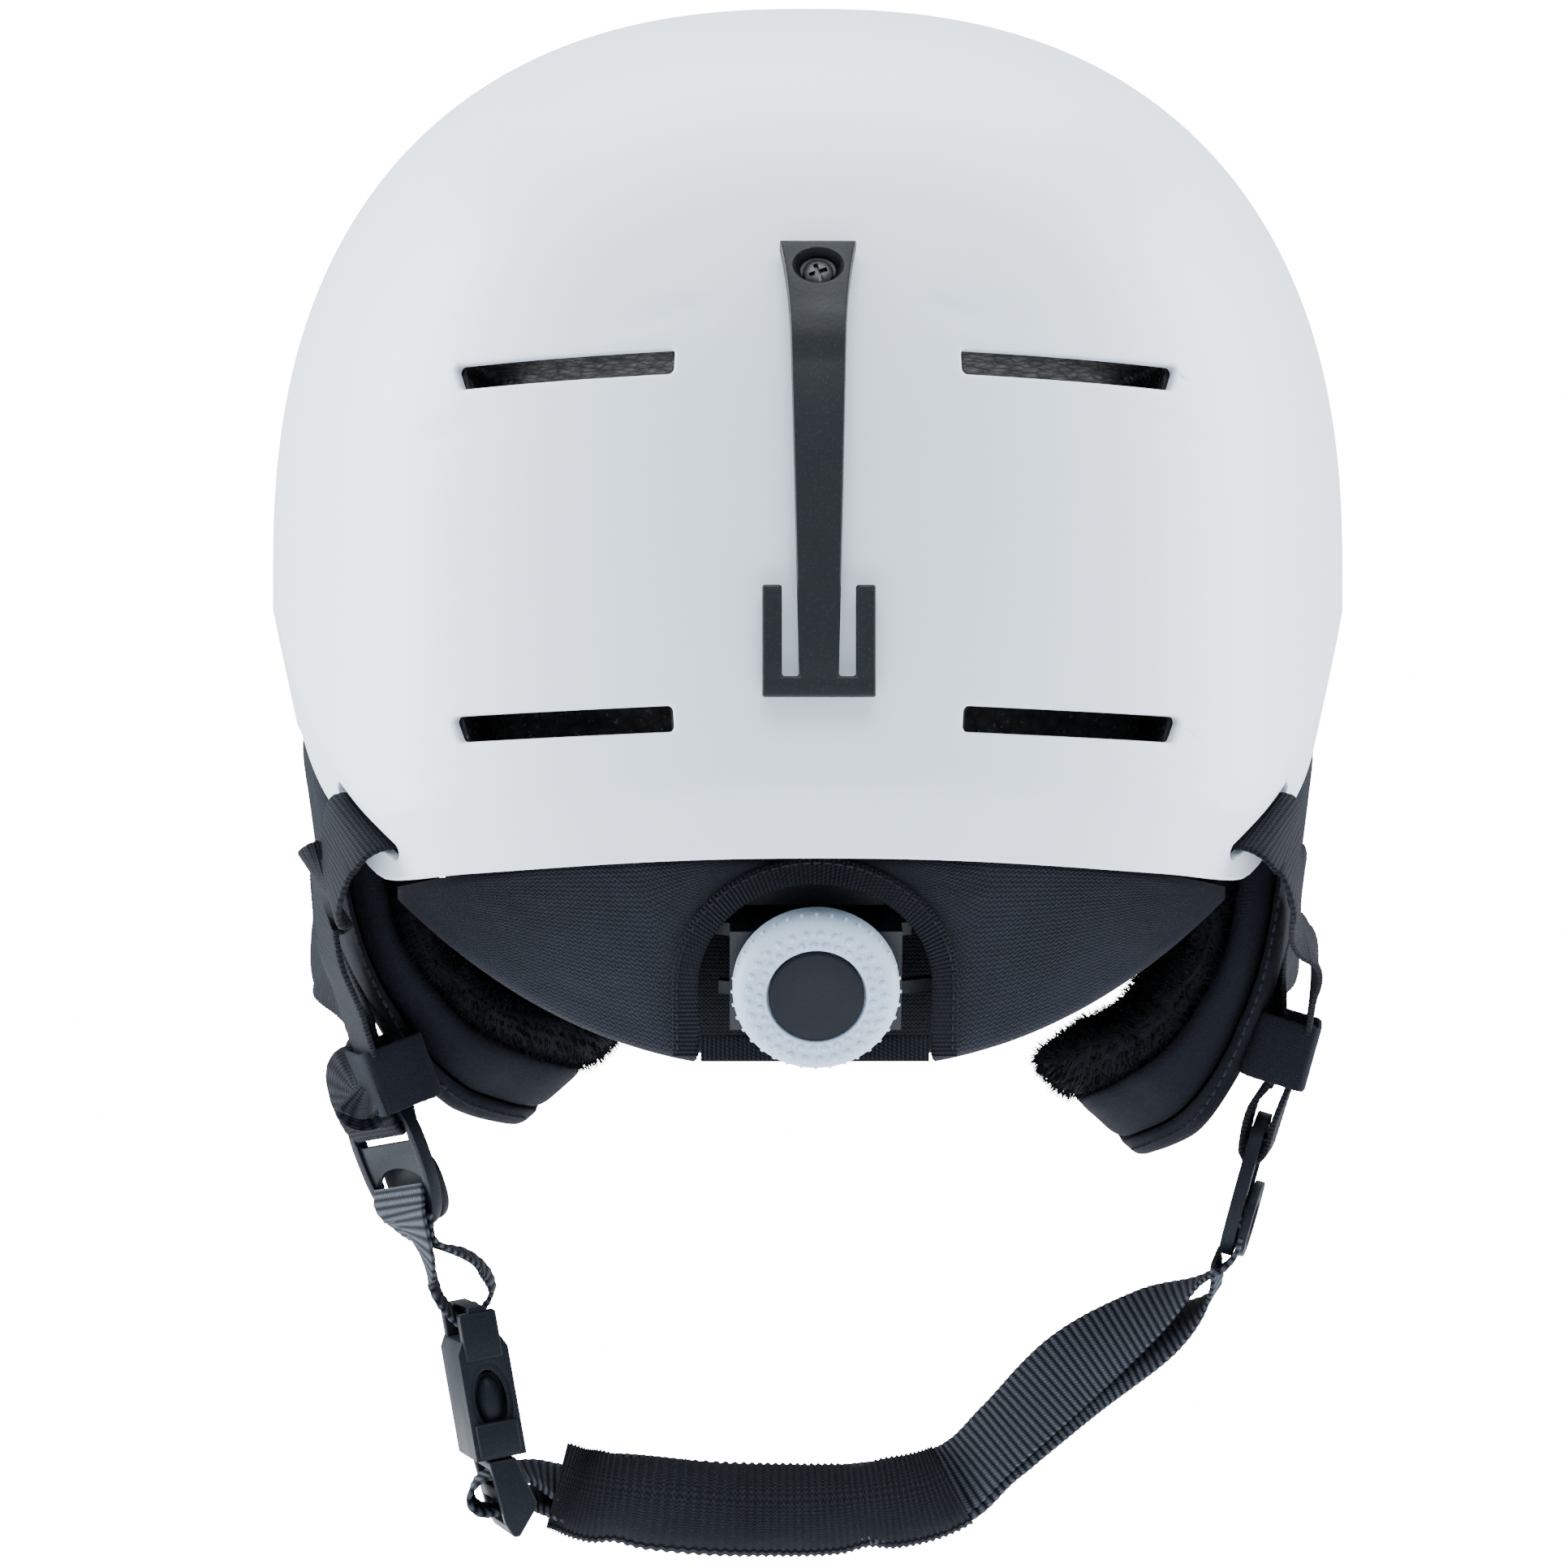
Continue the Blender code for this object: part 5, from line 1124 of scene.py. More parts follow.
def dome(name, outer, inner, lift, turns, counts, slots):
    """The dome between two insets of the styled surface, with its slots and a rounded rim."""
    points, faces = [], []
    edge = RIM_EDGE

    def heights(turn):
        t = folded(turn)
        marks = (CROWN_Z, value_on(UPPER_CREASE, t), value_on(LOWER_CREASE, t),
                 rim_height(t) + lift + edge)
        rows = []
        for band, count in enumerate(counts):
            for k in range(1, count + 1):
                share = (k / count) ** (2.0 if band == 0 else 1.0)
                rows.append(marks[band] + (marks[band + 1] - marks[band]) * share)
        return rows

    rows = sum(counts)
    base = {}
    for inset in (outer, inner):
        base[inset] = len(points)
        points.append(Vector((0, 0, CROWN_Z - inset)))
        for i in range(turns):
            turn = 360 * i / turns
            points += [shell_point(turn, z, inset) for z in heights(turn)]

    def at(inset, i, k):
        return base[inset] + 1 + (i % turns) * rows + k

    holes = {outer: [], inner: []}
    for slot in slots:
        back = slot.place.inverted()
        for inset in (outer, inner):
            if inset == inner and slot.depth:
                continue
            near = []
            for i in range(turns):
                if (points[at(inset, i, 0)] - slot.place.translation).length > 400:
                    continue
                for k in range(rows):
                    local = back @ points[at(inset, i, k)]
                    if abs(local.z) < 30 and abs(local.x) < slot.half[0] and abs(
                            local.y) < slot.half[1]:
                        near.append((i, k))
            columns = sorted({(i + turns // 2) % turns - turns // 2 for i, _ in near})
            if columns[-1] - columns[0] > turns // 2:
                columns = sorted({i % turns for i in columns})
            ks = [k for _, k in near]
            box = (columns[0] - 1, columns[-1] + 1, max(min(ks) - 1, 0),
                   min(max(ks) + 1, rows - 1))
            holes[inset].append((slot, box))

    for inset in (outer, inner):
        gone = set()
        for slot, (i0, i1, k0, k1) in holes[inset]:
            gone |= {(i % turns, k) for i in range(i0, i1) for k in range(k0, k1)}
        for i in range(turns):
            faces.append((base[inset], at(inset, i, 0), at(inset, i + 1, 0)))
            for k in range(rows - 1):
                if (i, k) not in gone:
                    faces.append((at(inset, i, k), at(inset, i, k + 1), at(inset, i + 1, k + 1),
                                  at(inset, i + 1, k)))
    rings = {}
    for inset in (outer, inner):
        for slot, (i0, i1, k0, k1) in holes[inset]:
            border = [at(inset, i, k1) for i in range(i0, i1)]
            border += [at(inset, i1, k) for k in range(k1, k0, -1)]
            border += [at(inset, i, k0) for i in range(i1, i0, -1)]
            border += [at(inset, i0, k) for k in range(k0, k1)]
            reach = slot.margin
            loops = []
            for share in ((0.68, 0.4, 0.18, 0.0) if inset == outer else (0.5, 0.0)):
                start = len(points)
                for p, normal in slot.outline:
                    q = p + normal * share * reach
                    if inset == inner:
                        q = p + normal * (share * reach - slot.lip)
                    points.append(on_surface(slot.place @ Vector((q.x, q.y, -inset)), inset))
                loops.append(list(range(start, len(points))))
            faces += zipped(border, loops[0], points, slot)
            for a, b in zip(loops, loops[1:]):
                n = len(a)
                faces += [(a[i], a[(i + 1) % n], b[(i + 1) % n], b[i]) for i in range(n)]
            rings[id(slot), inset] = loops[-1]
    for slot, _ in holes[outer]:
        a = rings[id(slot), outer]
        down = slot.place.to_3x3() @ Vector((0, 0, -1))
        inwards = [slot.place.to_3x3() @ Vector((-n.x, -n.y, 0)) for _, n in slot.outline]
        top = [points[i].copy() for i in a]
        lip = slot.lip
        stages = [(lip * math.sin(math.radians(d)), lip * 1.3 * (1 - math.cos(math.radians(d))))
                  for d in (22, 45, 67, 90)] if lip else [(0.0, 0.4)]
        if slot.depth:
            stages.append((lip, slot.depth))
        for move, fall in stages:
            start = len(points)
            points += [p + d * move + down * fall for p, d in zip(top, inwards)]
            b = list(range(start, len(points)))
            n = len(a)
            faces += [(a[i], a[(i + 1) % n], b[(i + 1) % n], b[i]) for i in range(n)]
            a = b
        if slot.depth:
            faces.append(tuple(a))
        else:
            b = rings[id(slot), inner]
            n = len(a)
            faces += [(a[i], a[(i + 1) % n], b[(i + 1) % n], b[i]) for i in range(n)]
    wall = inner - outer
    turned_edge = [(wall / 2 * (1 - math.cos(math.radians(d))), edge * math.sin(math.radians(d)))
                   for d in (30, 60, 90, 120, 150)]
    last = [at(outer, i, rows - 1) for i in range(turns)]
    for move, fall in turned_edge:
        start = len(points)
        for i in range(turns):
            turn = 360 * i / turns
            z = rim_height(turn) + lift + edge
            points.append(shell_point(turn, z, outer + move) - Vector((0, 0, fall)))
        ring = list(range(start, len(points)))
        faces += [(last[i], ring[i], ring[(i + 1) % turns], last[(i + 1) % turns])
                  for i in range(turns)]
        last = ring
    ring = [at(inner, i, rows - 1) for i in range(turns)]
    faces += [(last[i], ring[i], ring[(i + 1) % turns], last[(i + 1) % turns])
              for i in range(turns)]
    return close_up(new_piece(name, points, faces), 0.0000005)


def make_shell():
    s = sizes()
    lip = mm(s.lip)
    slots = vent_slots(mm(s.vent_length), mm(s.vent_height), VENT_ROUND, lip)
    a, b = mm(s.slot_length) / 2 + 0.3, mm(s.slot_height) / 2 + 0.3
    for side, _ in SIDES:
        slots.append(Slot(slot_frame(side), ((-a, -b), (a, -b), (a, b), (-a, b)), b - 0.05, 0.3,
                          margin=2.0))
    made = dome("helmet_shell", 0.0, SHELL_WALL, 0.0, 240, (48, 36, 8), slots)
    smooth(made, 42)
    give(made, "shell", replaces=("outer_shell",))


def make_liner():
    s = sizes()
    slots = vent_slots(mm(s.vent_length) - 2.2, mm(s.vent_height) + 3.0, 1.6, 0.0, VENT_POCKET)
    top = SHELL_WALL + GAP
    made = dome("foam_liner", top, top + LINER_WALL, LINER_LIFT, 160, (34, 26, 6), slots)
    smooth(made, 42)
    give(made, "foam", replaces=("eps_liner",))


# ---------------------------------------------------------------- goggle retainer

def clip_frame(z):
    """Place on the retainer's centre line: x across it, y up the shell, z outwards."""
    up = (shell_point(0, z + 1) - shell_point(0, z - 1)).normalized()
    return frame_at(shell_point(0, z), (1, 0, 0), (0, -up.z, up.y))


def plate(name, us, vs, filled, place):
    """A plate of cells; place(u, v, side) gives a corner on its back (0) or its front (1)."""
    points, index, faces = [], {}, []

    def corner(i, j, side):
        if (i, j, side) not in index:
            index[i, j, side] = len(points)
            points.append(place(us[i], vs[j], side))
        return index[i, j, side]

    def solid(i, j):
        inside = 0 <= i < len(us) - 1 and 0 <= j < len(vs) - 1
        return inside and filled((us[i] + us[i + 1]) / 2, (vs[j] + vs[j + 1]) / 2)

    for i in range(len(us) - 1):
        for j in range(len(vs) - 1):
            if not solid(i, j):
                continue
            loop = ((i, j), (i + 1, j), (i + 1, j + 1), (i, j + 1))
            for side in (0, 1):
                faces.append([corner(*c, side) for c in loop])
            beyond = ((i, j - 1), (i + 1, j), (i, j + 1), (i - 1, j))
            for k in range(4):
                if not solid(*beyond[k]):
                    a, b = loop[k], loop[(k + 1) % 4]
                    faces.append([corner(*a, 0), corner(*b, 0), corner(*b, 1), corner(*a, 1)])
    return close_up(new_piece(name, points, faces), 0.0000001)


def make_retainer():
    bar_top = CLIP_END_Z + CLIP_BAR_HEIGHT
    prong_top = bar_top + CLIP_PRONG_HEIGHT
    half_bar, prong = CLIP_BAR_HALF, CLIP_PRONG_WIDTH
    step_z = CLIP_BEND_Z - CLIP_STEP
    us = (-half_bar, -half_bar + prong, -1, 0, 1, half_bar - prong, half_bar)
    vs = steps(CLIP_END_Z, bar_top, 2) + steps(bar_top, prong_top, 8)[1:]
    vs += steps(prong_top, step_z, 22)[1:] + steps(step_z, CLIP_TOP_Z, 12)[1:]

    def filled(u, v):
        if v < bar_top or abs(u) < 3:
            return True
        return abs(u) > half_bar - prong and v < prong_top

    def place(u, z, side):
        if abs(u) == 1:
            share = max((z - bar_top) / (CLIP_BEND_Z - bar_top), 0)
            flare = max((z - CLIP_BEND_Z + 6) / (CLIP_TOP_Z - CLIP_BEND_Z + 6), 0)
            u *= CLIP_TIP_HALF + CLIP_ARM_SPREAD * min(share, 1) + CLIP_HEAD_SPREAD * flare ** 2.2
        rise = min(max((z - step_z) / (CLIP_STEP * 1.5), 0), 1)
        stand = CLIP_ARM_STAND - (CLIP_ARM_STAND - CLIP_BASE_STAND) * rise
        thick = CLIP_THICKNESS + CLIP_HEAD_RISE * rise * side
        if bar_top < z < CLIP_BEND_Z - 6:
            thick -= CLIP_ARM_THIN * side
        return clip_frame(z) @ Vector((u, 0, stand + side * thick))

    made = plate("goggle_retainer", us, vs, filled, place)
    head = CLIP_BASE_STAND + CLIP_THICKNESS + CLIP_HEAD_RISE
    seat = head - CUP_DEPTH
    cup = lathe("cup", ((0, seat), (3.3, seat), (3.9, head - 1.6), (5.2, head + 0.6),
                        (5.2, head + 3), (0, head + 3)),
                clip_frame(SCREW_Z + 0.9) @ Matrix.Diagonal((0.98, 0.74, 1, 1)), 64)
    bevelled(made, 0.5, 3, 35)
    close_up(cup, 0.0000001)
    cut_by(made, cup)
    smooth(made, 32)
    made.data.materials.clear()
    made.data.materials.append(finish("moulded"))
    start, end = clip_frame(CLIP_BEND_Z + 3), clip_frame(CLIP_BEND_Z - 3)
    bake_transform(made)
    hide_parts("goggle_clip_base", "goggle_clip_arm")

    place = clip_frame(SCREW_Z)
    screw = lathe("goggle_clip_cross_screw",
                  ((0, seat - 8), (1.5, seat - 8), (1.5, seat), (2.8, seat), (2.8, seat + 0.7),
                   (2.6, seat + 1.1), (2.1, seat + 1.35), (1.2, seat + 1.5), (0, seat + 1.55)),
                  place, 48)
    for turn in (20, 110):
        spun = place @ Matrix.Rotation(math.radians(turn), 4, "Z")
        arm = box_piece("cross", spun, (-1.75, -0.42, seat + 0.5), (1.75, 0.42, seat + 3))
        cut_by(screw, arm)
    smooth(screw, 35)
    give(screw, "steel", replaces=("goggle_clip_screw",))


# ---------------------------------------------------------------- fit dial

def dial_frame():
    tilt = math.radians(DIAL_TILT)
    return frame_at(DIAL_CENTRE, (1, 0, 0), (0, -math.cos(tilt), -math.sin(tilt)))


def make_dial():
    s = sizes()
    place = dial_frame()
    radius, back = mm(s.knob) / 2, KNOB_BACK
    front = back + mm(s.knob_depth)
    cap = mm(s.cap) / 2
    outline = [(1.9, back), (radius - 0.9, back), (radius - 0.25, back + 0.2), (radius, back + 0.7),
               (radius, front - KNOB_ROUND)]
    outline += [(radius - KNOB_ROUND * (1 - math.cos(a)), front - KNOB_ROUND * (1 - math.sin(a)))
                for a in (math.radians(d) for d in range(15, 91, 15))]
    outline += [(cap + 1.0, front + 0.1), (cap + 0.55, front), (cap + 0.32, front - 0.35),
                (cap + 0.3, front - CAP_RECESS), (1.9, front - CAP_RECESS), (1.9, back)]
    knob = lathe("fit_dial_knob", outline, place, 128)
    parts = [knob]
    for k in range(RIB_COUNT):
        spun = place @ Matrix.Rotation(2 * math.pi * k / RIB_COUNT, 4, "Z")
        tilt = spun @ Matrix.Translation((radius - 1.15, 0, front - 1.55)) @ Matrix.Rotation(
            math.radians(47), 4, "Y")
        rib = box_piece("rib", tilt, (-1.9, -0.34, -0.5), (1.9, 0.34, 0.42))
        parts.append(bevelled(rib, 0.22, 2))
    for inside, start in BEAD_RINGS:
        ring = radius - inside
        for k in range(BEAD_COUNT):
            angle = 2 * math.pi * (k + start) / BEAD_COUNT
            deselect()
            bpy.ops.mesh.primitive_uv_sphere_add(segments=10, ring_count=6, radius=BEAD_RADIUS * MM,
                                                 location=(0, 0, 0))
            bead = bpy.context.object
            spot = (ring * math.cos(angle), ring * math.sin(angle), front + 0.05)
            parts.append(put(bead, place @ Matrix.Translation(spot)))
    knob = joined(parts, "fit_dial_knob")
    smooth(knob, 35)
    give(knob, "knob", "fit_dial", ("dial_knob",))
    recess = front - CAP_RECESS
    disc = lathe("fit_dial_cap", ((0, recess + 0.3), (cap, recess + 0.3), (cap, front - 0.45),
                                  (cap - 0.25, front - 0.2), (cap - 0.7, front - 0.1),
                                  (cap / 2, front + 0.02), (0, front + 0.06)), place, 96)
    give(disc, "cap", "fit_dial", ("dial_cap",))


# ---------------------------------------------------------------- nape pad

def nape_rear(x, z):
    return NAPE_Y + NAPE_SLOPE * (ARCH_TOP_Z + 3.5 - z) + x * x / NAPE_ROUND


def nape_top(x):
    return NAPE_TOP_Z - NAPE_TOP_DROP * (abs(x) / NAPE_HALF_WIDTH) ** 3


def nape_bottom(x):
    share = min(abs(x) / NAPE_HALF_WIDTH, 1)
    return NAPE_LOW_Z + (NAPE_END_Z - NAPE_LOW_Z) * share ** NAPE_POWER


def nape_edge(count):
    """Points along the pad's lower edge, up round the arch and down again."""
    arch = ARCH_HALF_WIDTH
    line = [(x, nape_bottom(x)) for x in steps(-NAPE_HALF_WIDTH, -arch, 20)]
    foot = ARCH_TOP_Z - ARCH_RISE
    line += [(-arch, z) for z in steps(nape_bottom(arch), foot, 8)[1:]]
    for k in range(1, 24):
        x = -arch * math.cos(math.pi * k / 24)
        share = min(abs(x) / arch, 1)
        line.append((x, foot + ARCH_RISE * math.sqrt(max(0.0, 1 - share ** ARCH_POWER))))
    line += [(-x, z) for x, z in reversed(line[:28])]
    reach = [0.0]
    for a, b in zip(line, line[1:]):
        reach.append(reach[-1] + math.dist(a, b))
    made, k = [], 0
    for i in range(count + 1):
        s = reach[-1] * i / count
        while k < len(reach) - 2 and reach[k + 1] < s:
            k += 1
        t = (s - reach[k]) / (reach[k + 1] - reach[k])
        made.append(tuple(a + (b - a) * t for a, b in zip(line[k], line[k + 1])))
    return made


def stitches(name, path, outs, spacing, size, finish_name):
    """Thread stitches along a path, standing a little out of the cloth."""
    fine = spline(path, 400)
    fine_out = spline(outs, 400)
    reach = 0.0
    parts, made = [], 0
    for a, b, out in zip(fine, fine[1:], fine_out):
        reach += (b - a).length
        if reach >= spacing * (made + 1):
            made += 1
            place = frame_at(a, b - a, out)
            piece = box_piece("stitch", place, (-size[0] / 2, -size[1] / 2, -0.3),
                              (size[0] / 2, size[1] / 2, size[2]))
            parts.append(piece)
    whole = joined(parts, name)
    bevelled(whole, min(size[1], size[2]) * 0.4, 2)
    smooth(whole, 50)
    give(whole, finish_name)
    return whole


def make_nape():
    thick, count = NAPE_THICKNESS, 150
    edge = nape_edge(count)

    def place(u, v, side):
        k = min(int(u * count), count - 1)
        t = u * count - k
        low_x = edge[k][0] + (edge[k + 1][0] - edge[k][0]) * t
        low_z = edge[k][1] + (edge[k + 1][1] - edge[k][1]) * t
        top_x = -NAPE_HALF_WIDTH + 2 * NAPE_HALF_WIDTH * u
        x = top_x + (low_x - top_x) * v
        top = nape_top(x)
        z = top + (low_z - top) * v
        puff = 1 + 0.16 * math.sin(math.pi * v) * math.sin(math.pi * u)
        ripple = 0.35 * wave((x, z, 0), 13, 2.0) + 0.18 * wave((x, z * 2.4, 5), 6, 4.0)
        y = nape_rear(x, z) + thick / 2 - side * thick / 2 * puff - ripple
        return Vector((x, y, z))

    def reach(u):
        k = min(int(u * count), count - 1)
        return min(0.5, 2.2 / max(nape_top(edge[k][0]) - edge[k][1], 2.4))

    pad = pillow("nape_cushion", [k / 200 for k in range(201)], eased(34), place,
                 (2 * NAPE_HALF_WIDTH, 38), 0.02, reach)
    give(pad, "knit", replaces=("nape_pad",))

    middle = ARCH_HALF_WIDTH + 2.3
    foot = nape_bottom(middle) + 1.2
    path, across = [], []
    for k in range(17):
        angle = math.pi * k / 16
        x = -middle * math.cos(angle)
        z = ARCH_TOP_Z - ARCH_RISE + (ARCH_RISE + 1.4) * math.sin(angle)
        path.append((x, z))
        across.append(Vector((math.cos(angle), 0, -math.sin(angle))))
    low = [(-middle, foot), (-middle, (foot + path[0][1]) / 2)]
    path = low + path + [(-x, z) for x, z in reversed(low)]
    across = [Vector((1, 0, 0))] * 2 + across + [Vector((-1, 0, 0))] * 2
    path = [Vector((x, nape_rear(abs(x), z) - 1.1, z)) for x, z in path]
    tape = strap("nape_binding_tape", path, across, BINDING_WIDTH,
                 BINDING_THICKNESS, rib=0.85, depth=0.10)
    give(tape, "fine_webbing", replaces=("nape_binding",))
    outs = [Vector((0, -1, 0.25))] * len(path)
    seam = [p + Vector((0, -0.75, 0)) - a * 1.5 * (1 if p.x < 0 else 1)
            for p, a in zip(path, across)]
    stitches("nape_binding_stitches", seam, outs, 2.0, (1.35, 0.36, 0.22), "webbing")

    strip_z = nape_bottom(ARCH_HALF_WIDTH) + 2.9
    reach_x = ARCH_HALF_WIDTH - 0.6
    strip = [Vector((x, nape_rear(0, strip_z) + 1.6, strip_z)) for x in
             steps(-reach_x, reach_x, 6)]
    made = strap("nape_bottom_tape", strip, [Vector((0, 0, 1))] * 7, *BOTTOM_TAPE, rib=0.8)
    give(made, "fine_webbing", replaces=("nape_tape",))

    low_z, high_z = nape_bottom(ARCH_HALF_WIDTH) + 1.0, NAPE_TOP_Z - 3

    def lining(u, v, side):
        x = -LINING_HALF_WIDTH + 2 * LINING_HALF_WIDTH * u
        z = high_z + (low_z - high_z) * v
        y = nape_rear(x, z) + LINING_STAND + LINING_THICKNESS / 2 * (1 - side)
        y += 0.5 * wave((x, z, 9), 12, 3.0)
        return Vector((x, y, z))

    made = pillow("nape_back_lining", eased(40), eased(30), lining, (50, 36), 0.03, 0.04)
    give(made, "lining", replaces=("nape_lining",))


# ---------------------------------------------------------------- ear pads

def ear_edge(y):
    full = REAR_DEPTH - 3 if y < 0 else FRONT_DEPTH - 3
    share = min(abs(y) / full, 1) ** (PLAN_POWER / 2)
    turn = math.degrees(math.acos(share))
    return rim_height(turn if y < 0 else 180 - turn)


def ear_point(side, y, v, layer):
    """Point of an ear pad: y along the side, v from its top to its bottom, layer from the
    outer face (0) to the inner face (1)."""
    ends = []
    for line in (EAR_OUTER, EAR_INNER):
        marks = [(k / (len(line) - 1), p) for k, p in enumerate(line)]
        ends.append([value_on([(t, p[axis]) for t, p in marks], v) for axis in (0, 1)])
    x = ends[0][0] + (ends[1][0] - ends[0][0]) * layer
    z = ends[0][1] + (ends[1][1] - ends[0][1]) * layer
    top = ear_edge(y * (1 + 0.22 * layer)) - EAR_CLEAR
    z += (top - EAR_OUTER[0][1]) * max(0.0, 1 - v / 0.5)
    x -= EAR_TUCK[side] * v ** 1.5
    z += EAR_TUCK[side] * 0.7 * v ** 1.5
    plan = (1 - (abs(y) / (REAR_DEPTH - 3)) ** PLAN_POWER) ** (1 / PLAN_POWER)
    return Vector((dict(SIDES)[side] * x * plan, y, z))


def ear_y(u, v):
    rear, front = (EAR_REAR_Y + EAR_REAR_TAPER * v ** 2.4,
                   EAR_FRONT_Y - EAR_FRONT_TAPER * v ** 2.4)
    close = (1 - max(0.0, (v - 0.62) / 0.38) ** 2.6) ** (1 / 2.6)
    middle = (rear + front) / 2
    return middle + (rear - middle) * close + ((front - rear) * close) * u


def surface_spots(piece, count, seed):
    """Random (point, normal) places all over a mesh, in millimetres."""
    rng = random.Random(seed)
    mesh = piece.data
    weights = [p.area for p in mesh.polygons]
    made = []
    for face in rng.choices(mesh.polygons, weights=weights, k=count):
        corners = [mesh.vertices[i].co for i in face.vertices]
        shares = [rng.random() for _ in corners]
        total = sum(shares)
        spot = sum((c * (s / total) for c, s in zip(corners, shares)), Vector())
        made.append((spot / MM, face.normal.copy()))
    return made


def fibres(name, spots, reach, seed, width=0.42):
    """Closed spikes leaning every way, as the pile of a fleece."""
    rng = random.Random(seed)
    points, faces = [], []
    for spot, normal in spots:
        comb = Vector((wave(spot, 7, 1.0), wave(spot, 7, 5.0), wave(spot, 7, 9.0) - 0.35))
        lean = Vector([rng.uniform(-1, 1) for _ in range(3)])
        aim = (normal + comb * 1.3 + lean * 0.35).normalized()
        side = aim.cross(lean).normalized() * width / 2
        other = aim.cross(side)
        start = len(points)
        foot = spot - normal * 0.4
        points += [foot + side, foot - side * 0.5 + other * 0.87, foot - side * 0.5 - other * 0.87,
                   spot + aim * reach * rng.uniform(0.6, 1.1)]
        a, b, c, d = range(start, start + 4)
        faces += [(a, c, b), (a, b, d), (b, c, d), (c, a, d)]
    return new_piece(name, points, faces)


def make_ear_pads():
    for side, sign in SIDES:
        for part, outer, inner, look, swell in EAR_LAYERS:
            def place(u, v, face, outer=outer, inner=inner, swell=swell, side=side, part=part):
                y = ear_y(u, v)
                middle, half = (outer + inner) / 2, (inner - outer) / 2
                point = ear_point(side, y, v, middle + half * face)
                out = (ear_point(side, y, v, 0) - ear_point(side, y, v, 1)).normalized()
                bulge = swell * math.sin(math.pi * min(v * 1.1, 1)) * math.sin(math.pi * u)
                ripple = 0.35 * wave(point, 11, 3.0) + 0.2 * wave(point, 5, 7.0)
                if part == "fleece":
                    ripple = 0.8 * wave(point, 6, 3.0)
                return point - out * face * bulge * 0.5 + Vector((ripple * 0.5, ripple * 0.4,
                                                                ripple * 0.4))

            made = pillow(f"ear_pad_{part}_{side}", eased(44), eased(60), place, (98, 85),
                          *((0.12, 0.1) if part == "fleece" else (0.07, 0.07)))
            if part == "fleece":
                pile = fibres("pile", surface_spots(made, PILE_FIBRES, 11 + sign), mm(sizes().pile),
                              21 + sign)
                made = joined([made, pile], f"ear_pad_fleece_{side}")
            give(made, look,
                 replaces=(f"ear_{part}_{side}",))
        path = []
        for k in range(33):
            v = 0.10 + 0.86 * k / 32
            path.append(ear_point(side, ear_y(0.0, v), v, SEAM_LAYER) + Vector((0, -0.45, 0)))
        stitches(f"ear_pad_seam_outer_{side}", path, [Vector((0, -1, 0))] * 33, 2.4,
                 (1.6, 0.42, 0.3), "webbing")


# ---------------------------------------------------------------- straps

def hang_frame(side, drop=0.0, turn=None):
    """Frame on a side's strap run: x across the webbing, y up it, z out from the head."""
    sign = dict(SIDES)[side]
    down = HANG_DIRECTION[side].normalized()
    turn = math.radians(DIVIDER_TURN[side] if turn is None else turn)
    out = Vector((sign * math.cos(turn), -math.sin(turn), 0))
    out = (out - down * out.dot(down)).normalized()
    return frame_at(HANG_POINT[side] + down * drop, out.cross(down), out)


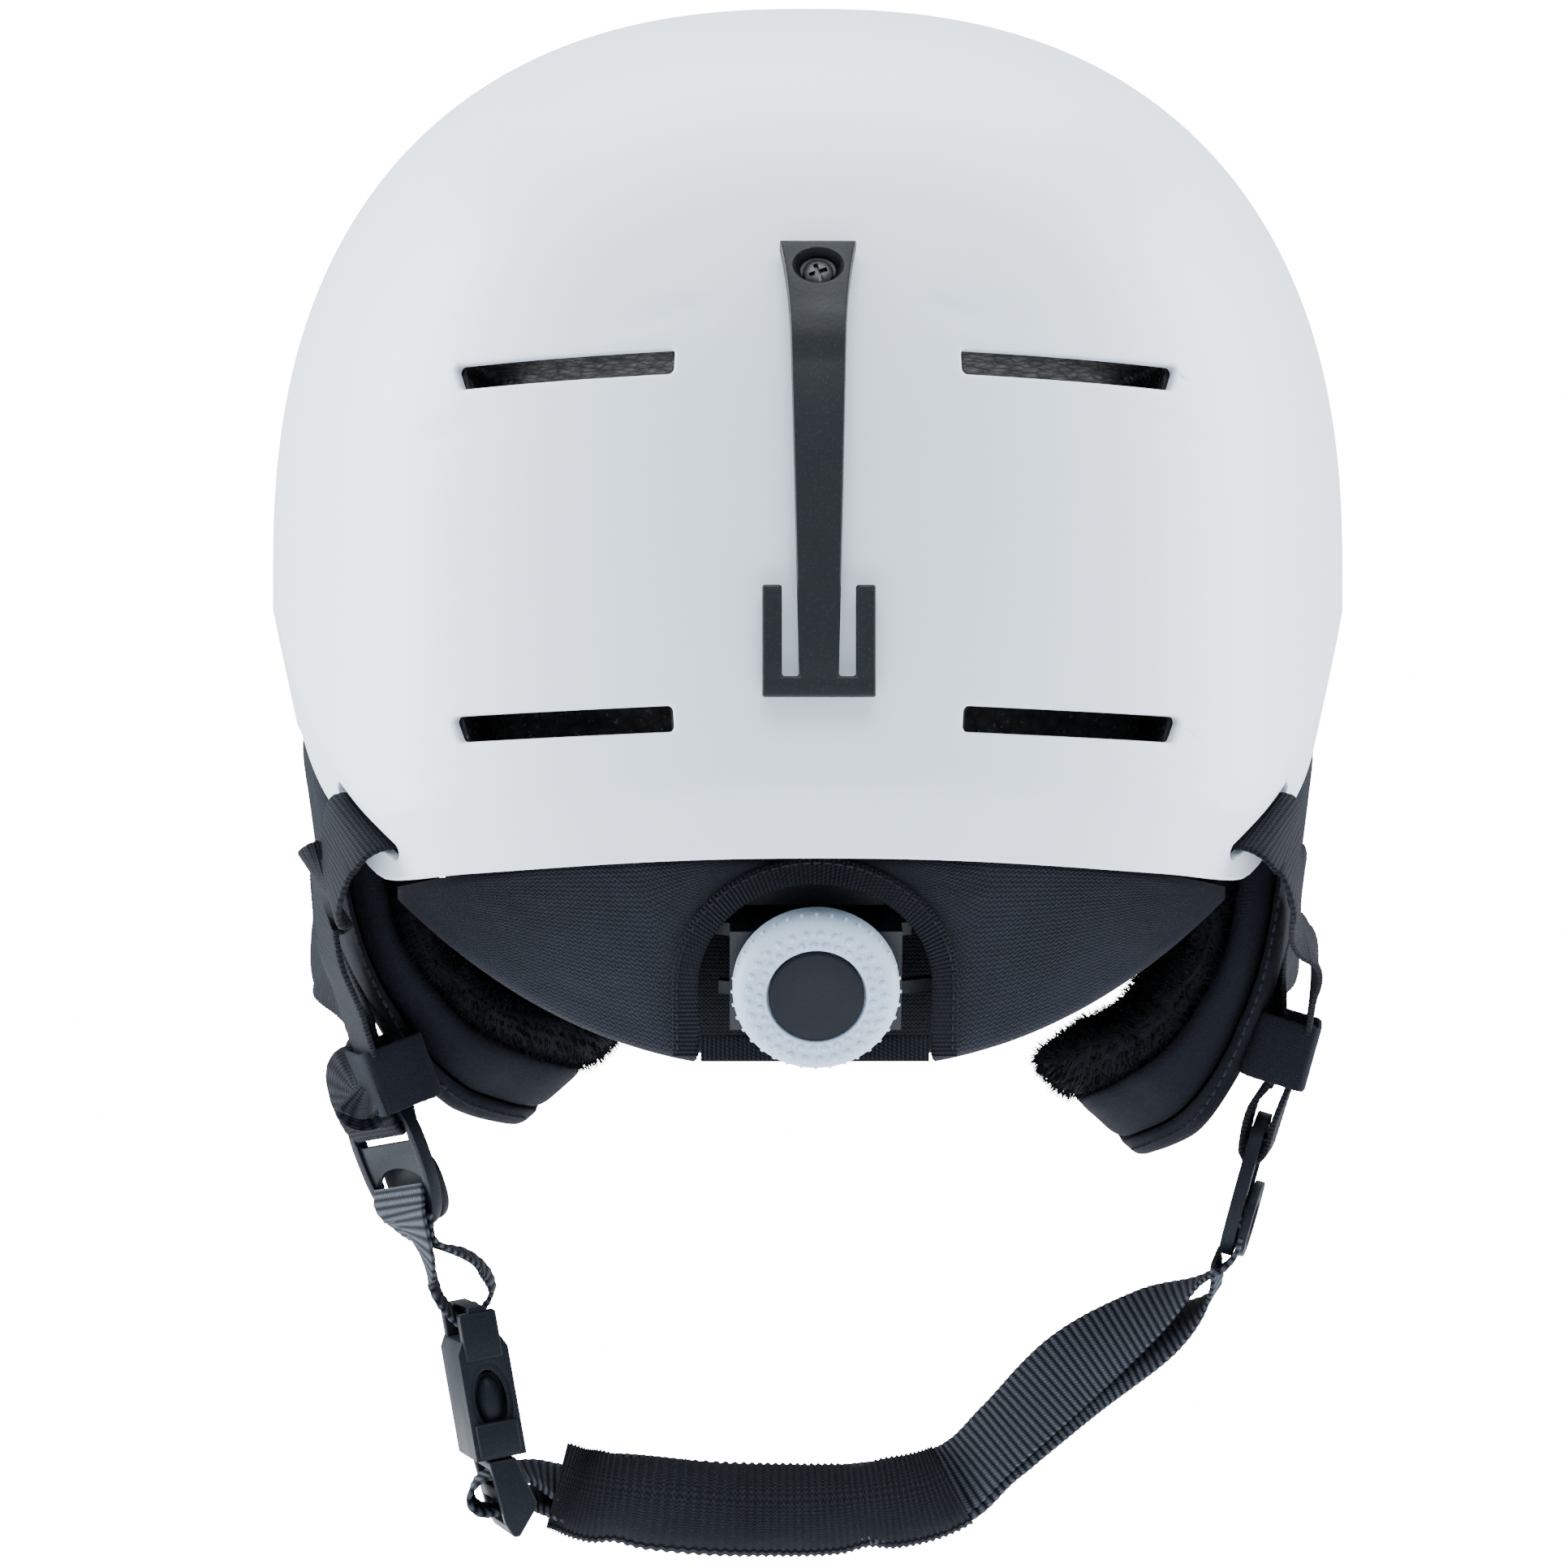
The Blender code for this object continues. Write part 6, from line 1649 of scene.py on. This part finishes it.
def make_straps():
    web = mm(sizes().webbing)
    for side, sign in SIDES:
        slot = slot_frame(side)
        cross = slot.to_3x3() @ Vector((1, 0, 0))
        keeper = hang_frame(side, turn=KEEPER_TURN[side])
        flat = keeper.to_3x3() @ Vector((1, 0, 0))
        flat = flat if flat.dot(cross) > 0 else -flat
        divider = hang_frame(side, DIVIDER_DROP)
        into = divider.to_3x3()
        wide = into @ Vector((1, 0, 0))
        wide = wide if wide.dot(flat) > 0 else -wide
        down = slot.to_3x3() @ Vector((0, 1, 0))
        down = down if down.z < 0 else -down
        out = slot.to_3x3() @ Vector((0, 0, 1))
        start = slot.translation
        drop = HANG_DIRECTION[side].normalized()
        held = KEEPER_SHIFT[side] + keeper @ Vector((0, 0, REAR_LAY))
        top_edge = divider @ Vector((0, DIVIDER_SIZE[1] / 2, 0))
        slot_in = divider @ Vector((0, DIVIDER_SLOT[1] - 1.6, 0))
        slot_mid = divider @ Vector((0, DIVIDER_SLOT[1] - 3.2, 0))
        path = [start - out * 9, start - out * 2, start + out * 2.2 + down * 1.2,
                start + out * 3.4 + down * 6, start + out * 3.4 + down * 14,
                *(Vector((sign * x, y, z)) for x, y, z in REAR_RUN[side]),
                held - drop * 5, held,
                top_edge + into @ Vector((0, 1, 2.7)), slot_in + into @ Vector((0, 0.8, 2.35)),
                slot_mid + into @ Vector((0, 0, 0.9))]
        across = [cross] * 3 + [(cross + flat * 0.7).normalized(),
                                (cross * 0.3 + flat).normalized()]
        across += [flat] * (len(path) - 8) + [wide] * 3
        made = strap(f"webbing_rear_{side}", path, across, web, WEB_THICKNESS,
                     depth=0.05)
        give(made, "fine_webbing", replaces=(f"strap_rear_{side}",))
        anchor = front_anchor_place(side)
        level = anchor.to_3x3() @ Vector((1, 0, 0))
        level = level if level.dot(flat) > 0 else -level
        held = KEEPER_SHIFT[side] * 0.6 + keeper @ Vector((0, 0, FRONT_LAY))
        path = [anchor @ Vector((0, -7, 0)), anchor @ Vector((0, 0, 0)),
                anchor @ Vector((0, 9, 1.5)),
                *(Vector((sign * (x - (FRONT_INSET[side] if k else 0)), y, z))
                  for k, (x, y, z) in enumerate(FRONT_RUN)),
                held - drop, held + drop * (2 if side == "left" else 6),
                top_edge + into @ Vector((0, 1, -2.7)), slot_in + into @ Vector((0, 0.8, -2.35)),
                slot_mid + into @ Vector((0, 0, -0.9))]
        across = [level] * 3 + [(level + flat * 0.5).normalized()]
        across += [flat] * (len(path) - 7) + [wide] * 3
        made = strap(f"webbing_front_{side}", path, across, web, WEB_THICKNESS,
                     depth=0.05)
        give(made, "fine_webbing", replaces=(f"strap_front_{side}",))


def make_keepers():
    half_w = mm(sizes().webbing) / 2 + 1.6
    for side, _ in SIDES:
        place = Matrix.Translation(KEEPER_SHIFT[side]) @ hang_frame(side, turn=KEEPER_TURN[side])
        path, across = [], []
        for k in range(29):
            a = math.radians(-100 + 360 * k / 28)
            c, s = math.cos(a), math.sin(a)
            x = half_w * math.copysign(abs(c) ** 0.35, c)
            deep = 2.1 if s > 0 else KEEPER_REACH
            z = REAR_LAY + deep * math.copysign(abs(s) ** 0.45, s)
            path.append(place @ Vector((x, 0.4 * wave((x, z, 0), 8, 6.0), z)))
            across.append(place.to_3x3() @ Vector((0, 1, 0)))
        made = strap(f"strap_keeper_band_{side}", path, across, KEEPER_HEIGHT,
                     KEEPER_THICKNESS, rib=2.0, depth=0.05)
        give(made, "smooth_knit", replaces=(f"strap_keeper_{side}",))


# ---------------------------------------------------------------- dividers

def oval_outline(width, height, power=2.6, count=72, narrow=0.10):
    """A rounded oval, a little narrower at its foot."""
    made = []
    for k in range(count):
        a = 2 * math.pi * k / count
        c, s = math.cos(a), math.sin(a)
        x = width / 2 * math.copysign(abs(c) ** (2 / power), c)
        y = height / 2 * math.copysign(abs(s) ** (2 / power), s)
        made.append((x * (1 - narrow * (0.5 - y / height)), y))
    return made


def make_dividers():
    width, height = DIVIDER_SIZE
    thick = DIVIDER_THICKNESS / 2
    for side, _ in SIDES:
        place = hang_frame(side, DIVIDER_DROP)
        made = prism(f"strap_divider_{side}", oval_outline(width, height), place, -thick, thick)
        inner = [(x * 0.83, y * 0.86) for x, y in oval_outline(width, height)]
        cut_by(made, prism("dish", inner, place, thick - DIVIDER_DISH, thick + 2),
               prism("dish", inner, place, -thick - 2, -thick + DIVIDER_DISH))
        low, high = DIVIDER_SLOT
        slot = [(p.x, p.y) for p, _ in rounded_outline(
            ((-SLOT_HALF_WIDTH, low), (SLOT_HALF_WIDTH, low), (SLOT_HALF_WIDTH, high),
             (-SLOT_HALF_WIDTH, high)), 1.4)]
        arch = [(9.4 * math.cos(a), DIVIDER_WINDOW[1] - 5.2 + 5.2 * math.sin(a))
                for a in (math.radians(d) for d in range(0, 181, 12))]
        foot = [(8.6 * math.cos(a), DIVIDER_WINDOW[0] + 3.4 + 3.4 * math.sin(a))
                for a in (math.radians(d) for d in range(190, 351, 16))]
        notches = [prism("notch", [(p.x, p.y) for p, _ in rounded_outline(
            ((x - 1.3, high - 1.5), (x + 1.3, high - 1.5), (x + 1.3, high + 1.6),
             (x - 1.3, high + 1.6)), 1.0)], place, -6, 6) for x in (-NOTCH_X, NOTCH_X)]
        cut_by(made, prism("slot", slot, place, -6, 6), *notches,
               prism("window", arch + foot, place, -6, 6))
        bevelled(made, 0.3, 2, 40)
        smooth(made, 35)
        give(made, "buckle", replaces=(f"divider_frame_{side}",))
        lever_w, lever_h = LEVER_SIZE
        back = thick + GAP + 0.15
        face = LEVER_FACE[side]
        middle = place @ Matrix.Translation((0, LEVER_TOP - lever_h / 2, 0))
        ends = sorted((face * back, face * (back + LEVER_THICKNESS)))
        lever = prism(f"divider_tongue_{side}", oval_outline(lever_w, lever_h, 2.8, 56), middle,
                      *ends)
        shift = face * (back + LEVER_THICKNESS)
        dent = sorted((shift - face * 0.5, shift + face * 2))
        cut_by(lever, prism("dent", [(x * 0.72, y * 0.62 - 0.6) for x, y in oval_outline(
            lever_w, lever_h, 2.4, 48)], middle, *dent))
        bevelled(lever, 0.35, 2, 40)
        smooth(lever, 35)
        give(lever, "buckle", f"lever_{side}", (f"divider_lever_{side}",))


# ---------------------------------------------------------------- buckle

def buckle_frame():
    """Frame at the top of the buckle: x through its thickness, y its width, z up its length."""
    lean = math.radians(BUCKLE_LEAN)
    upright = frame_at(BUCKLE_TOP, (math.cos(lean), 0, math.sin(lean)),
                       (-math.sin(lean), 0, math.cos(lean)))
    return upright @ Matrix.Rotation(math.radians(BUCKLE_YAW), 4, "Z")


def make_buckle():
    place = buckle_frame()
    # the same frame turned so that a prism's outline lies in its x and z, drawn along its y
    side_on = place @ Matrix(((1, 0, 0, 0), (0, 0, -1, 0), (0, 1, 0, 0), (0, 0, 0, 1)))
    t, tab = BUCKLE_THICKNESS / 2, BUCKLE_TAB_HALF
    half, cheek = BUCKLE_WIDTH / 2, BUCKLE_WIDTH / 2 - BUCKLE_CHEEK
    full = BUCKLE_LENGTH
    outline = [(-tab, 0), (tab, 0), (tab + 0.3, -3), (t - 0.8, -BUCKLE_TAB - 0.4),
               (t, -BUCKLE_TAB - 2), (t, -full), (-t, -full), (-t, -BUCKLE_TAB - 2),
               (-t + 0.8, -BUCKLE_TAB - 0.4), (-tab - 0.3, -3)]
    made = prism("buckle_socket", outline, side_on, -half, half)
    room = t - BUCKLE_WALL
    cut_by(made, box_piece("web", place, (-9, -cheek, -BUCKLE_TAB), (9, cheek, -BUCKLE_BAR)),
           box_piece("socket", place, (-room, -cheek, -full - 2), (room, cheek, -BUCKLE_TAB - 4)))
    through = place @ Matrix(((1, 0, 0, 0), (0, 0, 1, 0), (0, -1, 0, 0), (0, 0, 0, 1)))
    for face in (-1, 1):
        for width, long, depth in SIDE_WINDOW_STEPS:
            oval = [(width * math.cos(a), -SIDE_WINDOW_Z - long * math.sin(a)) for a in
                    (2 * math.pi * k / 44 for k in range(44))]
            ends = sorted((face * (half - depth), face * (half + 4)))
            cut_by(made, prism("side_window", oval, through, *ends))
    bevelled(made, 0.4, 3, 40)
    collars = [made]
    for wide, low, high in COLLARS:
        for face in (-1, 1):
            ends = sorted((face * (half - 3.0), face * (half + 0.7)))
            collar = box_piece("collar", place, (-wide, ends[0], low), (wide, ends[1], high))
            collars.append(bevelled(collar, 0.5, 3))
    made = joined(collars, "buckle_socket")
    smooth(made, 35)
    give(made, "buckle", replaces=("buckle_female",))

    top = -full - PLUG_GAP
    outline = [(x, top + z) for x, z in PLUG_SIDE]
    plug = prism("buckle_plug_body", outline, side_on, -half, half)
    for high, low in PLUG_SLOTS:
        cut_by(plug, box_piece("bar_slot", place, (-9, -cheek, top + low), (9, cheek, top + high)))
    bevelled(plug, 0.5, 3, 40)
    spine = bevelled(box_piece("spine", place, (-2.2, -2.2, top - 1), (2.2, 2.2, SPINE_TOP_Z)),
                     0.5, 2)
    plug = joined([plug, spine], "buckle_plug_body")
    smooth(plug, 35)
    give(plug, "buckle", "buckle_plug", ("buckle_male",))

    thick = room - GAP - 0.1
    for where, sign in (("rear", -1), ("front", 1)):
        low, high = sorted((sign * (cheek - 4.0), sign * (cheek - 0.4)))
        arm = bevelled(box_piece("arm", place, (-thick, low, top + GAP),
                                 (thick, high, ARM_TOP_Z)), 0.7, 3)
        deselect()
        bpy.ops.mesh.primitive_uv_sphere_add(segments=40, ring_count=24, radius=1)
        button = bpy.context.object
        button.data.transform(Matrix.Translation((0, sign * (cheek - 0.6), BUTTON_Z))
                              @ Matrix.Diagonal((*BUTTON_SIZE, 1)))
        button.data.transform(place)
        button.data.transform(Matrix.Scale(MM, 4))
        arm = joined([arm, button], f"buckle_spring_arm_{where}")
        smooth(arm, 40)
        give(arm, "buckle", f"arm_{where}", (f"buckle_arm_{where}",))


# ---------------------------------------------------------------- lower straps and chin sleeve

def make_lower_straps():
    web = mm(sizes().webbing) - LOWER_WEB_LESS
    place = buckle_frame()
    across = Vector((0, 1, 0))
    divider = hang_frame("left", DIVIDER_DROP)
    turn = place.to_3x3()
    wide = divider.to_3x3() @ Vector((1, 0, 0))
    wide = wide if wide.y > 0 else -wide
    out = divider.to_3x3() @ Vector((0, 0, 1))
    low_bar = divider @ Vector((0, -DIVIDER_SIZE[1] / 2 - 1.0, 0))
    down = HANG_DIRECTION["left"].normalized()

    def by(bar, x, z):
        return bar + turn @ Vector((x, 0, z))

    bar = place @ Vector((0, 0, -BUCKLE_BAR / 2))
    reach = BUCKLE_TAB_HALF + GAP + 0.85
    path = [divider @ Vector((0, -5.2, 1.2)), divider @ Vector((0, -9, 2.6)), low_bar + out * 1.8,
            by(bar, -6.2, 9), by(bar, -5.2, 3.5), by(bar, -reach * 0.95, -0.8), by(bar, 0, -3.0),
            by(bar, reach * 0.95, -0.8), by(bar, 5.6, 3.5), by(bar, 2.6, 9.5),
            low_bar + down * 1.5 + out * 0.2, divider @ Vector((0, -11.6, 1.9))]
    between = (wide + across).normalized()
    sides = [wide, wide, between] + [across] * 7 + [between, wide]
    made = strap("webbing_lower_left", path, sides, web, LOOP_THICKNESS)
    give(made, "webbing", replaces=("strap_lower_left",))

    bar = place @ Vector((0, 0, -BUCKLE_LENGTH - PLUG_GAP))
    right = hang_frame("right", DIVIDER_DROP)
    wide = right.to_3x3() @ Vector((1, 0, 0))
    wide = wide if wide.y > 0 else -wide
    out = right.to_3x3() @ Vector((0, 0, 1))
    last = right @ Vector((0, -DIVIDER_SIZE[1] / 2 - 1.0, 0))
    upright = Vector((0, 0.75, 1)).normalized()
    loop = [by(bar, x, z) for x, z in CHIN_LOOP]
    loop_sides = [upright, (across + upright * 0.8).normalized(),
                  (across + upright * 0.2).normalized()]
    loop_sides += [across] * 5 + [(across + upright * 0.3).normalized()]
    run = [Vector(p) for p in CHIN_PATH]
    sides = [upright] * 6 + [Vector((-0.4, 0.6, 0.65)), Vector((-0.2, 0.9, 0.4)), wide]
    path = loop + run[1:] + [last + out * 1.5, right @ Vector((0, -9.5, 2.4)),
                             right @ Vector((0, -5.4, 1.0))]
    made = strap("webbing_chin", path, loop_sides + sides[1:] + [wide] * 3, web,
                 CHIN_THICKNESS)
    put_chin_blend(made, "webbing", ("chin_strap_loop", "strap_chin"))
    under = []
    for k, p in enumerate(run[3:]):
        bow_out = (0, 0.3, 0.6, 1.6, 3.6, 2.4)[k]
        normal = Vector((0.55, 0, -0.75)).normalized()
        under.append(p + normal * (1.3 + bow_out))
    under.append(last - out * 1.6)
    second = strap("webbing_chin_second", under, sides[3:] + [wide], web,
                   CHIN_THICKNESS)
    give(second, "webbing")


def put_chin_blend(piece, finish_name, replaced):
    """A piece that runs from the plug to the chin: its left end follows the plug."""
    piece.data.materials.clear()
    piece.data.materials.append(finish(finish_name))
    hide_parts(*replaced)
    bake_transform(piece)


def make_chin_sleeve():
    rib = mm(sizes().cord_rib) * 0.65
    centres = spline([Vector(p) for p in CHIN_PATH], 400)
    first, last = SLEEVE_SPAN
    run = [p for p in centres if first <= p.x <= last and p.z < SLEEVE_LOW_Z]
    length_mm = sum((b - a).length for a, b in zip(run, run[1:]))
    rows = round(length_mm / rib * 5)
    turns = 72
    points, uv, faces = [], [], []
    for row in range(rows + 1):
        s = row / rows
        k = min(int(s * (len(run) - 1)), len(run) - 2)
        t = s * (len(run) - 1) - k
        centre = run[k].lerp(run[k + 1], t) - Vector((0, 0, SLEEVE_DROP))
        along = (run[k + 1] - run[k]).normalized()
        high = (SLEEVE_LEAN - along * SLEEVE_LEAN.dot(along)).normalized()
        out = along.cross(high)
        pinch = 1.0
        for depth, middle, spread in SLEEVE_PINCHES:
            pinch -= depth * math.exp(-((s - middle) / spread) ** 2)
        pinch += 0.05 * math.sin(math.pi * s)
        ridge = 0.22 * math.cos(2 * math.pi * s * length_mm / rib)
        for layer in (0, 1):
            for i in range(turns + 1):
                a = math.radians(-125 + 395 * i / turns)
                spiral = 1.1 * i / turns
                c, q = math.cos(a), math.sin(a)
                lump = 0.9 * wave((s * 80, c * 9, q * 9), 15, 8.0)
                w = SLEEVE_HALF_WIDTH + spiral * 0.8 + lump * 0.5
                w *= math.copysign(abs(c) ** 0.8, c)
                h = SLEEVE_HALF_HEIGHT * pinch + spiral * 0.5 + lump * 0.6
                h *= math.copysign(abs(q) ** 0.72, q)
                push = -SLEEVE_WALL if layer else ridge
                radial = Vector((c, q)).normalized()
                points.append(centre + out * (w + radial.x * push) + high * (h + radial.y * push))
                uv.append((s * length_mm, a * 9 + layer * 100))
    n = turns + 1

    def at(row, layer, i):
        return (row * 2 + layer) * n + i

    for row in range(rows):
        for i in range(turns):
            faces.append((at(row, 0, i), at(row, 0, i + 1), at(row + 1, 0, i + 1),
                          at(row + 1, 0, i)))
            faces.append((at(row, 1, i), at(row + 1, 1, i), at(row + 1, 1, i + 1),
                          at(row, 1, i + 1)))
        for i in (0, turns):
            faces.append((at(row, 0, i), at(row, 1, i), at(row + 1, 1, i), at(row + 1, 0, i)))
    for row in (0, rows):
        for i in range(turns):
            faces.append((at(row, 0, i), at(row, 1, i), at(row, 1, i + 1), at(row, 0, i + 1)))
    made = smooth(close_up(new_piece("chin_sleeve", points, faces, uv), 0.0000005), 60)
    put_chin_blend(made, "sleeve", ("chin_pad",))


# ---------------------------------------------------------------- comfort pads and kept nodes

def make_comfort_pads():
    low = SHELL_WALL + GAP + LINER_WALL + COMFORT_GAP

    def height(turn, band):
        t = folded(turn)
        marks = (CROWN_Z, value_on(UPPER_CREASE, t), value_on(LOWER_CREASE, t), rim_height(t))
        i = min(int(band), 2)
        share = (band - i) ** (2.2 if i == 0 else 1.0)
        return marks[i] + (marks[i + 1] - marks[i]) * share

    patches = (("brow_cushion", "brow_pad", (128, 232), (1.5, 2.7), 60, 20),
               ("side_cushion_right", "side_pad_right", (66, 116), (1.45, 2.2), 34, 20),
               ("side_cushion_left", "side_pad_left", (-116, -66), (1.45, 2.2), 34, 20))
    for name, node, turns, bands, nu, nv in patches:
        def place(u, v, side, turns=turns, bands=bands):
            turn = turns[0] + (turns[1] - turns[0]) * u
            band = bands[0] + (bands[1] - bands[0]) * v
            return shell_point(turn, height(turn, band), low + COMFORT_PAD * (0.5 - side * 0.5))

        made = pillow(name, eased(nu), eased(nv), place, (110, 40), 0.07, 0.16)
        give(made, "knit", replaces=(node,))
    points = [Vector((0, 0, CROWN_Z - low)), Vector((0, 0, CROWN_Z - low - COMFORT_PAD))]
    faces, uv = [], [(0, 0), (0, 0)]
    rows, turns = 22, 72
    for i in range(turns):
        for k in range(1, rows + 1):
            share = k / rows
            close = math.sqrt(max(0.0, 1 - max(0.0, (share - 0.88) / 0.12) ** 2))
            groove = 0.75 * math.exp(-(((share * 3) % 1 - 0.5) / 0.12) ** 2)
            for side in (0, 1):
                turn = 360 * i / turns
                deep = low + COMFORT_PAD * (0.5 + (side - 0.5) * close) - groove * side * close
                points.append(shell_point(turn, height(turn, 0.62 * share), deep))
                uv.append((share * 80 * math.cos(math.radians(turn)),
                           share * 80 * math.sin(math.radians(turn))))
    for i in range(turns):
        a, b = 2 + i * rows * 2, 2 + (i + 1) % turns * rows * 2
        for side in (0, 1):
            faces.append((side, a + side, b + side))
            for k in range(rows - 1):
                faces.append((a + 2 * k + side, a + 2 * k + 2 + side, b + 2 * k + 2 + side,
                              b + 2 * k + side))
        faces.append((a + 2 * rows - 2, a + 2 * rows - 1, b + 2 * rows - 1, b + 2 * rows - 2))
    made = smooth(close_up(new_piece("crown_cushion", points, faces, uv)), 60)
    give(made, "knit", replaces=("crown_pad",))


def finish_kept_nodes():
    """The CAD nodes that stay as they are, with better materials."""
    looks = {"moulded": ("dial_housing", "dial_pinion", "fit_band_left", "fit_band_right",
                         "fit_cradle", "strap_anchor_rear_left", "strap_anchor_rear_right",
                         "strap_anchor_front_left", "strap_anchor_front_right"),
             "steel": ("dial_screw",), "brass": ("goggle_clip_insert",)}
    for look, nodes in looks.items():
        for node in nodes:
            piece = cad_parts[node]
            if not piece.material_slots:
                piece.data.materials.append(None)
            for place in piece.material_slots:
                place.material = finish(look)


# ---------------------------------------------------------------- stage

def plain_material(name, colour_value, rough, glow=0.0):
    made, tree, shader, coords = start_material(name, rough)
    speck = noise_field(tree, coords.outputs["Object"], 6.0, 2.0)
    tone = mix_colour(tree, maths(tree, "MULTIPLY", speck, 0.05), colour_value, (1.0, 1.0, 1.0))
    link(tree, tone, shader.inputs["Base Color"])
    shader.inputs["Emission Color"].default_value = (1, 1, 1, 1)
    shader.inputs["Emission Strength"].default_value = glow
    return made


def area_light(name, place, aim, size, power):
    data = bpy.data.lights.new(name, "AREA")
    data.shape = "RECTANGLE"
    data.size, data.size_y = size
    data.energy = power
    data.color = COOL_WHITE
    made = bpy.data.objects.new(name, data)
    bpy.context.scene.collection.objects.link(made)
    made.location = place
    made.rotation_euler = (Vector(aim) - Vector(place)).to_track_quat("-Z", "Y").to_euler()


def studio_world():
    """Soft light all round, and a plain bright backdrop where the camera sees the world."""
    world = bpy.data.worlds.new("studio_world")
    bpy.context.scene.world = world
    world.use_nodes = True
    tree = world.node_tree
    soft = tree.nodes["Background"]
    soft.inputs["Color"].default_value = (0.86, 0.93, 1.0, 1)
    soft.inputs["Strength"].default_value = AMBIENT_STRENGTH
    bright = tree.nodes.new("ShaderNodeBackground")
    bright.inputs["Color"].default_value = (1.0, 1.0, 1.0, 1)
    bright.inputs["Strength"].default_value = BACKDROP_STRENGTH
    seen = tree.nodes.new("ShaderNodeLightPath")
    mixed = tree.nodes.new("ShaderNodeMixShader")
    link(tree, seen.outputs["Is Camera Ray"], mixed.inputs["Fac"])
    link(tree, soft.outputs["Background"], mixed.inputs[1])
    link(tree, bright.outputs["Background"], mixed.inputs[2])
    link(tree, mixed.outputs["Shader"], tree.nodes["World Output"].inputs["Surface"])


def make_stage():
    studio_world()
    deselect()
    bpy.ops.mesh.primitive_plane_add(size=FLOOR_SIZE, location=(0, 0, 0))
    floor = bpy.context.object
    floor.name = "studio_floor"
    floor.data.transform(Matrix.Translation((0, 0, FLOOR_Z)))
    floor.data.materials.append(plain_material("pale_floor", (0.9, 0.9, 0.92), 0.9, 0.3))
    floor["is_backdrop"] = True
    for name, place, aim, size, power in LIGHTS:
        area_light(name, place, aim, size, power)
    data = bpy.data.cameras.new("rear_camera")
    data.angle = math.radians(CAMERA_ANGLE)
    data.clip_start = 0.01
    camera = bpy.data.objects.new("rear_camera", data)
    bpy.context.scene.collection.objects.link(camera)
    camera.location = CAMERA_PLACE
    aim = CAMERA_AIM - camera.location
    camera.rotation_euler = aim.to_track_quat("-Z", "Y").to_euler()
    bpy.context.scene.camera = camera


# ---------------------------------------------------------------- operators and panel

def operator(name, label, text, work):
    """An operator class that makes one piece or group of like pieces."""
    def execute(self, context):
        work()
        return {"FINISHED"}

    return type("HELMET_OT_" + name, (bpy.types.Operator,),
                {"bl_idname": "helmet." + name, "bl_label": label, "bl_options": {"REGISTER",
                 "UNDO"}, "__doc__": text, "execute": execute})


STEPS = (
    operator("stage", "Stage", "Floor, light and camera", make_stage),
    operator("shell", "Shell", "The hard shell with its vents and strap slots", make_shell),
    operator("liner", "Liner", "The foam liner", make_liner),
    operator("retainer", "Goggle retainer", "The goggle strap retainer and its screw",
             make_retainer),
    operator("dial", "Fit dial", "The fit dial's knob and cap", make_dial),
    operator("nape", "Nape pad", "The nape pad with its bound arch", make_nape),
    operator("ear_pads", "Ear pads", "Both ear pads: cover, rim and fleece", make_ear_pads),
    operator("comfort_pads", "Comfort pads", "The pads inside the liner", make_comfort_pads),
    operator("straps", "Straps", "The rear and front straps of both sides", make_straps),
    operator("keepers", "Strap keepers", "The cloth loops that keep the straps", make_keepers),
    operator("dividers", "Strap dividers", "The dividers and their tongues", make_dividers),
    operator("buckle", "Buckle", "The side-release buckle", make_buckle),
    operator("lower_straps", "Lower straps", "The lower left and chin straps",
             make_lower_straps),
    operator("chin_sleeve", "Chin sleeve", "The ribbed sleeve on the chin strap",
             make_chin_sleeve),
    operator("kept_nodes", "Small parts", "Materials of the parts kept from the frame",
             finish_kept_nodes),
)


class HELMET_PT_panel(bpy.types.Panel):
    """Lists the pieces of the helmet."""
    bl_label = "Ski helmet"
    bl_idname = "HELMET_PT_panel"
    bl_space_type = "VIEW_3D"
    bl_region_type = "UI"
    bl_category = "Helmet"

    def draw(self, context):
        for group in (context.scene.helmet_sizes, context.scene.helmet_colours):
            for name in group.__annotations__:
                self.layout.prop(group, name)
        for step in STEPS:
            self.layout.operator(step.bl_idname)


CLASSES = (HelmetSizes, HelmetColours, *STEPS, HELMET_PT_panel)


def register():
    for made in CLASSES:
        bpy.utils.register_class(made)
    bpy.types.Scene.helmet_sizes = bpy.props.PointerProperty(type=HelmetSizes)
    bpy.types.Scene.helmet_colours = bpy.props.PointerProperty(type=HelmetColours)


def unregister():
    del bpy.types.Scene.helmet_colours
    del bpy.types.Scene.helmet_sizes
    for made in reversed(CLASSES):
        bpy.utils.unregister_class(made)


def main():
    register()
    for step in STEPS:
        name = step.bl_idname.split(".")[1]
        getattr(bpy.ops.helmet, name)()
    box = {"cad": CAD_BOX, "visual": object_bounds()}
    box = {key: [list(corner) for corner in value] for key, value in box.items()}


if __name__ == "__main__":
    main()
